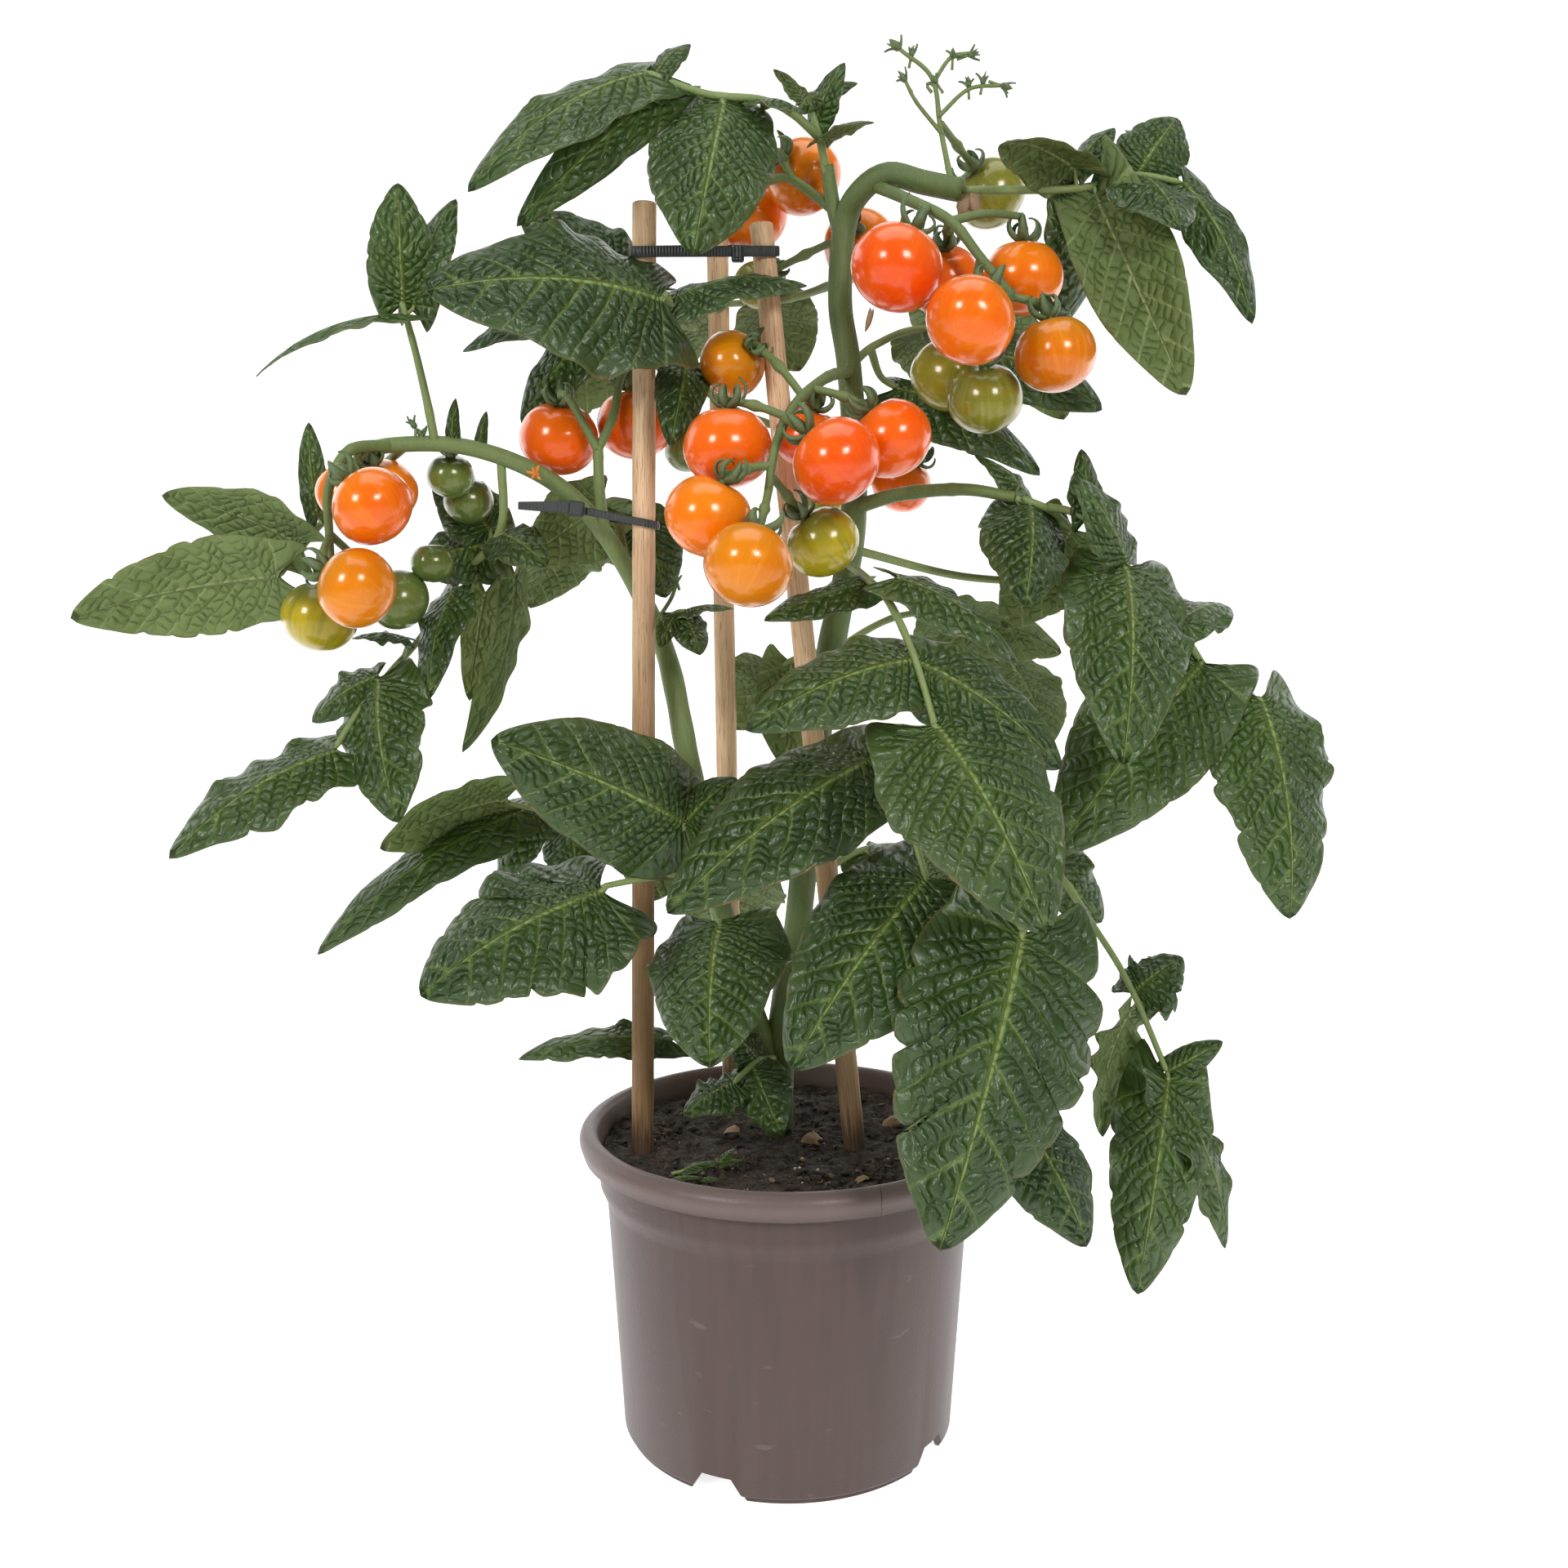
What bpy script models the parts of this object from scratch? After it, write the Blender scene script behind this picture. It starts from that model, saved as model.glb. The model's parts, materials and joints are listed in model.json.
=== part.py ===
"""A cherry tomato plant in a nursery pot.

The pot stands with the middle of its underside at the origin, +Z up.  Three wooden stakes
stand in the soil and are tied together near their tops.  One stem grows up beside them and
forks low down into a left and a right branch, which carry the leaves and the trusses of
fruit.  Lengths and places below are in millimetres, and MM turns them into metres.
"""
import math
import random
from collections import namedtuple

import bpy
from mathutils import Matrix, Vector

MM = 0.001
GAP = 0.3                    # air between two solids that touch on the real plant
UP = Vector((0.0, 0.0, 1.0))

# ---------------------------------------------------------------- pot and soil
POT_SIDES = 26
RIM_RADIUS = 95.0
RIM_TOP = 144.0
ROLL_DEPTH = 12.5            # the rolled edge hangs this far below the top
COLLAR_RADIUS = 86.4
COLLAR_BOTTOM = 117.0
WALL_TOP_RADIUS = 82.0
WALL_FOOT_RADIUS = 76.6
WALL_THICKNESS = 1.7
SKIRT_HEIGHT = 11.0          # the floor plate stands this high on a foot skirt
BOSS_RADIUS = 22.0           # flat boss in the middle of the underside
NOTCH_ANGLES = (-113.7, -33.0, 66.3, 147.0)
NOTCH_WIDTHS = (26.0, 14.0)  # at the floor and at its top
NOTCH_HEIGHT = 10.0
DRAIN_COUNT = 8
DRAIN_RADIUS = 4.0
DRAIN_CIRCLE = 56.0
SOIL_LEVEL = 133.0

# ---------------------------------------------------------------- stakes and ties
STAKE_RADIUS = 5.1
STAKE_SIDES = 12
STAKE_DEPTH = 100.0          # how far each stake is pushed into the soil
STAKES = {
    # where the stake leaves the soil, and the middle of its top
    "stake_left": ((-66.3, -11.0, 133.0), (-60.6, -20.0, 549.0)),
    "stake_right": ((30.8, -11.0, 133.0), (-11.6, -5.0, 544.0)),
    "stake_back": ((-27.5, 60.0, 133.0), (-32.6, 44.0, 550.0)),
}
TIE_TOP_LEVEL = 531.0
TIE_TOP_TILT = 0.24          # it sits higher on the back stake
TIE_HEIGHT = 4.6
TIE_THICKNESS = 1.3
TIE_BRANCH_LEVEL = 421.0

# ---------------------------------------------------------------- stem
# name: (radius at the start, radius at the end, points along the middle)
STEMS = {
    "right_branch": (6.8, 5.0, (
        (-4, 12, 92), (-4, 12, 142), (-3, 13, 180), (4, 14, 226), (10, 15, 283), (18, 12, 351),
        (27, 8, 399), (30, 4, 440), (27, 3, 485), (23, 4, 513), (25, 3, 546), (32, -6, 558),
        (43, -11, 563), (57, -14, 559), (74, -16, 555))),
    "left_branch": (6.0, 3.2, (
        (-4, 12, 158), (-14, 10, 185), (-24, 8, 215), (-36, 0, 267), (-45, -2, 312),
        (-54, 3, 356), (-66, 4, 385), (-80, -2, 410), (-96, -10, 429), (-116, -18, 441),
        (-141, -24, 448), (-168, -26, 448), (-181, -32, 444))),
    "crown": (3.6, 3.0, ((24, 4, 540), (20, 4, 553), (17, 0, 570))),
    "truss_top": (2.4, 1.8, ((20, 4, 552), (11, 8, 560), (0, 12, 568), (-8, 14, 567))),
    "truss_front": (2.6, 1.8, (
        (28, 2, 483), (16, -25, 476), (3, -48, 462), (-5, -60, 444), (-8, -62, 426))),
    "truss_right": (2.8, 1.8, (
        (36, -7, 560), (50, -25, 549), (67, -34, 538), (79, -40, 522), (92, -42, 506))),
    "truss_right_arm": (2.0, 1.5, ((67, -34, 538), (82, -30, 542), (98, -22, 543))),
    "truss_mid": (2.8, 2.2, ((-81, -3, 411), (-82, -13, 430), (-82, -16, 449))),
    "truss_mid_left": (2.0, 1.6, ((-82, -16, 447), (-88, -17, 458), (-95, -15, 470))),
    "truss_mid_right": (2.0, 1.6, (
        (-82, -16, 447), (-76, -10, 462), (-72, -2, 482), (-60, 12, 489), (-48, 26, 478))),
    "truss_left": (2.6, 1.8, (
        (-168, -26, 448), (-182, -42, 444), (-190, -46, 428), (-191, -44, 408))),
    "truss_back": (2.6, 2.0, ((29, 5, 452), (34, 28, 468), (36, 48, 466))),
    "side_shoot": (3.4, 2.4, ((30, 4, 424), (50, -6, 429), (76, -18, 430), (97, -26, 426))),
    "flower_spray": (1.4, 0.9, ((70, -14, 556), (66, 0, 585), (62, 0, 606), (48, 0, 618))),
    "flower_arm": (1.0, 0.8, ((65, 0, 590), (78, 2, 602), (92, 0, 603))),
    "flower_arm_low": (1.0, 0.8, ((67, -1, 582), (55, -6, 594), (50, -8, 602))),
    "flower_arm_high": (1.0, 0.8, ((62, 0, 603), (70, 2, 615), (78, 2, 617))),
    "node_leaf_stalk": (1.2, 0.9, ((-58, 2, 370), (-50, -8, 377), (-45, -12, 378))),
    "node_bud_stalk": (1.0, 0.8, ((-60, 3, 372), (-52, -5, 383), (-49, -5, 391))),
}
STEM_SIDES = 6
STALK_SIDES = 4
CALYX_POINTS = 5
CALYX_THICKNESS = 1.6

# ---------------------------------------------------------------- fruit
Fruit = namedtuple("Fruit", "centre radius colour top joint")
FRUIT_SIDES = 8
FRUIT_RINGS = 5
FRUIT_SQUASH = 0.95          # height over width
FRUITS = {
    # node: one or more fruit grown against each other; top points to the stalk,
    # and joint is where its own stalk leaves the truss
    "fruit_front_1": [Fruit((-25, -46, 445), 18.4, "red", (0.0, 0.0, 1.0), (0, -53, 456))],
    "fruit_front_2": [Fruit((-33, -67, 412), 17.8, "orange", (0.5, -0.1, 1.0), (-6, -61, 436))],
    "fruit_front_3": [Fruit((-12, -84, 390), 17.7, "yellow", (0.3, 0.5, 1.0), (-8, -62, 426))],
    "fruit_front_4": [Fruit((19, -70, 437), 18.1, "red", (-0.8, 0.2, 0.8), (-2, -55, 455))],
    "fruit_front_5": [Fruit((43, -42, 449), 17.0, "red", (-0.7, 0.1, 0.9), (10, -37, 470))],
    "fruit_front_6": [Fruit((16, -44, 404), 15.4, "turning", (-0.7, -0.2, 0.9), (-7, -61, 432))],
    "fruit_front_7": [Fruit((-24, -12, 484), 14.5, "yellow", (0.7, -0.6, 0.4), (6, -43, 466))],
    "fruit_front_8": [Fruit((8, -28, 451), 14.1, "red", (0.3, -0.3, 1.0), (12, -32, 472))],
    "fruit_right_1": [Fruit((44, -50, 516), 18.9, "red", (0.4, 0.1, 0.9), (58, -30, 545))],
    "fruit_right_2": [Fruit((67, -12, 519), 16.2, "red", (0.0, -0.6, 0.9), (66, -34, 539))],
    "fruit_right_3": [Fruit((72, -67, 492), 17.9, "orange", (0.6, 0.5, 0.8), (92, -42, 506))],
    "fruit_right_4": [Fruit((100, -17, 519), 17.1, "orange", (0.0, 0.0, 1.0), (98, -22, 543))],
    "fruit_right_5": [Fruit((110, -43, 483), 16.9, "yellow", (-0.2, 0.0, 1.0), (92, -42, 506))],
    "fruit_right_green": [Fruit((83, -30, 467), 16.0, "green", (-0.1, -0.5, 1.0), (90, -41, 508)),
                          Fruit((70, -7, 480), 16.6, "green", (0.3, -0.6, 1.0), (79, -40, 522))],
    "fruit_right_6": [Fruit((33, 37, 545), 17.2, "orange", (-0.3, -0.9, 0.3), (24, 4, 545))],
    "fruit_top_1": [Fruit((7, 28, 573), 17.4, "orange", (-0.6, -0.8, 0.4), (2, 11, 567))],
    "fruit_top_2": [Fruit((-17, 53, 562), 17.4, "orange", (-0.4, -0.7, 0.7), (-8, 14, 567))],
    "fruit_top_green": [Fruit((92, 33, 567), 16.3, "green", (-0.6, -0.6, 0.6), (66, 0, 587))],
    "fruit_left_1": [Fruit((-168, -62, 420), 16.4, "orange", (-0.7, 0.1, 0.8), (-186, -44, 438))],
    "fruit_left_2": [Fruit((-174, -66, 387), 16.4, "yellow", (-0.9, 0.2, 0.4), (-191, -44, 408))],
    "fruit_left_3": [Fruit((-203, -40, 375), 15.9, "turning", (0.3, 0.0, 1.0), (-191, -44, 408))],
    "fruit_left_back": [Fruit((-170, -20, 424), 14.8, "orange", (-0.2, -0.6, 1.0), (-176, -35, 446)),
                        Fruit((-193, -19, 429), 13.3, "orange", (0.5, -0.6, 0.8), (-180, -38, 444))],
    "fruit_left_green_1": [Fruit((-148, -6, 437), 10.5, "green", (0.1, -0.4, 1.0), (-146, -25, 449)),
                           Fruit((-143, 7, 427), 11.2, "green", None, None)],
    "fruit_left_green_2": [Fruit((-171, -12, 383), 13.7, "green", (-0.6, -0.7, 0.8), (-191, -44, 410)),
                           Fruit((-156, -10, 399), 9.5, "green", None, None)],
    "fruit_mid_1": [Fruit((-101, 1, 454), 17.5, "red", (0.1, -0.4, 1.0), (-95, -15, 470))],
    "fruit_mid_2": [Fruit((-68, 12, 462), 17.6, "red", (-0.2, -0.2, 1.0), (-72, -2, 482))],
    "fruit_mid_green": [Fruit((-46, 32, 452), 11.0, "green", (0.0, -0.1, 1.0), (-48, 26, 478))],
    "fruit_centre_green": [Fruit((-14, 36, 527), 11.0, "green", (0.8, -0.6, 0.5), (22, 5, 540))],
    "fruit_back_bunch": [Fruit((34, 72, 452), 15.5, "orange", (0.0, -0.5, 1.0), (36, 48, 466)),
                         Fruit((55, 63, 440), 15.0, "red", (0.7, -0.5, 0.9), (36, 48, 466)),
                         Fruit((17, 62, 437), 14.6, "green", (-0.8, -0.5, 0.8), (34, 32, 468))],
}

# ---------------------------------------------------------------- leaves
# A leaflet's face is where its upper side looks; None takes the leaf's own.
Leaflet = namedtuple("Leaflet", "base tip width face cut arch fold",
                     defaults=(None, 0.12, 0.10, 0.35))
Leaf = namedtuple("Leaf", "ribs face leaflets")
BLADE_THICKNESS = 0.9
BREADTH = 1.18               # a blade laid flat is this much wider than it hangs
RIB_RADII = (2.0, 1.3)
RIB_SIDES = 3
WAVES = 1.7                  # waves of the margin along a leaflet
WAVE_HEIGHT = 0.10           # of its half width
NECK_WIDTH = 2.2             # stalk of a leaflet
ROOT_DEPTH = 2.0             # a leaflet is rooted this far behind where it starts
ROWS_BY_WIDTH = ((20, 2), (34, 3), (48, 4), (99, 5))
FRONT = (0.0, -1.0, 0.5)
TOP = (0.0, -0.2, 1.0)
UNDER = (-0.1, 0.7, 0.7)
BACK = (0.0, 0.8, 0.6)

SPROUTS = [
    # small leaves that grow straight from the stem node
    Leaflet((-47, -11, 377), (-38, -22, 359), 18, TOP),
    Leaflet((-46, -11, 378), (-24, -13, 379), 14, TOP),
    Leaflet((-49, -9, 377), (-55, -26, 362), 11, TOP),
    Leaflet((-143, -24, 448), (-140, -30, 467), 6),
    Leaflet((-132, -22, 446), (-129, -20, 463), 5),
]
LEAVES = {
    "shoot_top": Leaf(
        ribs=[((17, 0, 566), (12, -4, 586), (6, -8, 598)),
              ((14, -3, 580), (1, -13, 588), (-12, -22, 590), (-32, -28, 590), (-49, -32, 594),
               (-58, -34, 597))],
        face=(-0.3, -1.0, 0.5),
        leaflets=[
            Leaflet((-58, -34, 597), (-127, -60, 543), 31),
            Leaflet((-50, -32, 592), (-111, -42, 534), 22, (0.3, -1.0, 0.2)),
            Leaflet((-54, -33, 597), (-41, -20, 613), 12),
            Leaflet((-27, -28, 587), (-38, -58, 519), 50, (0.1, -1.0, 0.2), fold=0.5),
            Leaflet((-12, -22, 590), (6, -36, 580), 19, TOP),
            Leaflet((12, -4, 586), (24, -10, 609), 13),
            Leaflet((8, -7, 594), (30, 0, 604), 10),
            Leaflet((14, -3, 580), (36, -22, 581), 14, TOP),
            Leaflet((8, -8, 594), (-6, -20, 603), 12, TOP),
        ]),
    "leaf_top_right": Leaf(
        ribs=[((74, -16, 555), (98, -17, 555), (120, -15, 556), (134, -12, 559), (149, -10, 563),
               (168, -10, 560))],
        face=(0.2, -1.0, 0.6),
        leaflets=[
            Leaflet((121, -17, 564), (84, -56, 562), 27, (-0.2, 0.4, 1.0), fold=0.6),
            Leaflet((122, -14, 564), (140, -5, 584), 15, (-0.6, -1.0, 0.6)),
            Leaflet((149, -10, 563), (160, -44, 532), 34, cut=0.25),
            Leaflet((150, -9, 564), (170, 8, 592), 28, cut=0.25),
            Leaflet((168, -10, 560), (190, -22, 499), 24, (0.3, -1.0, 0.2)),
            Leaflet((131, -14, 554), (164, -52, 464), 44, UNDER, cut=0.06),
            Leaflet((126, -12, 554), (124, 22, 506), 30, (0.3, -0.9, 0.2)),
        ]),
    "leaf_behind_truss": Leaf(
        ribs=[((27, 3, 485), (40, 16, 497), (61, 24, 505), (88, 30, 497)),
              ((37, 14, 495), (42, 22, 484), (50, 20, 478))],
        face=FRONT,
        leaflets=[
            Leaflet((88, 30, 497), (143, 22, 469), 32),
            Leaflet((50, 20, 478), (112, 2, 438), 34, (0.4, -1.0, 0.8)),
            Leaflet((61, 25, 504), (70, 60, 480), 28, TOP),
        ]),
    "leaf_upper_left": Leaf(
        ribs=[((29, 4, 452), (10, 28, 458), (-14, 34, 466), (-34, 16, 474), (-44, -8, 485),
               (-48, -30, 502), (-50, -38, 508)),
              ((-45, -12, 488), (-54, 4, 514), (-70, 12, 522))],
        face=(-0.2, -1.0, 0.6),
        leaflets=[
            Leaflet((-52, -42, 507), (-139, -84, 502), 58, (-0.2, -1.0, 0.3), 0.05, fold=0.25),
            Leaflet((-48, -30, 508), (8, -16, 516), 30, (0.0, -0.6, 1.0)),
            Leaflet((-72, 12, 524), (-117, 12, 546), 27),
            Leaflet((-64, 6, 518), (-146, 16, 494), 40, (-0.2, -0.6, 0.9)),
            Leaflet((-44, -10, 485), (-49, -42, 446), 21, (0.2, -1.0, 0.3)),
        ]),
    "leaf_far_left_high": Leaf(
        ribs=[((-150, -25, 447), (-151, -32, 462), (-155, -36, 485), (-160, -38, 506))],
        face=(0.2, -1.0, 0.3),
        leaflets=[
            Leaflet((-160, -38, 504), (-160, -46, 550), 28, cut=0.2),
            Leaflet((-155, -37, 503), (-138, -30, 548), 20, (-0.4, -1.0, 0.2), cut=0.2),
            Leaflet((-159, -38, 500), (-217, -50, 473), 17, (-0.3, -0.3, 1.0), cut=0.15),
        ]),
    "leaf_far_left": Leaf(
        ribs=[((-162, -26, 448), (-183, -2, 438), (-206, 6, 420), (-219, -2, 402),
               (-222, -15, 393))],
        face=(-0.1, 1.0, 0.4),
        leaflets=[
            Leaflet((-222, -15, 393), (-299, -47, 378), 37, cut=0.2, fold=0.2),
            Leaflet((-214, -9, 407), (-267, -26, 427), 27, (0.1, 1.0, 0.5), fold=0.2),
            Leaflet((-207, -5, 419), (-212, 2, 461), 12, FRONT, cut=0.12),
        ]),
    "leaf_left_low": Leaf(
        ribs=[((-123, -20, 443), (-127, -5, 413), (-150, 14, 392), (-166, 14, 368),
               (-179, -16, 346), (-186, -34, 332), (-192, -42, 320)),
              ((-127, -5, 413), (-122, 12, 400), (-124, 16, 394))],
        face=(-0.3, -0.9, 0.6),
        leaflets=[
            Leaflet((-192, -42, 320), (-249, -80, 284), 33, cut=0.2),
            Leaflet((-178, -23, 348), (-161, -62, 291), 36, cut=0.15),
            Leaflet((-179, -20, 350), (-207, -24, 330), 22, (-0.5, -1.0, 0.6)),
            Leaflet((-168, -8, 366), (-193, -8, 366), 15, TOP),
            Leaflet((-150, 6, 388), (-155, -28, 340), 21),
            Leaflet((-137, 8, 386), (-142, -6, 338), 14, UNDER),
            Leaflet((-124, 16, 394), (-148, 6, 314), 22, (0.6, 0.8, 0.1)),
            Leaflet((-127, -4, 412), (-104, -22, 397), 23, (0.2, -1.0, 0.6)),
        ]),
    "leaf_mid_left": Leaf(
        ribs=[((-72, 1, 398), (-76, 14, 414), (-84, 20, 424)),
              ((-76, 14, 414), (-66, 22, 420))],
        face=UNDER,
        leaflets=[
            Leaflet((-84, 20, 424), (-116, 8, 390), 36, (0.2, 0.8, 0.5), cut=0.1),
            Leaflet((-66, 22, 420), (-56, 20, 384), 26, FRONT),
        ]),
    "leaf_front_left": Leaf(
        ribs=[((-35, 1, 255), (-42, -28, 264), (-62, -42, 264), (-79, -50, 262)),
              ((-42, -26, 264), (-45, -38, 287)),
              ((-41, -22, 262), (-34, -30, 252), (-30, -32, 243))],
        face=(-0.3, -1.0, 0.7),
        leaflets=[
            Leaflet((-79, -50, 262), (-148, -86, 232), 52, cut=0.12),
            Leaflet((-45, -38, 287), (-120, -72, 324), 50, (0.1, -1.0, 0.4), cut=0.06),
            Leaflet((-45, -37, 286), (-22, -30, 306), 24),
            Leaflet((-30, -32, 243), (-32, -78, 192), 54, cut=0.08, fold=0.3),
        ]),
    "leaf_low_left": Leaf(
        ribs=[((-30, 5, 240), (-60, 34, 260), (-103, 34, 279), (-133, 30, 288))],
        face=(-0.2, -0.8, 0.8),
        leaflets=[
            Leaflet((-133, 29, 290), (-185, -2, 271), 30, (-0.1, 1.0, 0.5), cut=0.1),
            Leaflet((-126, 31, 284), (-215, -2, 222), 27, (-0.4, -1.0, 0.7), cut=0.2),
            Leaflet((-103, 34, 279), (-96, 14, 246), 28, cut=0.1),
            Leaflet((-118, 32, 284), (-136, 26, 250), 22, cut=0.15),
            Leaflet((-80, 34, 270), (-84, 70, 262), 26, BACK),
        ]),
    "leaf_front_right": Leaf(
        ribs=[((27, 8, 399), (34, -35, 391), (41, -65, 381), (49, -90, 360), (56, -105, 334))],
        face=(0.1, -1.0, 0.7),
        leaflets=[
            Leaflet((56, -105, 334), (94, -140, 261), 57, fold=0.3),
            Leaflet((49, -90, 359), (-16, -112, 333), 37, (-0.1, -0.9, 0.8)),
            Leaflet((50, -91, 358), (106, -97, 317), 35),
            Leaflet((42, -66, 380), (94, -62, 356), 31, (0.3, -0.6, 1.0)),
            Leaflet((34, -32, 390), (-10, -46, 374), 22, (-0.1, -0.7, 1.0), arch=0.04),
        ]),
    "leaf_front_mid": Leaf(
        ribs=[((12, 15, 300), (26, -14, 322), (37, -50, 318), (48, -66, 296), (56, -74, 270))],
        face=(-0.2, -1.0, 0.6),
        leaflets=[
            Leaflet((36, -50, 317), (-48, -92, 259), 49),
            Leaflet((56, -74, 270), (1, -107, 200), 56),
        ]),
    "leaf_front_low": Leaf(
        ribs=[((4, 14, 222), (34, 4, 240), (50, -30, 256), (68, -66, 264), (91, -102, 254)),
              ((84, -92, 258), (94, -94, 215), (94, -98, 178))],
        face=(0.1, -1.0, 0.4),
        leaflets=[
            Leaflet((91, -103, 253), (57, -134, 138), 66, cut=0.3, arch=0.06),
            Leaflet((93, -98, 176), (117, -112, 130), 33, (0.4, -1.0, 0.4), cut=0.15),
        ]),
    "leaf_right_mid": Leaf(
        ribs=[((97, -26, 426), (112, -24, 421), (124, -16, 413)),
              ((111, -24, 422), (119, -32, 420), (126, -34, 416))],
        face=(0.2, -1.0, 0.6),
        leaflets=[
            Leaflet((103, -27, 423), (96, -64, 380), 38, fold=0.6, cut=0.12),
            Leaflet((104, -22, 425), (82, -6, 446), 16, TOP),
            Leaflet((124, -16, 413), (98, 12, 371), 36, (0.3, -0.6, 0.6)),
            Leaflet((126, -34, 416), (124, -30, 446), 13, cut=0.2),
        ]),
    "leaf_right": Leaf(
        ribs=[((31, 6, 405), (80, 24, 394), (124, 22, 392), (146, -14, 396), (161, -38, 377),
               (180, -36, 350), (197, -38, 330))],
        face=(0.2, -1.0, 0.7),
        leaflets=[
            Leaflet((143, -34, 396), (131, -92, 318), 48, (0.1, -1.0, 0.4), fold=0.3),
            Leaflet((144, -33, 398), (118, -48, 432), 22, (0.5, -1.0, 0.2)),
            Leaflet((175, -39, 356), (108, -62, 284), 42, (0.0, -1.0, 0.7)),
            Leaflet((165, -38, 373), (194, -10, 380), 24, (0.1, -0.6, 1.0)),
            Leaflet((181, -34, 350), (206, -4, 341), 22, (0.1, -0.6, 1.0)),
            Leaflet((200, -40, 341), (215, -62, 257), 36, (0.5, -1.0, 0.2), cut=0.2),
        ]),
    "leaf_low_right": Leaf(
        ribs=[((10, 15, 283), (70, 14, 299), (110, -2, 275), (137, -30, 236), (149, -42, 214),
               (162, -52, 182))],
        face=(0.4, -0.8, 0.5),
        leaflets=[
            Leaflet((113, -6, 272), (144, 2, 236), 30, (-0.3, -1.0, 0.4), fold=0.6),
            Leaflet((149, -42, 214), (172, -34, 228), 26, (0.0, -0.8, 0.8), cut=0.3, fold=0.6),
            Leaflet((148, -40, 206), (137, -42, 150), 24, (-0.5, 0.8, 0.3)),
            Leaflet((162, -54, 180), (147, -72, 92), 38, (-0.2, -1.0, 0.2), cut=0.2, fold=0.5),
            Leaflet((162, -52, 182), (186, -50, 195), 12, (0.0, -1.0, 0.4)),
            Leaflet((163, -54, 178), (187, -60, 107), 22, (0.6, -0.8, 0.2), cut=0.3),
        ]),
    "leaf_foot": Leaf(
        ribs=[((-4, 12, 170), (-14, -6, 174), (-30, 2, 180), (-55, 6, 181)),
              ((-13, -5, 174), (-24, -22, 168))],
        face=(-0.3, -0.6, 1.0),
        leaflets=[
            Leaflet((-55, 6, 181), (-124, -2, 177), 20, cut=0.15),
            Leaflet((-24, -22, 168), (-46, -32, 156), 22, cut=0.15),
            Leaflet((-16, -12, 172), (-3, -40, 150), 24, cut=0.15),
            Leaflet((-13, -7, 174), (-30, -10, 190), 18, cut=0.15),
        ]),
    "leaf_back_low_left": Leaf(
        ribs=[((-31, 4, 246), (-46, 50, 266), (-44, 90, 262), (-34, 124, 240))],
        face=BACK,
        leaflets=[
            Leaflet((-34, 124, 240), (-22, 168, 190), 52, cut=0.1),
            Leaflet((-49, 78, 262), (-84, 110, 236), 42, cut=0.1),
            Leaflet((-42, 92, 261), (2, 112, 246), 42, cut=0.1),
            Leaflet((-47, 58, 267), (-70, 76, 232), 28, cut=0.1),
        ]),
    "leaf_back_low_right": Leaf(
        ribs=[((6, 14, 250), (36, 50, 262), (68, 88, 256), (92, 112, 232))],
        face=(0.3, 0.8, 0.7),
        leaflets=[
            Leaflet((92, 112, 232), (122, 142, 176), 52, cut=0.12),
            Leaflet((68, 88, 256), (52, 138, 226), 44, cut=0.12),
            Leaflet((70, 88, 255), (124, 82, 240), 42, cut=0.12),
            Leaflet((39, 47, 261), (61, 30, 232), 30, (0.2, -0.6, 0.8)),
        ]),
    "leaf_back_mid": Leaf(
        ribs=[((18, 12, 348), (24, 36, 360), (56, 66, 376), (92, 90, 374), (116, 104, 352)),
              ((23, 34, 359), (6, 52, 356), (-6, 62, 350))],
        face=(0.4, 0.7, 0.7),
        leaflets=[
            Leaflet((116, 102, 352), (144, 128, 296), 48),
            Leaflet((94, 90, 373), (72, 132, 348), 40),
            Leaflet((86, 84, 375), (134, 62, 358), 36),
            Leaflet((-6, 62, 350), (-28, 98, 318), 38),
            Leaflet((2, 58, 353), (-2, 50, 304), 30, (0.1, 1.0, 0.3)),
        ]),
    "leaf_back_top_left": Leaf(
        ribs=[((24, 4, 522), (-2, 44, 522), (-46, 84, 526), (-84, 96, 514))],
        face=(-0.3, 0.6, 0.9),
        leaflets=[
            Leaflet((-84, 96, 514), (-134, 112, 470), 46),
            Leaflet((-48, 84, 526), (-62, 134, 500), 38),
            Leaflet((-46, 84, 526), (-84, 54, 520), 32, (-0.3, 0.2, 1.0)),
            Leaflet((-10, 50, 523), (4, 92, 504), 30),
        ]),
    "leaf_back_top_right": Leaf(
        ribs=[((25, 4, 532), (54, 44, 530), (84, 74, 534), (108, 90, 520))],
        face=(0.3, 0.6, 0.9),
        leaflets=[
            Leaflet((108, 90, 520), (142, 112, 476), 42),
            Leaflet((84, 74, 534), (72, 122, 512), 36),
            Leaflet((84, 74, 534), (126, 58, 530), 32),
        ]),
    "leaf_back_left": Leaf(
        ribs=[((-48, 0, 326), (-64, 34, 374), (-84, 66, 412), (-104, 88, 416))],
        face=(-0.4, 0.7, 0.7),
        leaflets=[
            Leaflet((-104, 90, 418), (-132, 114, 366), 44),
            Leaflet((-86, 72, 424), (-62, 112, 400), 36),
            Leaflet((-84, 70, 424), (-128, 56, 408), 34),
        ]),
}

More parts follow.
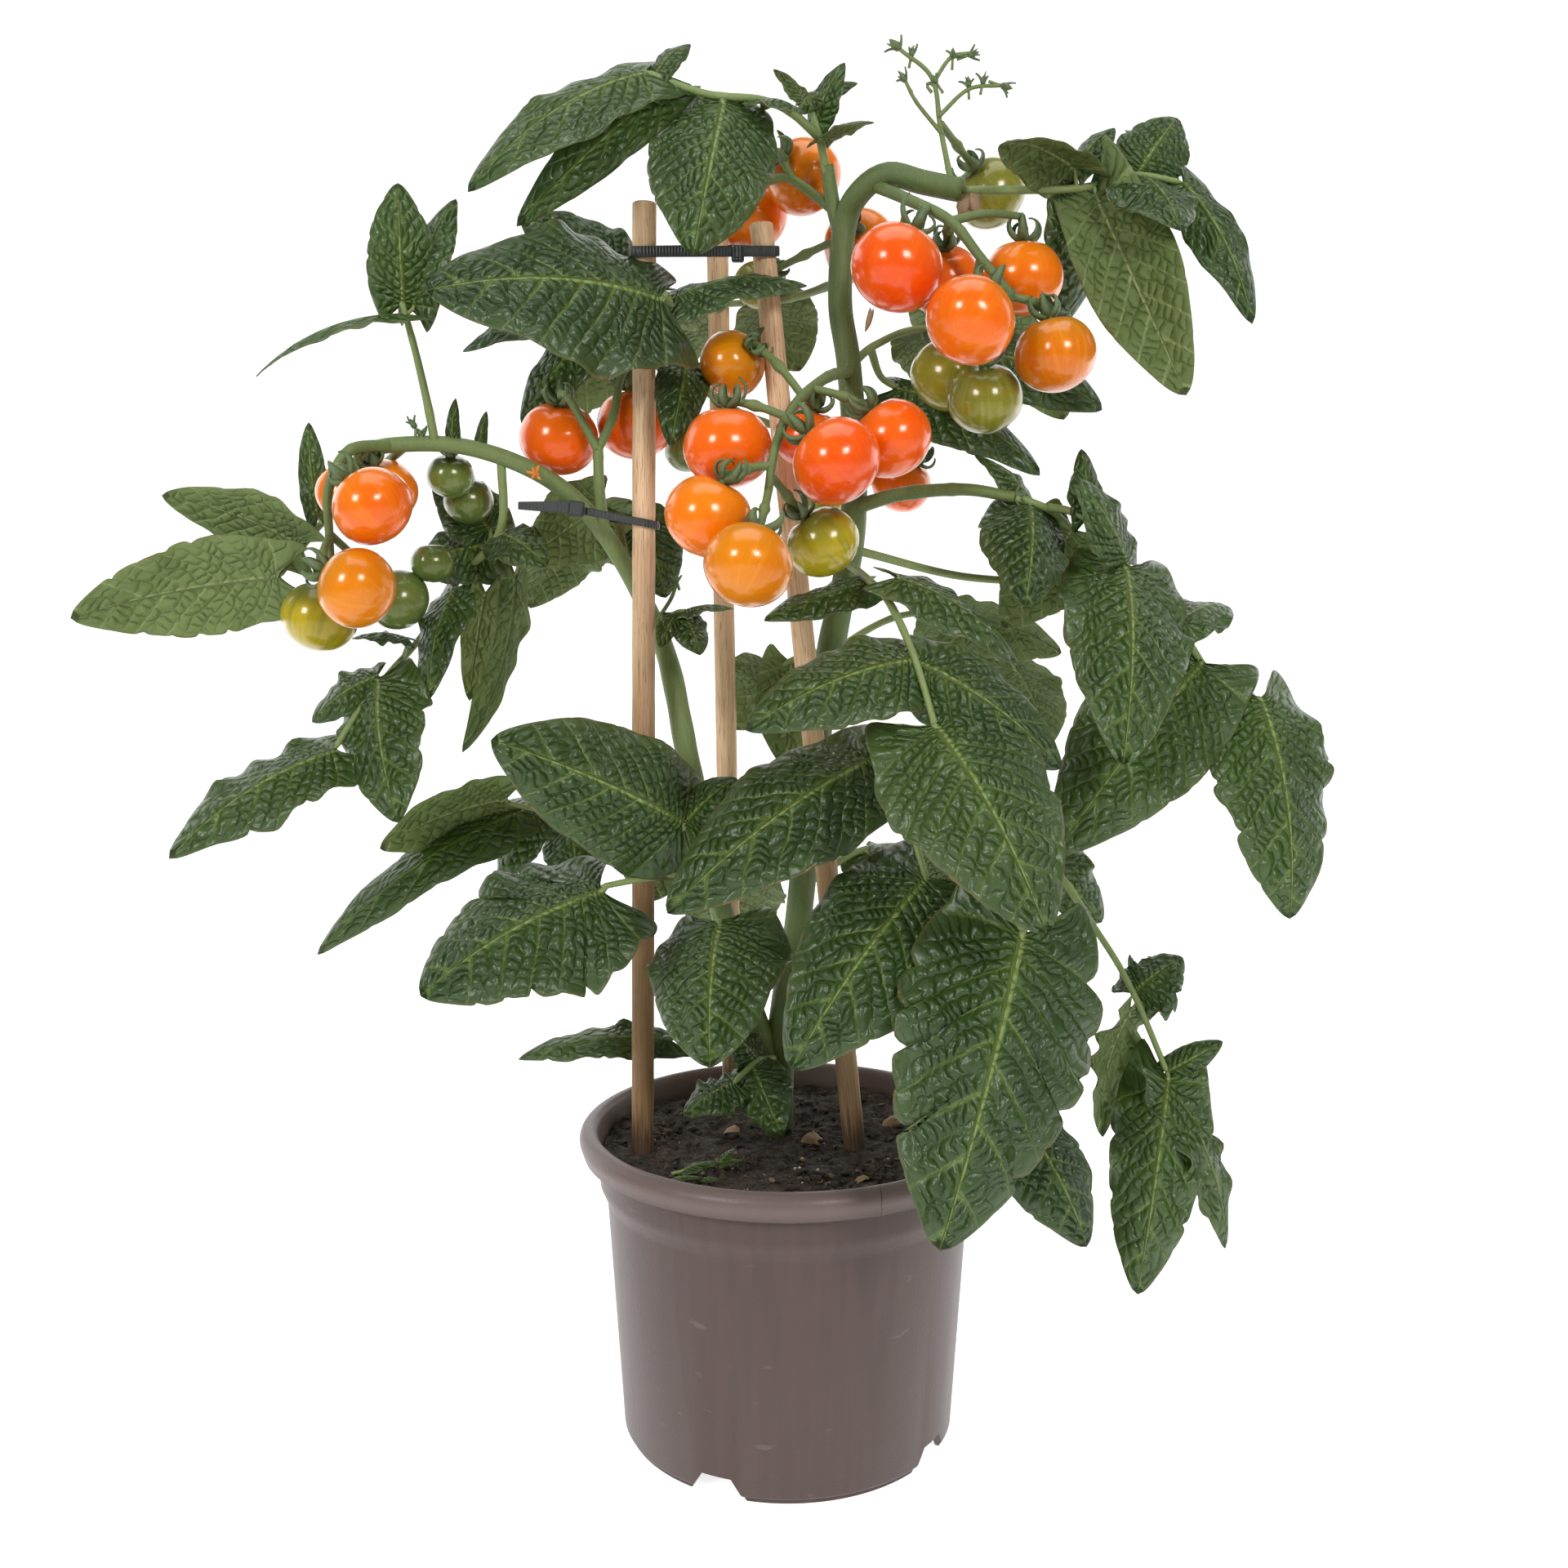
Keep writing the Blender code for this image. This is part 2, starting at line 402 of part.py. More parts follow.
# ---------------------------------------------------------------- colours
COLOURS = {
    # linear red, green, blue, then roughness
    "pot_plastic": ((0.115, 0.078, 0.072), 0.55),
    "soil": ((0.018, 0.012, 0.009), 0.95),
    "stake_wood": ((0.52, 0.34, 0.19), 0.65),
    "tie_plastic": ((0.022, 0.024, 0.024), 0.5),
    "stem_green": ((0.13, 0.19, 0.045), 0.6),
    "leaf_green": ((0.045, 0.085, 0.028), 0.5),
    "fruit_red": ((1.0, 0.11, 0.002), 0.2),
    "fruit_orange": ((1.0, 0.22, 0.003), 0.2),
    "fruit_yellow": ((0.95, 0.36, 0.004), 0.2),
    "fruit_turning": ((0.38, 0.32, 0.02), 0.2),
    "fruit_green": ((0.19, 0.22, 0.03), 0.2),
}


def clear_scene():
    """Empty the scene, so that only this model is in it."""
    for thing in list(bpy.data.objects):
        bpy.data.objects.remove(thing, do_unlink=True)


def material(name):
    """The named finish, made the first time it is asked for."""
    if name in bpy.data.materials:
        return bpy.data.materials[name]
    colour, roughness = COLOURS[name]
    made = bpy.data.materials.new(name)
    made.use_nodes = True
    shader = made.node_tree.nodes["Principled BSDF"]
    shader.inputs["Base Color"].default_value = (*colour, 1.0)
    shader.inputs["Roughness"].default_value = roughness
    shader.inputs["Metallic"].default_value = 0.0
    made.diffuse_color = (*colour, 1.0)
    return made


def solid(name, points, faces, finish, smooth=True):
    """An object from points in millimetres and faces that wind outwards."""
    mesh = bpy.data.meshes.new(name)
    mesh.from_pydata([Vector(p) * MM for p in points], [], faces)
    mesh.materials.append(material(finish))
    if smooth:
        mesh.shade_smooth()
        mesh.set_sharp_from_angle(angle=math.radians(40))
    made = bpy.data.objects.new(name, mesh)
    bpy.context.scene.collection.objects.link(made)
    return made


def apply_modifiers(piece):
    """Turn what the modifiers make into the object's own mesh."""
    bpy.context.view_layer.update()
    graph = bpy.context.evaluated_depsgraph_get()
    mesh = bpy.data.meshes.new_from_object(piece.evaluated_get(graph))
    piece.modifiers.clear()
    piece.data = mesh


def boolean(piece, others, operation, solver="MANIFOLD"):
    """Add the others to a piece, or cut them out of it, and remove them."""
    group = bpy.data.collections.new(piece.name + "_others")
    for other in others:
        group.objects.link(other)
    step = piece.modifiers.new(operation.title(), "BOOLEAN")
    step.operation = operation
    step.operand_type = "COLLECTION"
    step.collection = group
    step.solver = solver
    apply_modifiers(piece)
    for other in others:
        bpy.data.objects.remove(other, do_unlink=True)
    bpy.data.collections.remove(group)


def fuse(name, pieces):
    """Join pieces that grow together into one named object."""
    whole = pieces[0]
    if len(pieces) > 1:
        boolean(whole, pieces[1:], "UNION")
    whole.name = name
    return whole


def mix(start, end, share):
    return start + (end - start) * share


def rounded_path(points, per_span):
    """A smooth curve through the points, with a few steps on each span."""
    knots = [Vector(p) for p in points]
    knots = [2 * knots[0] - knots[1]] + knots + [2 * knots[-1] - knots[-2]]
    path = []
    for i in range(1, len(knots) - 2):
        before, start, end, after = knots[i - 1:i + 3]
        for step in range(per_span):
            t = step / per_span
            path.append(0.5 * (2 * start + (end - before) * t
                               + (2 * before - 5 * start + 4 * end - after) * t ** 2
                               + (3 * start - before - 3 * end + after) * t ** 3))
    path.append(knots[-2])
    return path


def ring_points(path, radii, sides, across):
    """Rings of points round a path, each turned as little as can be from the one before."""
    points = []
    for i, middle in enumerate(path):
        ahead = path[min(i + 1, len(path) - 1)]
        behind = path[max(i - 1, 0)]
        tangent = (ahead - behind).normalized()
        across = (across - tangent * across.dot(tangent)).normalized()
        other = tangent.cross(across)
        for k in range(sides):
            turn = 2 * math.pi * k / sides
            points.append(middle + (across * math.cos(turn) + other * math.sin(turn)) * radii[i])
    return points


def ring_faces(first, rings, sides):
    """The skin between rings of points that follow each other, closed by a cap at the end."""
    faces = []
    for start in range(first, first + (rings - 1) * sides, sides):
        for k in range(sides):
            near, far = start + k, start + (k + 1) % sides
            faces.append((near, far, far + sides, near + sides))
    last = first + (rings - 1) * sides
    faces.append(tuple(range(last, last + sides)))
    return faces


def tube(name, path, radii, sides, finish):
    """A closed round rod along a path, with one radius for each of its points."""
    points = ring_points(path, radii, sides, (path[1] - path[0]).orthogonal())
    faces = ring_faces(0, len(path), sides)
    faces.append(tuple(range(sides - 1, -1, -1)))
    return solid(name, points, faces, finish)


def tapered_rod(name, points, start, end, sides, per_span, finish="stem_green"):
    """A rod through the points whose radius runs evenly from start to end."""
    path = rounded_path(points, per_span)
    radii = [mix(start, end, i / (len(path) - 1)) for i in range(len(path))]
    return tube(name, path, radii, sides, finish)


def turned(name, profile, sides, finish):
    """A closed turned solid: the profile runs up the outside from axis to axis."""
    points = []
    rings = []
    for radius, height in profile:
        if radius == 0:
            rings.append([len(points)] * sides)
            points.append((0.0, 0.0, height))
            continue
        rings.append(list(range(len(points), len(points) + sides)))
        for k in range(sides):
            turn = 2 * math.pi * k / sides
            points.append((radius * math.cos(turn), radius * math.sin(turn), height))
    faces = []
    for low, high in zip(rings, rings[1:]):
        for k in range(sides):
            far = (k + 1) % sides
            corners = (low[k], low[far], high[far], high[k])
            faces.append(tuple(dict.fromkeys(corners)))
    return solid(name, points, faces, finish)


# ---------------------------------------------------------------- pot and soil
def inner_wall():
    """The inside of the pot as radius and height, from the floor up to the rolled edge."""
    thick = WALL_THICKNESS
    return [
        (WALL_FOOT_RADIUS - thick + 0.4, SKIRT_HEIGHT + thick),
        (WALL_TOP_RADIUS - thick, COLLAR_BOTTOM - 6.0),
        (COLLAR_RADIUS - thick - 0.8, COLLAR_BOTTOM),
        (COLLAR_RADIUS - thick, RIM_TOP - ROLL_DEPTH),
    ]


def pot_profile():
    """The pot's section, from the middle of the underside round to the middle of the floor."""
    thick = WALL_THICKNESS
    underside = [
        (0, 0.0),
        (BOSS_RADIUS, 0.0),
        (BOSS_RADIUS + 7.0, SKIRT_HEIGHT),
        (WALL_FOOT_RADIUS - 4.4, SKIRT_HEIGHT),
        (WALL_FOOT_RADIUS - 4.0, 0.0),
    ]
    outside = [
        (WALL_FOOT_RADIUS - 1.8, 0.0),
        (WALL_FOOT_RADIUS - 1.4, 2.3),
        (WALL_FOOT_RADIUS, 3.0),
        (WALL_TOP_RADIUS, COLLAR_BOTTOM - 5.0),
        (COLLAR_RADIUS - 0.8, COLLAR_BOTTOM),
        (COLLAR_RADIUS, RIM_TOP - ROLL_DEPTH),
    ]
    roll = [
        (RIM_RADIUS - 2.6, RIM_TOP - ROLL_DEPTH + 0.3),
        (RIM_RADIUS - 0.5, RIM_TOP - 9.5),
        (RIM_RADIUS, RIM_TOP - 5.5),
        (RIM_RADIUS - 1.4, RIM_TOP - 1.6),
        (RIM_RADIUS - 4.0, RIM_TOP),
        (RIM_RADIUS - 6.6, RIM_TOP - 1.2),
    ]
    floor = [
        (BOSS_RADIUS + 5.2, SKIRT_HEIGHT + thick),
        (BOSS_RADIUS - 1.8, thick),
        (0, thick),
    ]
    return underside + outside + roll + inner_wall()[::-1] + floor


def notch_cutter(angle):
    """A wedge that opens the foot skirt, wider at the floor."""
    wide, narrow = (width / 2 for width in NOTCH_WIDTHS)
    section = ((-wide - 1, -1.0), (wide + 1, -1.0), (narrow, NOTCH_HEIGHT), (-narrow, NOTCH_HEIGHT))
    near, far = WALL_FOOT_RADIUS - 12.0, WALL_FOOT_RADIUS + 6.0
    points = [(near, y, z) for y, z in section] + [(far, y, z) for y, z in section]
    faces = [(3, 2, 1, 0), (4, 5, 6, 7), (0, 1, 5, 4), (1, 2, 6, 5), (2, 3, 7, 6), (3, 0, 4, 7)]
    spin = Matrix.Rotation(math.radians(angle), 4, "Z")
    return solid("notch", [spin @ Vector(p) for p in points], faces, "pot_plastic", smooth=False)


def drain_cutter(number):
    """A round drain hole through the floor plate."""
    turn = 2 * math.pi * (number + 0.5) / DRAIN_COUNT
    x, y = DRAIN_CIRCLE * math.cos(turn), DRAIN_CIRCLE * math.sin(turn)
    ends = [Vector((x, y, SKIRT_HEIGHT - 3)), Vector((x, y, SKIRT_HEIGHT + 5))]
    return tube("drain", ends, [DRAIN_RADIUS] * 2, 8, "pot_plastic")


def make_pot():
    pot = turned("pot", pot_profile(), POT_SIDES, "pot_plastic")
    cutters = [notch_cutter(angle) for angle in NOTCH_ANGLES]
    cutters += [drain_cutter(number) for number in range(DRAIN_COUNT)]
    boolean(pot, cutters, "DIFFERENCE", solver="EXACT")
    return pot


def soil_height(x, y):
    """The lumpy surface of the soil."""
    lumps = math.sin(0.11 * x + 0.6) * math.cos(0.13 * y - 0.4)
    small = math.sin(0.31 * x - 0.2 * y) * math.cos(0.27 * y + 0.9)
    return SOIL_LEVEL + 1.4 * lumps + 0.7 * small


def make_soil():
    """The root ball: it fills the pot, and the stakes and the stem stand in plain holes in it."""
    foot, low, collar, edge = ((radius - GAP, height) for radius, height in inner_wall())
    bottom = SKIRT_HEIGHT + WALL_THICKNESS + GAP
    profile = [(0, WALL_THICKNESS + GAP), (BOSS_RADIUS - 2.4, WALL_THICKNESS + GAP),
               (BOSS_RADIUS + 4.6, bottom), (foot[0] - 0.2, bottom), low, collar,
               (edge[0], SOIL_LEVEL)]
    profile += [(edge[0] * share, SOIL_LEVEL) for share in (0.8, 0.56, 0.3, 0)]
    soil = turned("soil", profile, POT_SIDES, "soil")
    for corner in soil.data.vertices:
        x, y, z = corner.co / MM
        if z > SOIL_LEVEL - 0.5:
            corner.co.z = soil_height(x, y) * MM
    holes = [stake_rod(name, STAKE_RADIUS + GAP, 1.0) for name in STAKES]
    radius, _, middle = STEMS["right_branch"]
    ends = [Vector(middle[0]) - UP, Vector(middle[1]) + UP * 4]
    holes.append(tube("stem_hole", ends, [radius + GAP] * 2, 14, "soil"))
    boolean(soil, holes, "DIFFERENCE", solver="EXACT")
    return soil


# ---------------------------------------------------------------- stakes and ties
def stake_ends(name):
    """The middle of a stake's pushed-in end and of its top."""
    ground, top = (Vector(p) for p in STAKES[name])
    along = (top - ground).normalized()
    return ground - along * STAKE_DEPTH, top


def stake_rod(name, radius, below=0.0):
    """A round stake, or with a wider radius and a little below its foot the hole for it."""
    foot, top = stake_ends(name)
    along = (top - foot).normalized()
    return tube(name, [foot - along * below, top], [radius] * 2, STAKE_SIDES, "stake_wood")


def stake_middle(name, level):
    """Where a stake's middle line passes a level."""
    foot, top = stake_ends(name)
    return mix(foot, top, (level - foot.z) / (top.z - foot.z))


def hull(points):
    """The corners of the convex outline of points in a plane, counterclockwise."""
    ordered = sorted(set(points))

    def chain(run):
        kept = []
        for p in run:
            while len(kept) > 1:
                a, b = kept[-2:]
                if (b[0] - a[0]) * (p[1] - a[1]) - (b[1] - a[1]) * (p[0] - a[0]) > 0:
                    break
                kept.pop()
            kept.append(p)
        return kept[:-1]

    return chain(ordered) + chain(ordered[::-1])


def loop_band(name, rounds, level, height, thickness):
    """A flat strap pulled round circles given as middle x, y and radius."""
    ring = []
    for x, y, radius in rounds:
        for k in range(12):
            turn = 2 * math.pi * (k + 0.5) / 12
            ring.append((round(x + radius * math.cos(turn), 4), round(y + radius * math.sin(turn), 4)))
    ring = hull(ring)
    count = len(ring)
    points = []
    for i, (x, y) in enumerate(ring):
        before, after = Vector(ring[i - 1]), Vector(ring[(i + 1) % count])
        along = (after - before).normalized()
        outward = Vector((along.y, -along.x))
        for push, lift in ((0, -0.5), (thickness, -0.5), (thickness, 0.5), (0, 0.5)):
            spot = Vector((x, y)) + outward * push
            points.append((spot.x, spot.y, level(spot.x, spot.y) + lift * height))
    faces = []
    for i in range(count):
        here, there = 4 * i, 4 * ((i + 1) % count)
        for k in range(4):
            nxt = (k + 1) % 4
            faces.append((here + k, there + k, there + nxt, here + nxt))
    return solid(name, points, faces, "tie_plastic", smooth=False)


def block(name, middle, size, finish, tilt=0.0):
    """A plain block, turned about the Y axis by a few degrees."""
    turn = Matrix.Rotation(math.radians(tilt), 3, "Y")
    half = Vector(size) / 2
    corners = []
    for z in (-1, 1):
        for x, y in ((-1, -1), (1, -1), (1, 1), (-1, 1)):
            corners.append(Vector(middle) + turn @ Vector((x * half.x, y * half.y, z * half.z)))
    faces = [(3, 2, 1, 0), (4, 5, 6, 7), (0, 1, 5, 4), (1, 2, 6, 5), (2, 3, 7, 6), (3, 0, 4, 7)]
    return solid(name, corners, faces, finish, smooth=False)


def make_tie_top():
    """The strap round the three stakes, with its lock beside the right stake."""
    def level(x, y):
        return TIE_TOP_LEVEL + TIE_TOP_TILT * (y + 12)

    reach = STAKE_RADIUS + 2 * GAP
    rounds = []
    for name in STAKES:
        middle = stake_middle(name, TIE_TOP_LEVEL)
        middle = stake_middle(name, level(middle.x, middle.y))
        rounds.append((middle.x, middle.y, reach))
    band = loop_band("band", rounds, level, TIE_HEIGHT, TIE_THICKNESS)
    left, right = rounds[0], rounds[1]
    lock = block("lock", (right[0] - 11, mix(right[1], left[1], 0.22) - reach - 1.2,
                          TIE_TOP_LEVEL - 1.8), (6, 4, 7), "tie_plastic")
    return fuse("tie_top", [band, lock])


def make_tie_branch():
    """The strap that holds the left branch to the left stake."""
    def level(x, y):
        return TIE_BRANCH_LEVEL - 0.2 * (x + 89)

    stake = stake_middle("stake_left", TIE_BRANCH_LEVEL - 5)
    rounds = [(stake.x, stake.y, STAKE_RADIUS + 2 * GAP), (-89.5, -7.5, 10.5)]
    band = loop_band("band", rounds, level, 3.4, TIE_THICKNESS)
    lock = block("lock", (-91, -20.6, TIE_BRANCH_LEVEL + 0.6), (7, 5, 7), "tie_plastic", 8)
    tail = block("tail", (-104, -21.5, TIE_BRANCH_LEVEL + 1.5), (24, 1.6, 6), "tie_plastic", 2)
    return fuse("tie_branch", [band, lock, tail])


# ---------------------------------------------------------------- stem, calyxes and fruit
def stem_rods(extra=0.0):
    """Every stem and truss stalk as its own rod, fatter by extra."""
    rods = []
    for name, (start, end, points) in STEMS.items():
        sides = STEM_SIDES if start > 3 else STALK_SIDES
        points = [Vector(p) for p in points]
        points[-1] += (points[-1] - points[-2]).normalized() * extra
        rods.append(tapered_rod(name, points, start + extra, end + extra, sides, 1))
    return rods


def fruit_top(fruit):
    """The direction from a fruit's middle to its stalk, and how far the skin is there."""
    return Vector(fruit.top or UP).normalized(), fruit.radius * FRUIT_SQUASH


def calyx(fruit, rng):
    """A five-pointed star that lies on a fruit, with the fruit's own short stalk.

    The points curl off the fruit, and the stalk has the knuckle where a ripe fruit snaps off.
    """
    axis, reach = fruit_top(fruit)
    side = axis.orthogonal().normalized()
    side.rotate(Matrix.Rotation(rng.uniform(0, 1.2), 3, axis))
    other = axis.cross(side)
    middle = Vector(fruit.centre) + axis * (reach + GAP)
    points = [middle]
    for k in range(2 * CALYX_POINTS):
        turn = math.pi * k / CALYX_POINTS
        is_notch = k % 2 == 0
        length = fruit.radius * (0.24 if is_notch else rng.uniform(0.62, 0.8))
        lift = 0.6 if is_notch else rng.uniform(1.0, 4.0)
        around = side * math.cos(turn) + other * math.sin(turn)
        points.append(middle + around * length + axis * lift)
    stalk_foot = middle + axis * CALYX_THICKNESS
    joint = Vector(fruit.joint)
    path = [stalk_foot, mix(stalk_foot, joint, 0.5) + axis * 3, joint]
    first = len(points)
    points += ring_points(path, [1.6, 2.0, 1.2], CALYX_POINTS, side)
    faces = ring_faces(first, len(path), CALYX_POINTS)
    for k in range(CALYX_POINTS):
        following = (k + 1) % CALYX_POINTS
        notch, point, next_notch = 1 + 2 * k, 2 + 2 * k, 1 + 2 * following
        ring, next_ring = first + k, first + following
        faces += [(0, point, notch), (0, next_notch, point)]
        faces += [(ring, notch, point), (ring, point, next_ring), (next_ring, point, next_notch)]
    return solid("calyx", points, faces, "stem_green")


def make_stem():
    """Stem, branches, truss stalks, calyxes and sprouts, which grew as one."""
    rng = random.Random(7)
    pieces = stem_rods()
    for bunch in FRUITS.values():
        for fruit in bunch:
            if fruit.joint:
                pieces.append(calyx(fruit, rng))
    for sprout in SPROUTS:
        pieces.append(blade(sprout, FRONT, 0.0, Vector(sprout.base)))
    return fuse("stem", pieces)


def fruit_ball(fruit):
    """A round fruit, a little flat at its stalk."""
    axis, _ = fruit_top(fruit)
    side = axis.orthogonal().normalized()
    other = axis.cross(side)
    points = []
    for ring in range(1, FRUIT_RINGS + 1):
        polar = math.pi * ring / (FRUIT_RINGS + 1)
        for k in range(FRUIT_SIDES):
            turn = 2 * math.pi * (k + 0.5 * (ring % 2)) / FRUIT_SIDES
            around = side * math.cos(turn) + other * math.sin(turn)
            points.append(Vector(fruit.centre) + around * fruit.radius * math.sin(polar)
                          + axis * fruit.radius * FRUIT_SQUASH * math.cos(polar))
    points.append(Vector(fruit.centre) + axis * fruit.radius * FRUIT_SQUASH)
    points.append(Vector(fruit.centre) - axis * fruit.radius * FRUIT_SQUASH)
    top, bottom = len(points) - 2, len(points) - 1
    faces = []
    for k in range(FRUIT_SIDES):
        far = (k + 1) % FRUIT_SIDES
        faces.append((top, k, far))
        last = (FRUIT_RINGS - 1) * FRUIT_SIDES
        faces.append((bottom, last + far, last + k))
        for ring in range(FRUIT_RINGS - 1):
            high, low = ring * FRUIT_SIDES, (ring + 1) * FRUIT_SIDES
            if ring % 2 == 0:
                faces.append((high + k, low + k, low + far))
                faces.append((high + k, low + far, high + far))
            else:
                faces.append((high + k, low + k, high + far))
                faces.append((high + far, low + k, low + far))
    return solid("fruit", points, faces, "fruit_" + fruit.colour)


# ---------------------------------------------------------------- leaves
def half_width(leaflet):
    """Half the breadth of a leaflet laid flat."""
    return BREADTH * leaflet.width / 2


def leaf_axes(leaflet, face):
    """Length and the directions along, across and out of the upper side of a leaflet."""
    span = Vector(leaflet.tip) - Vector(leaflet.base)
    along = span.normalized()
    face = Vector(leaflet.face or face)
    out = (face - along * face.dot(along)).normalized()
    return span.length, along, out.cross(along), out


def leaf_point(leaflet, axes, phase, a, y):
    """Middle surface of a leaflet: a share of its length along, y millimetres across."""
    length, along, across, out = axes
    half = half_width(leaflet)
    share = y / half
    rise = leaflet.arch * length * 4 * a * (1 - a)
    droop = leaflet.fold * half * (math.sqrt(share * share + 0.04) - 0.2)
    wave = WAVE_HEIGHT * half * share * share * math.sin(
        2 * math.pi * WAVES * a + phase + (2.5 if y < 0 else 0.0))
    narrow = 1 / math.sqrt(1 + leaflet.fold ** 2)
    return (Vector(leaflet.base) + along * length * a + across * y * narrow
            + out * (rise - droop + wave))


def outline(share):
    """Margin of a leaflet, from 0 at its stalk to 1 at its tip: place along, half width."""
    heart = 0.12 * math.sin(math.pi * min(1.0, share / 0.2))
    width = math.sin(math.pi * share ** 0.62) ** 0.6 * (1 - 0.15 * share)
    return share - heart, width / 0.95


def blade(leaflet, face, phase, root):
    """A thin closed blade on its stalk, split into the same triangles on both faces."""
    axes = leaf_axes(leaflet, face)
    half = half_width(leaflet)
    count = next(rows for width, rows in ROWS_BY_WIDTH if leaflet.width <= width)
    middle = [root]
    if (root - Vector(leaflet.base)).length > ROOT_DEPTH + 0.5:
        for y in (0.0, NECK_WIDTH / 2, -NECK_WIDTH / 2):
            middle.append(leaf_point(leaflet, axes, phase, 0.0, y))
    for i in range(1, count + 1):
        share = (i / (count + 1)) ** 1.1
        along, width = outline(share)
        lobe = leaflet.cut if 1 < i < count else 0.0
        width *= 1 + lobe if i % 2 else 1 - lobe
        middle.append(leaf_point(leaflet, axes, phase, share ** 1.4, 0.0))
        middle.append(leaf_point(leaflet, axes, phase, along, half * width))
        middle.append(leaf_point(leaflet, axes, phase, along, -half * width))
    middle.append(Vector(leaflet.tip))
    tip = len(middle) - 1
    skin = []
    for side in (0, 1):
        rows = [(mid, mid + 1 + side) for mid in range(1, tip, 3)]
        flat = [(0, rows[0][0], rows[0][1])]
        for (mid, edge), (next_mid, next_edge) in zip(rows, rows[1:]):
            flat += [(mid, next_mid, edge), (edge, next_mid, next_edge)]
        flat.append((rows[-1][0], tip, rows[-1][1]))
        skin += [t if side == 0 else t[::-1] for t in flat]
    normals = [Vector() for _ in middle]
    for a, b, c in skin:
        normal = (middle[b] - middle[a]).cross(middle[c] - middle[a])
        for corner in (a, b, c):
            normals[corner] += normal
    shift = [n.normalized() * BLADE_THICKNESS / 2 for n in normals]
    points = [p + s for p, s in zip(middle, shift)] + [p - s for p, s in zip(middle, shift)]
    under = len(middle)
    faces = list(skin) + [tuple(under + c for c in t[::-1]) for t in skin]
    border = [0] + list(range(3, tip, 3)) + [tip] + list(range(2, tip, 3))[::-1]
    for i, a in enumerate(border):
        b = border[(i + 1) % len(border)]
        faces += [(b, a, under + a), (b, under + a, under + b)]
    return solid("blade", points, faces, "leaf_green")


def nearest_on(path, spot):
    """The point of a run of straight pieces that is nearest to a spot."""
    best = path[0]
    for start, end in zip(path, path[1:]):
        span = end - start
        share = max(0.0, min(1.0, (spot - start).dot(span) / span.length_squared))
        near = start + span * share
        if (near - spot).length < (best - spot).length:
            best = near
    return best


def make_leaf(name, leaf):
    """One compound leaf: its ribs and leaflets grown together, a gap off the stem."""
    pieces = []
    ribs = []
    for points in leaf.ribs:
        pieces.append(tapered_rod("rib", points, *RIB_RADII, RIB_SIDES, 1, "leaf_green"))
        ribs.append(rounded_path(points, 1))
    for number, leaflet in enumerate(leaf.leaflets):
        phase = random.Random(f"{name} {number}").uniform(0, 2 * math.pi)
        base = Vector(leaflet.base)
        behind = base - leaf_axes(leaflet, leaf.face)[1] * ROOT_DEPTH
        root = min((nearest_on(rib, behind) for rib in ribs), key=lambda spot: (spot - base).length)
        pieces.append(blade(leaflet, leaf.face, phase, root))
    made = fuse(name, pieces)
    boolean(made, stem_rods(GAP), "DIFFERENCE")
    return made


def main():
    clear_scene()
    make_pot()
    make_soil()
    for name in STAKES:
        stake_rod(name, STAKE_RADIUS)
    make_tie_top()
    make_tie_branch()
    make_stem()
    for name, bunch in FRUITS.items():
        fuse(name, [fruit_ball(fruit) for fruit in bunch])
    for name, leaf in LEAVES.items():
        make_leaf(name, leaf)


main()
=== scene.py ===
# %% [markdown]
# # A cherry tomato plant in a pot
# A young patio tomato grows from a plastic nursery pot. Three wooden stakes and two cable ties hold
# it up, and every stalk, leaf and fruit is a separate thing to look at. The plain solid model of it
# is already made, and this lesson dresses it. Each solid gets a finer piece in the same place and of
# nearly the same size, so we first load the model.
# The numbers below are millimetres, because that is how a grower would measure the plant. Blender
# works in metres, so one constant turns them at the moment when a mesh is made.

# %% Load the plain model
import json
import math
import random
from collections import namedtuple

import bpy
import numpy as np
from mathutils import Matrix, Vector, noise

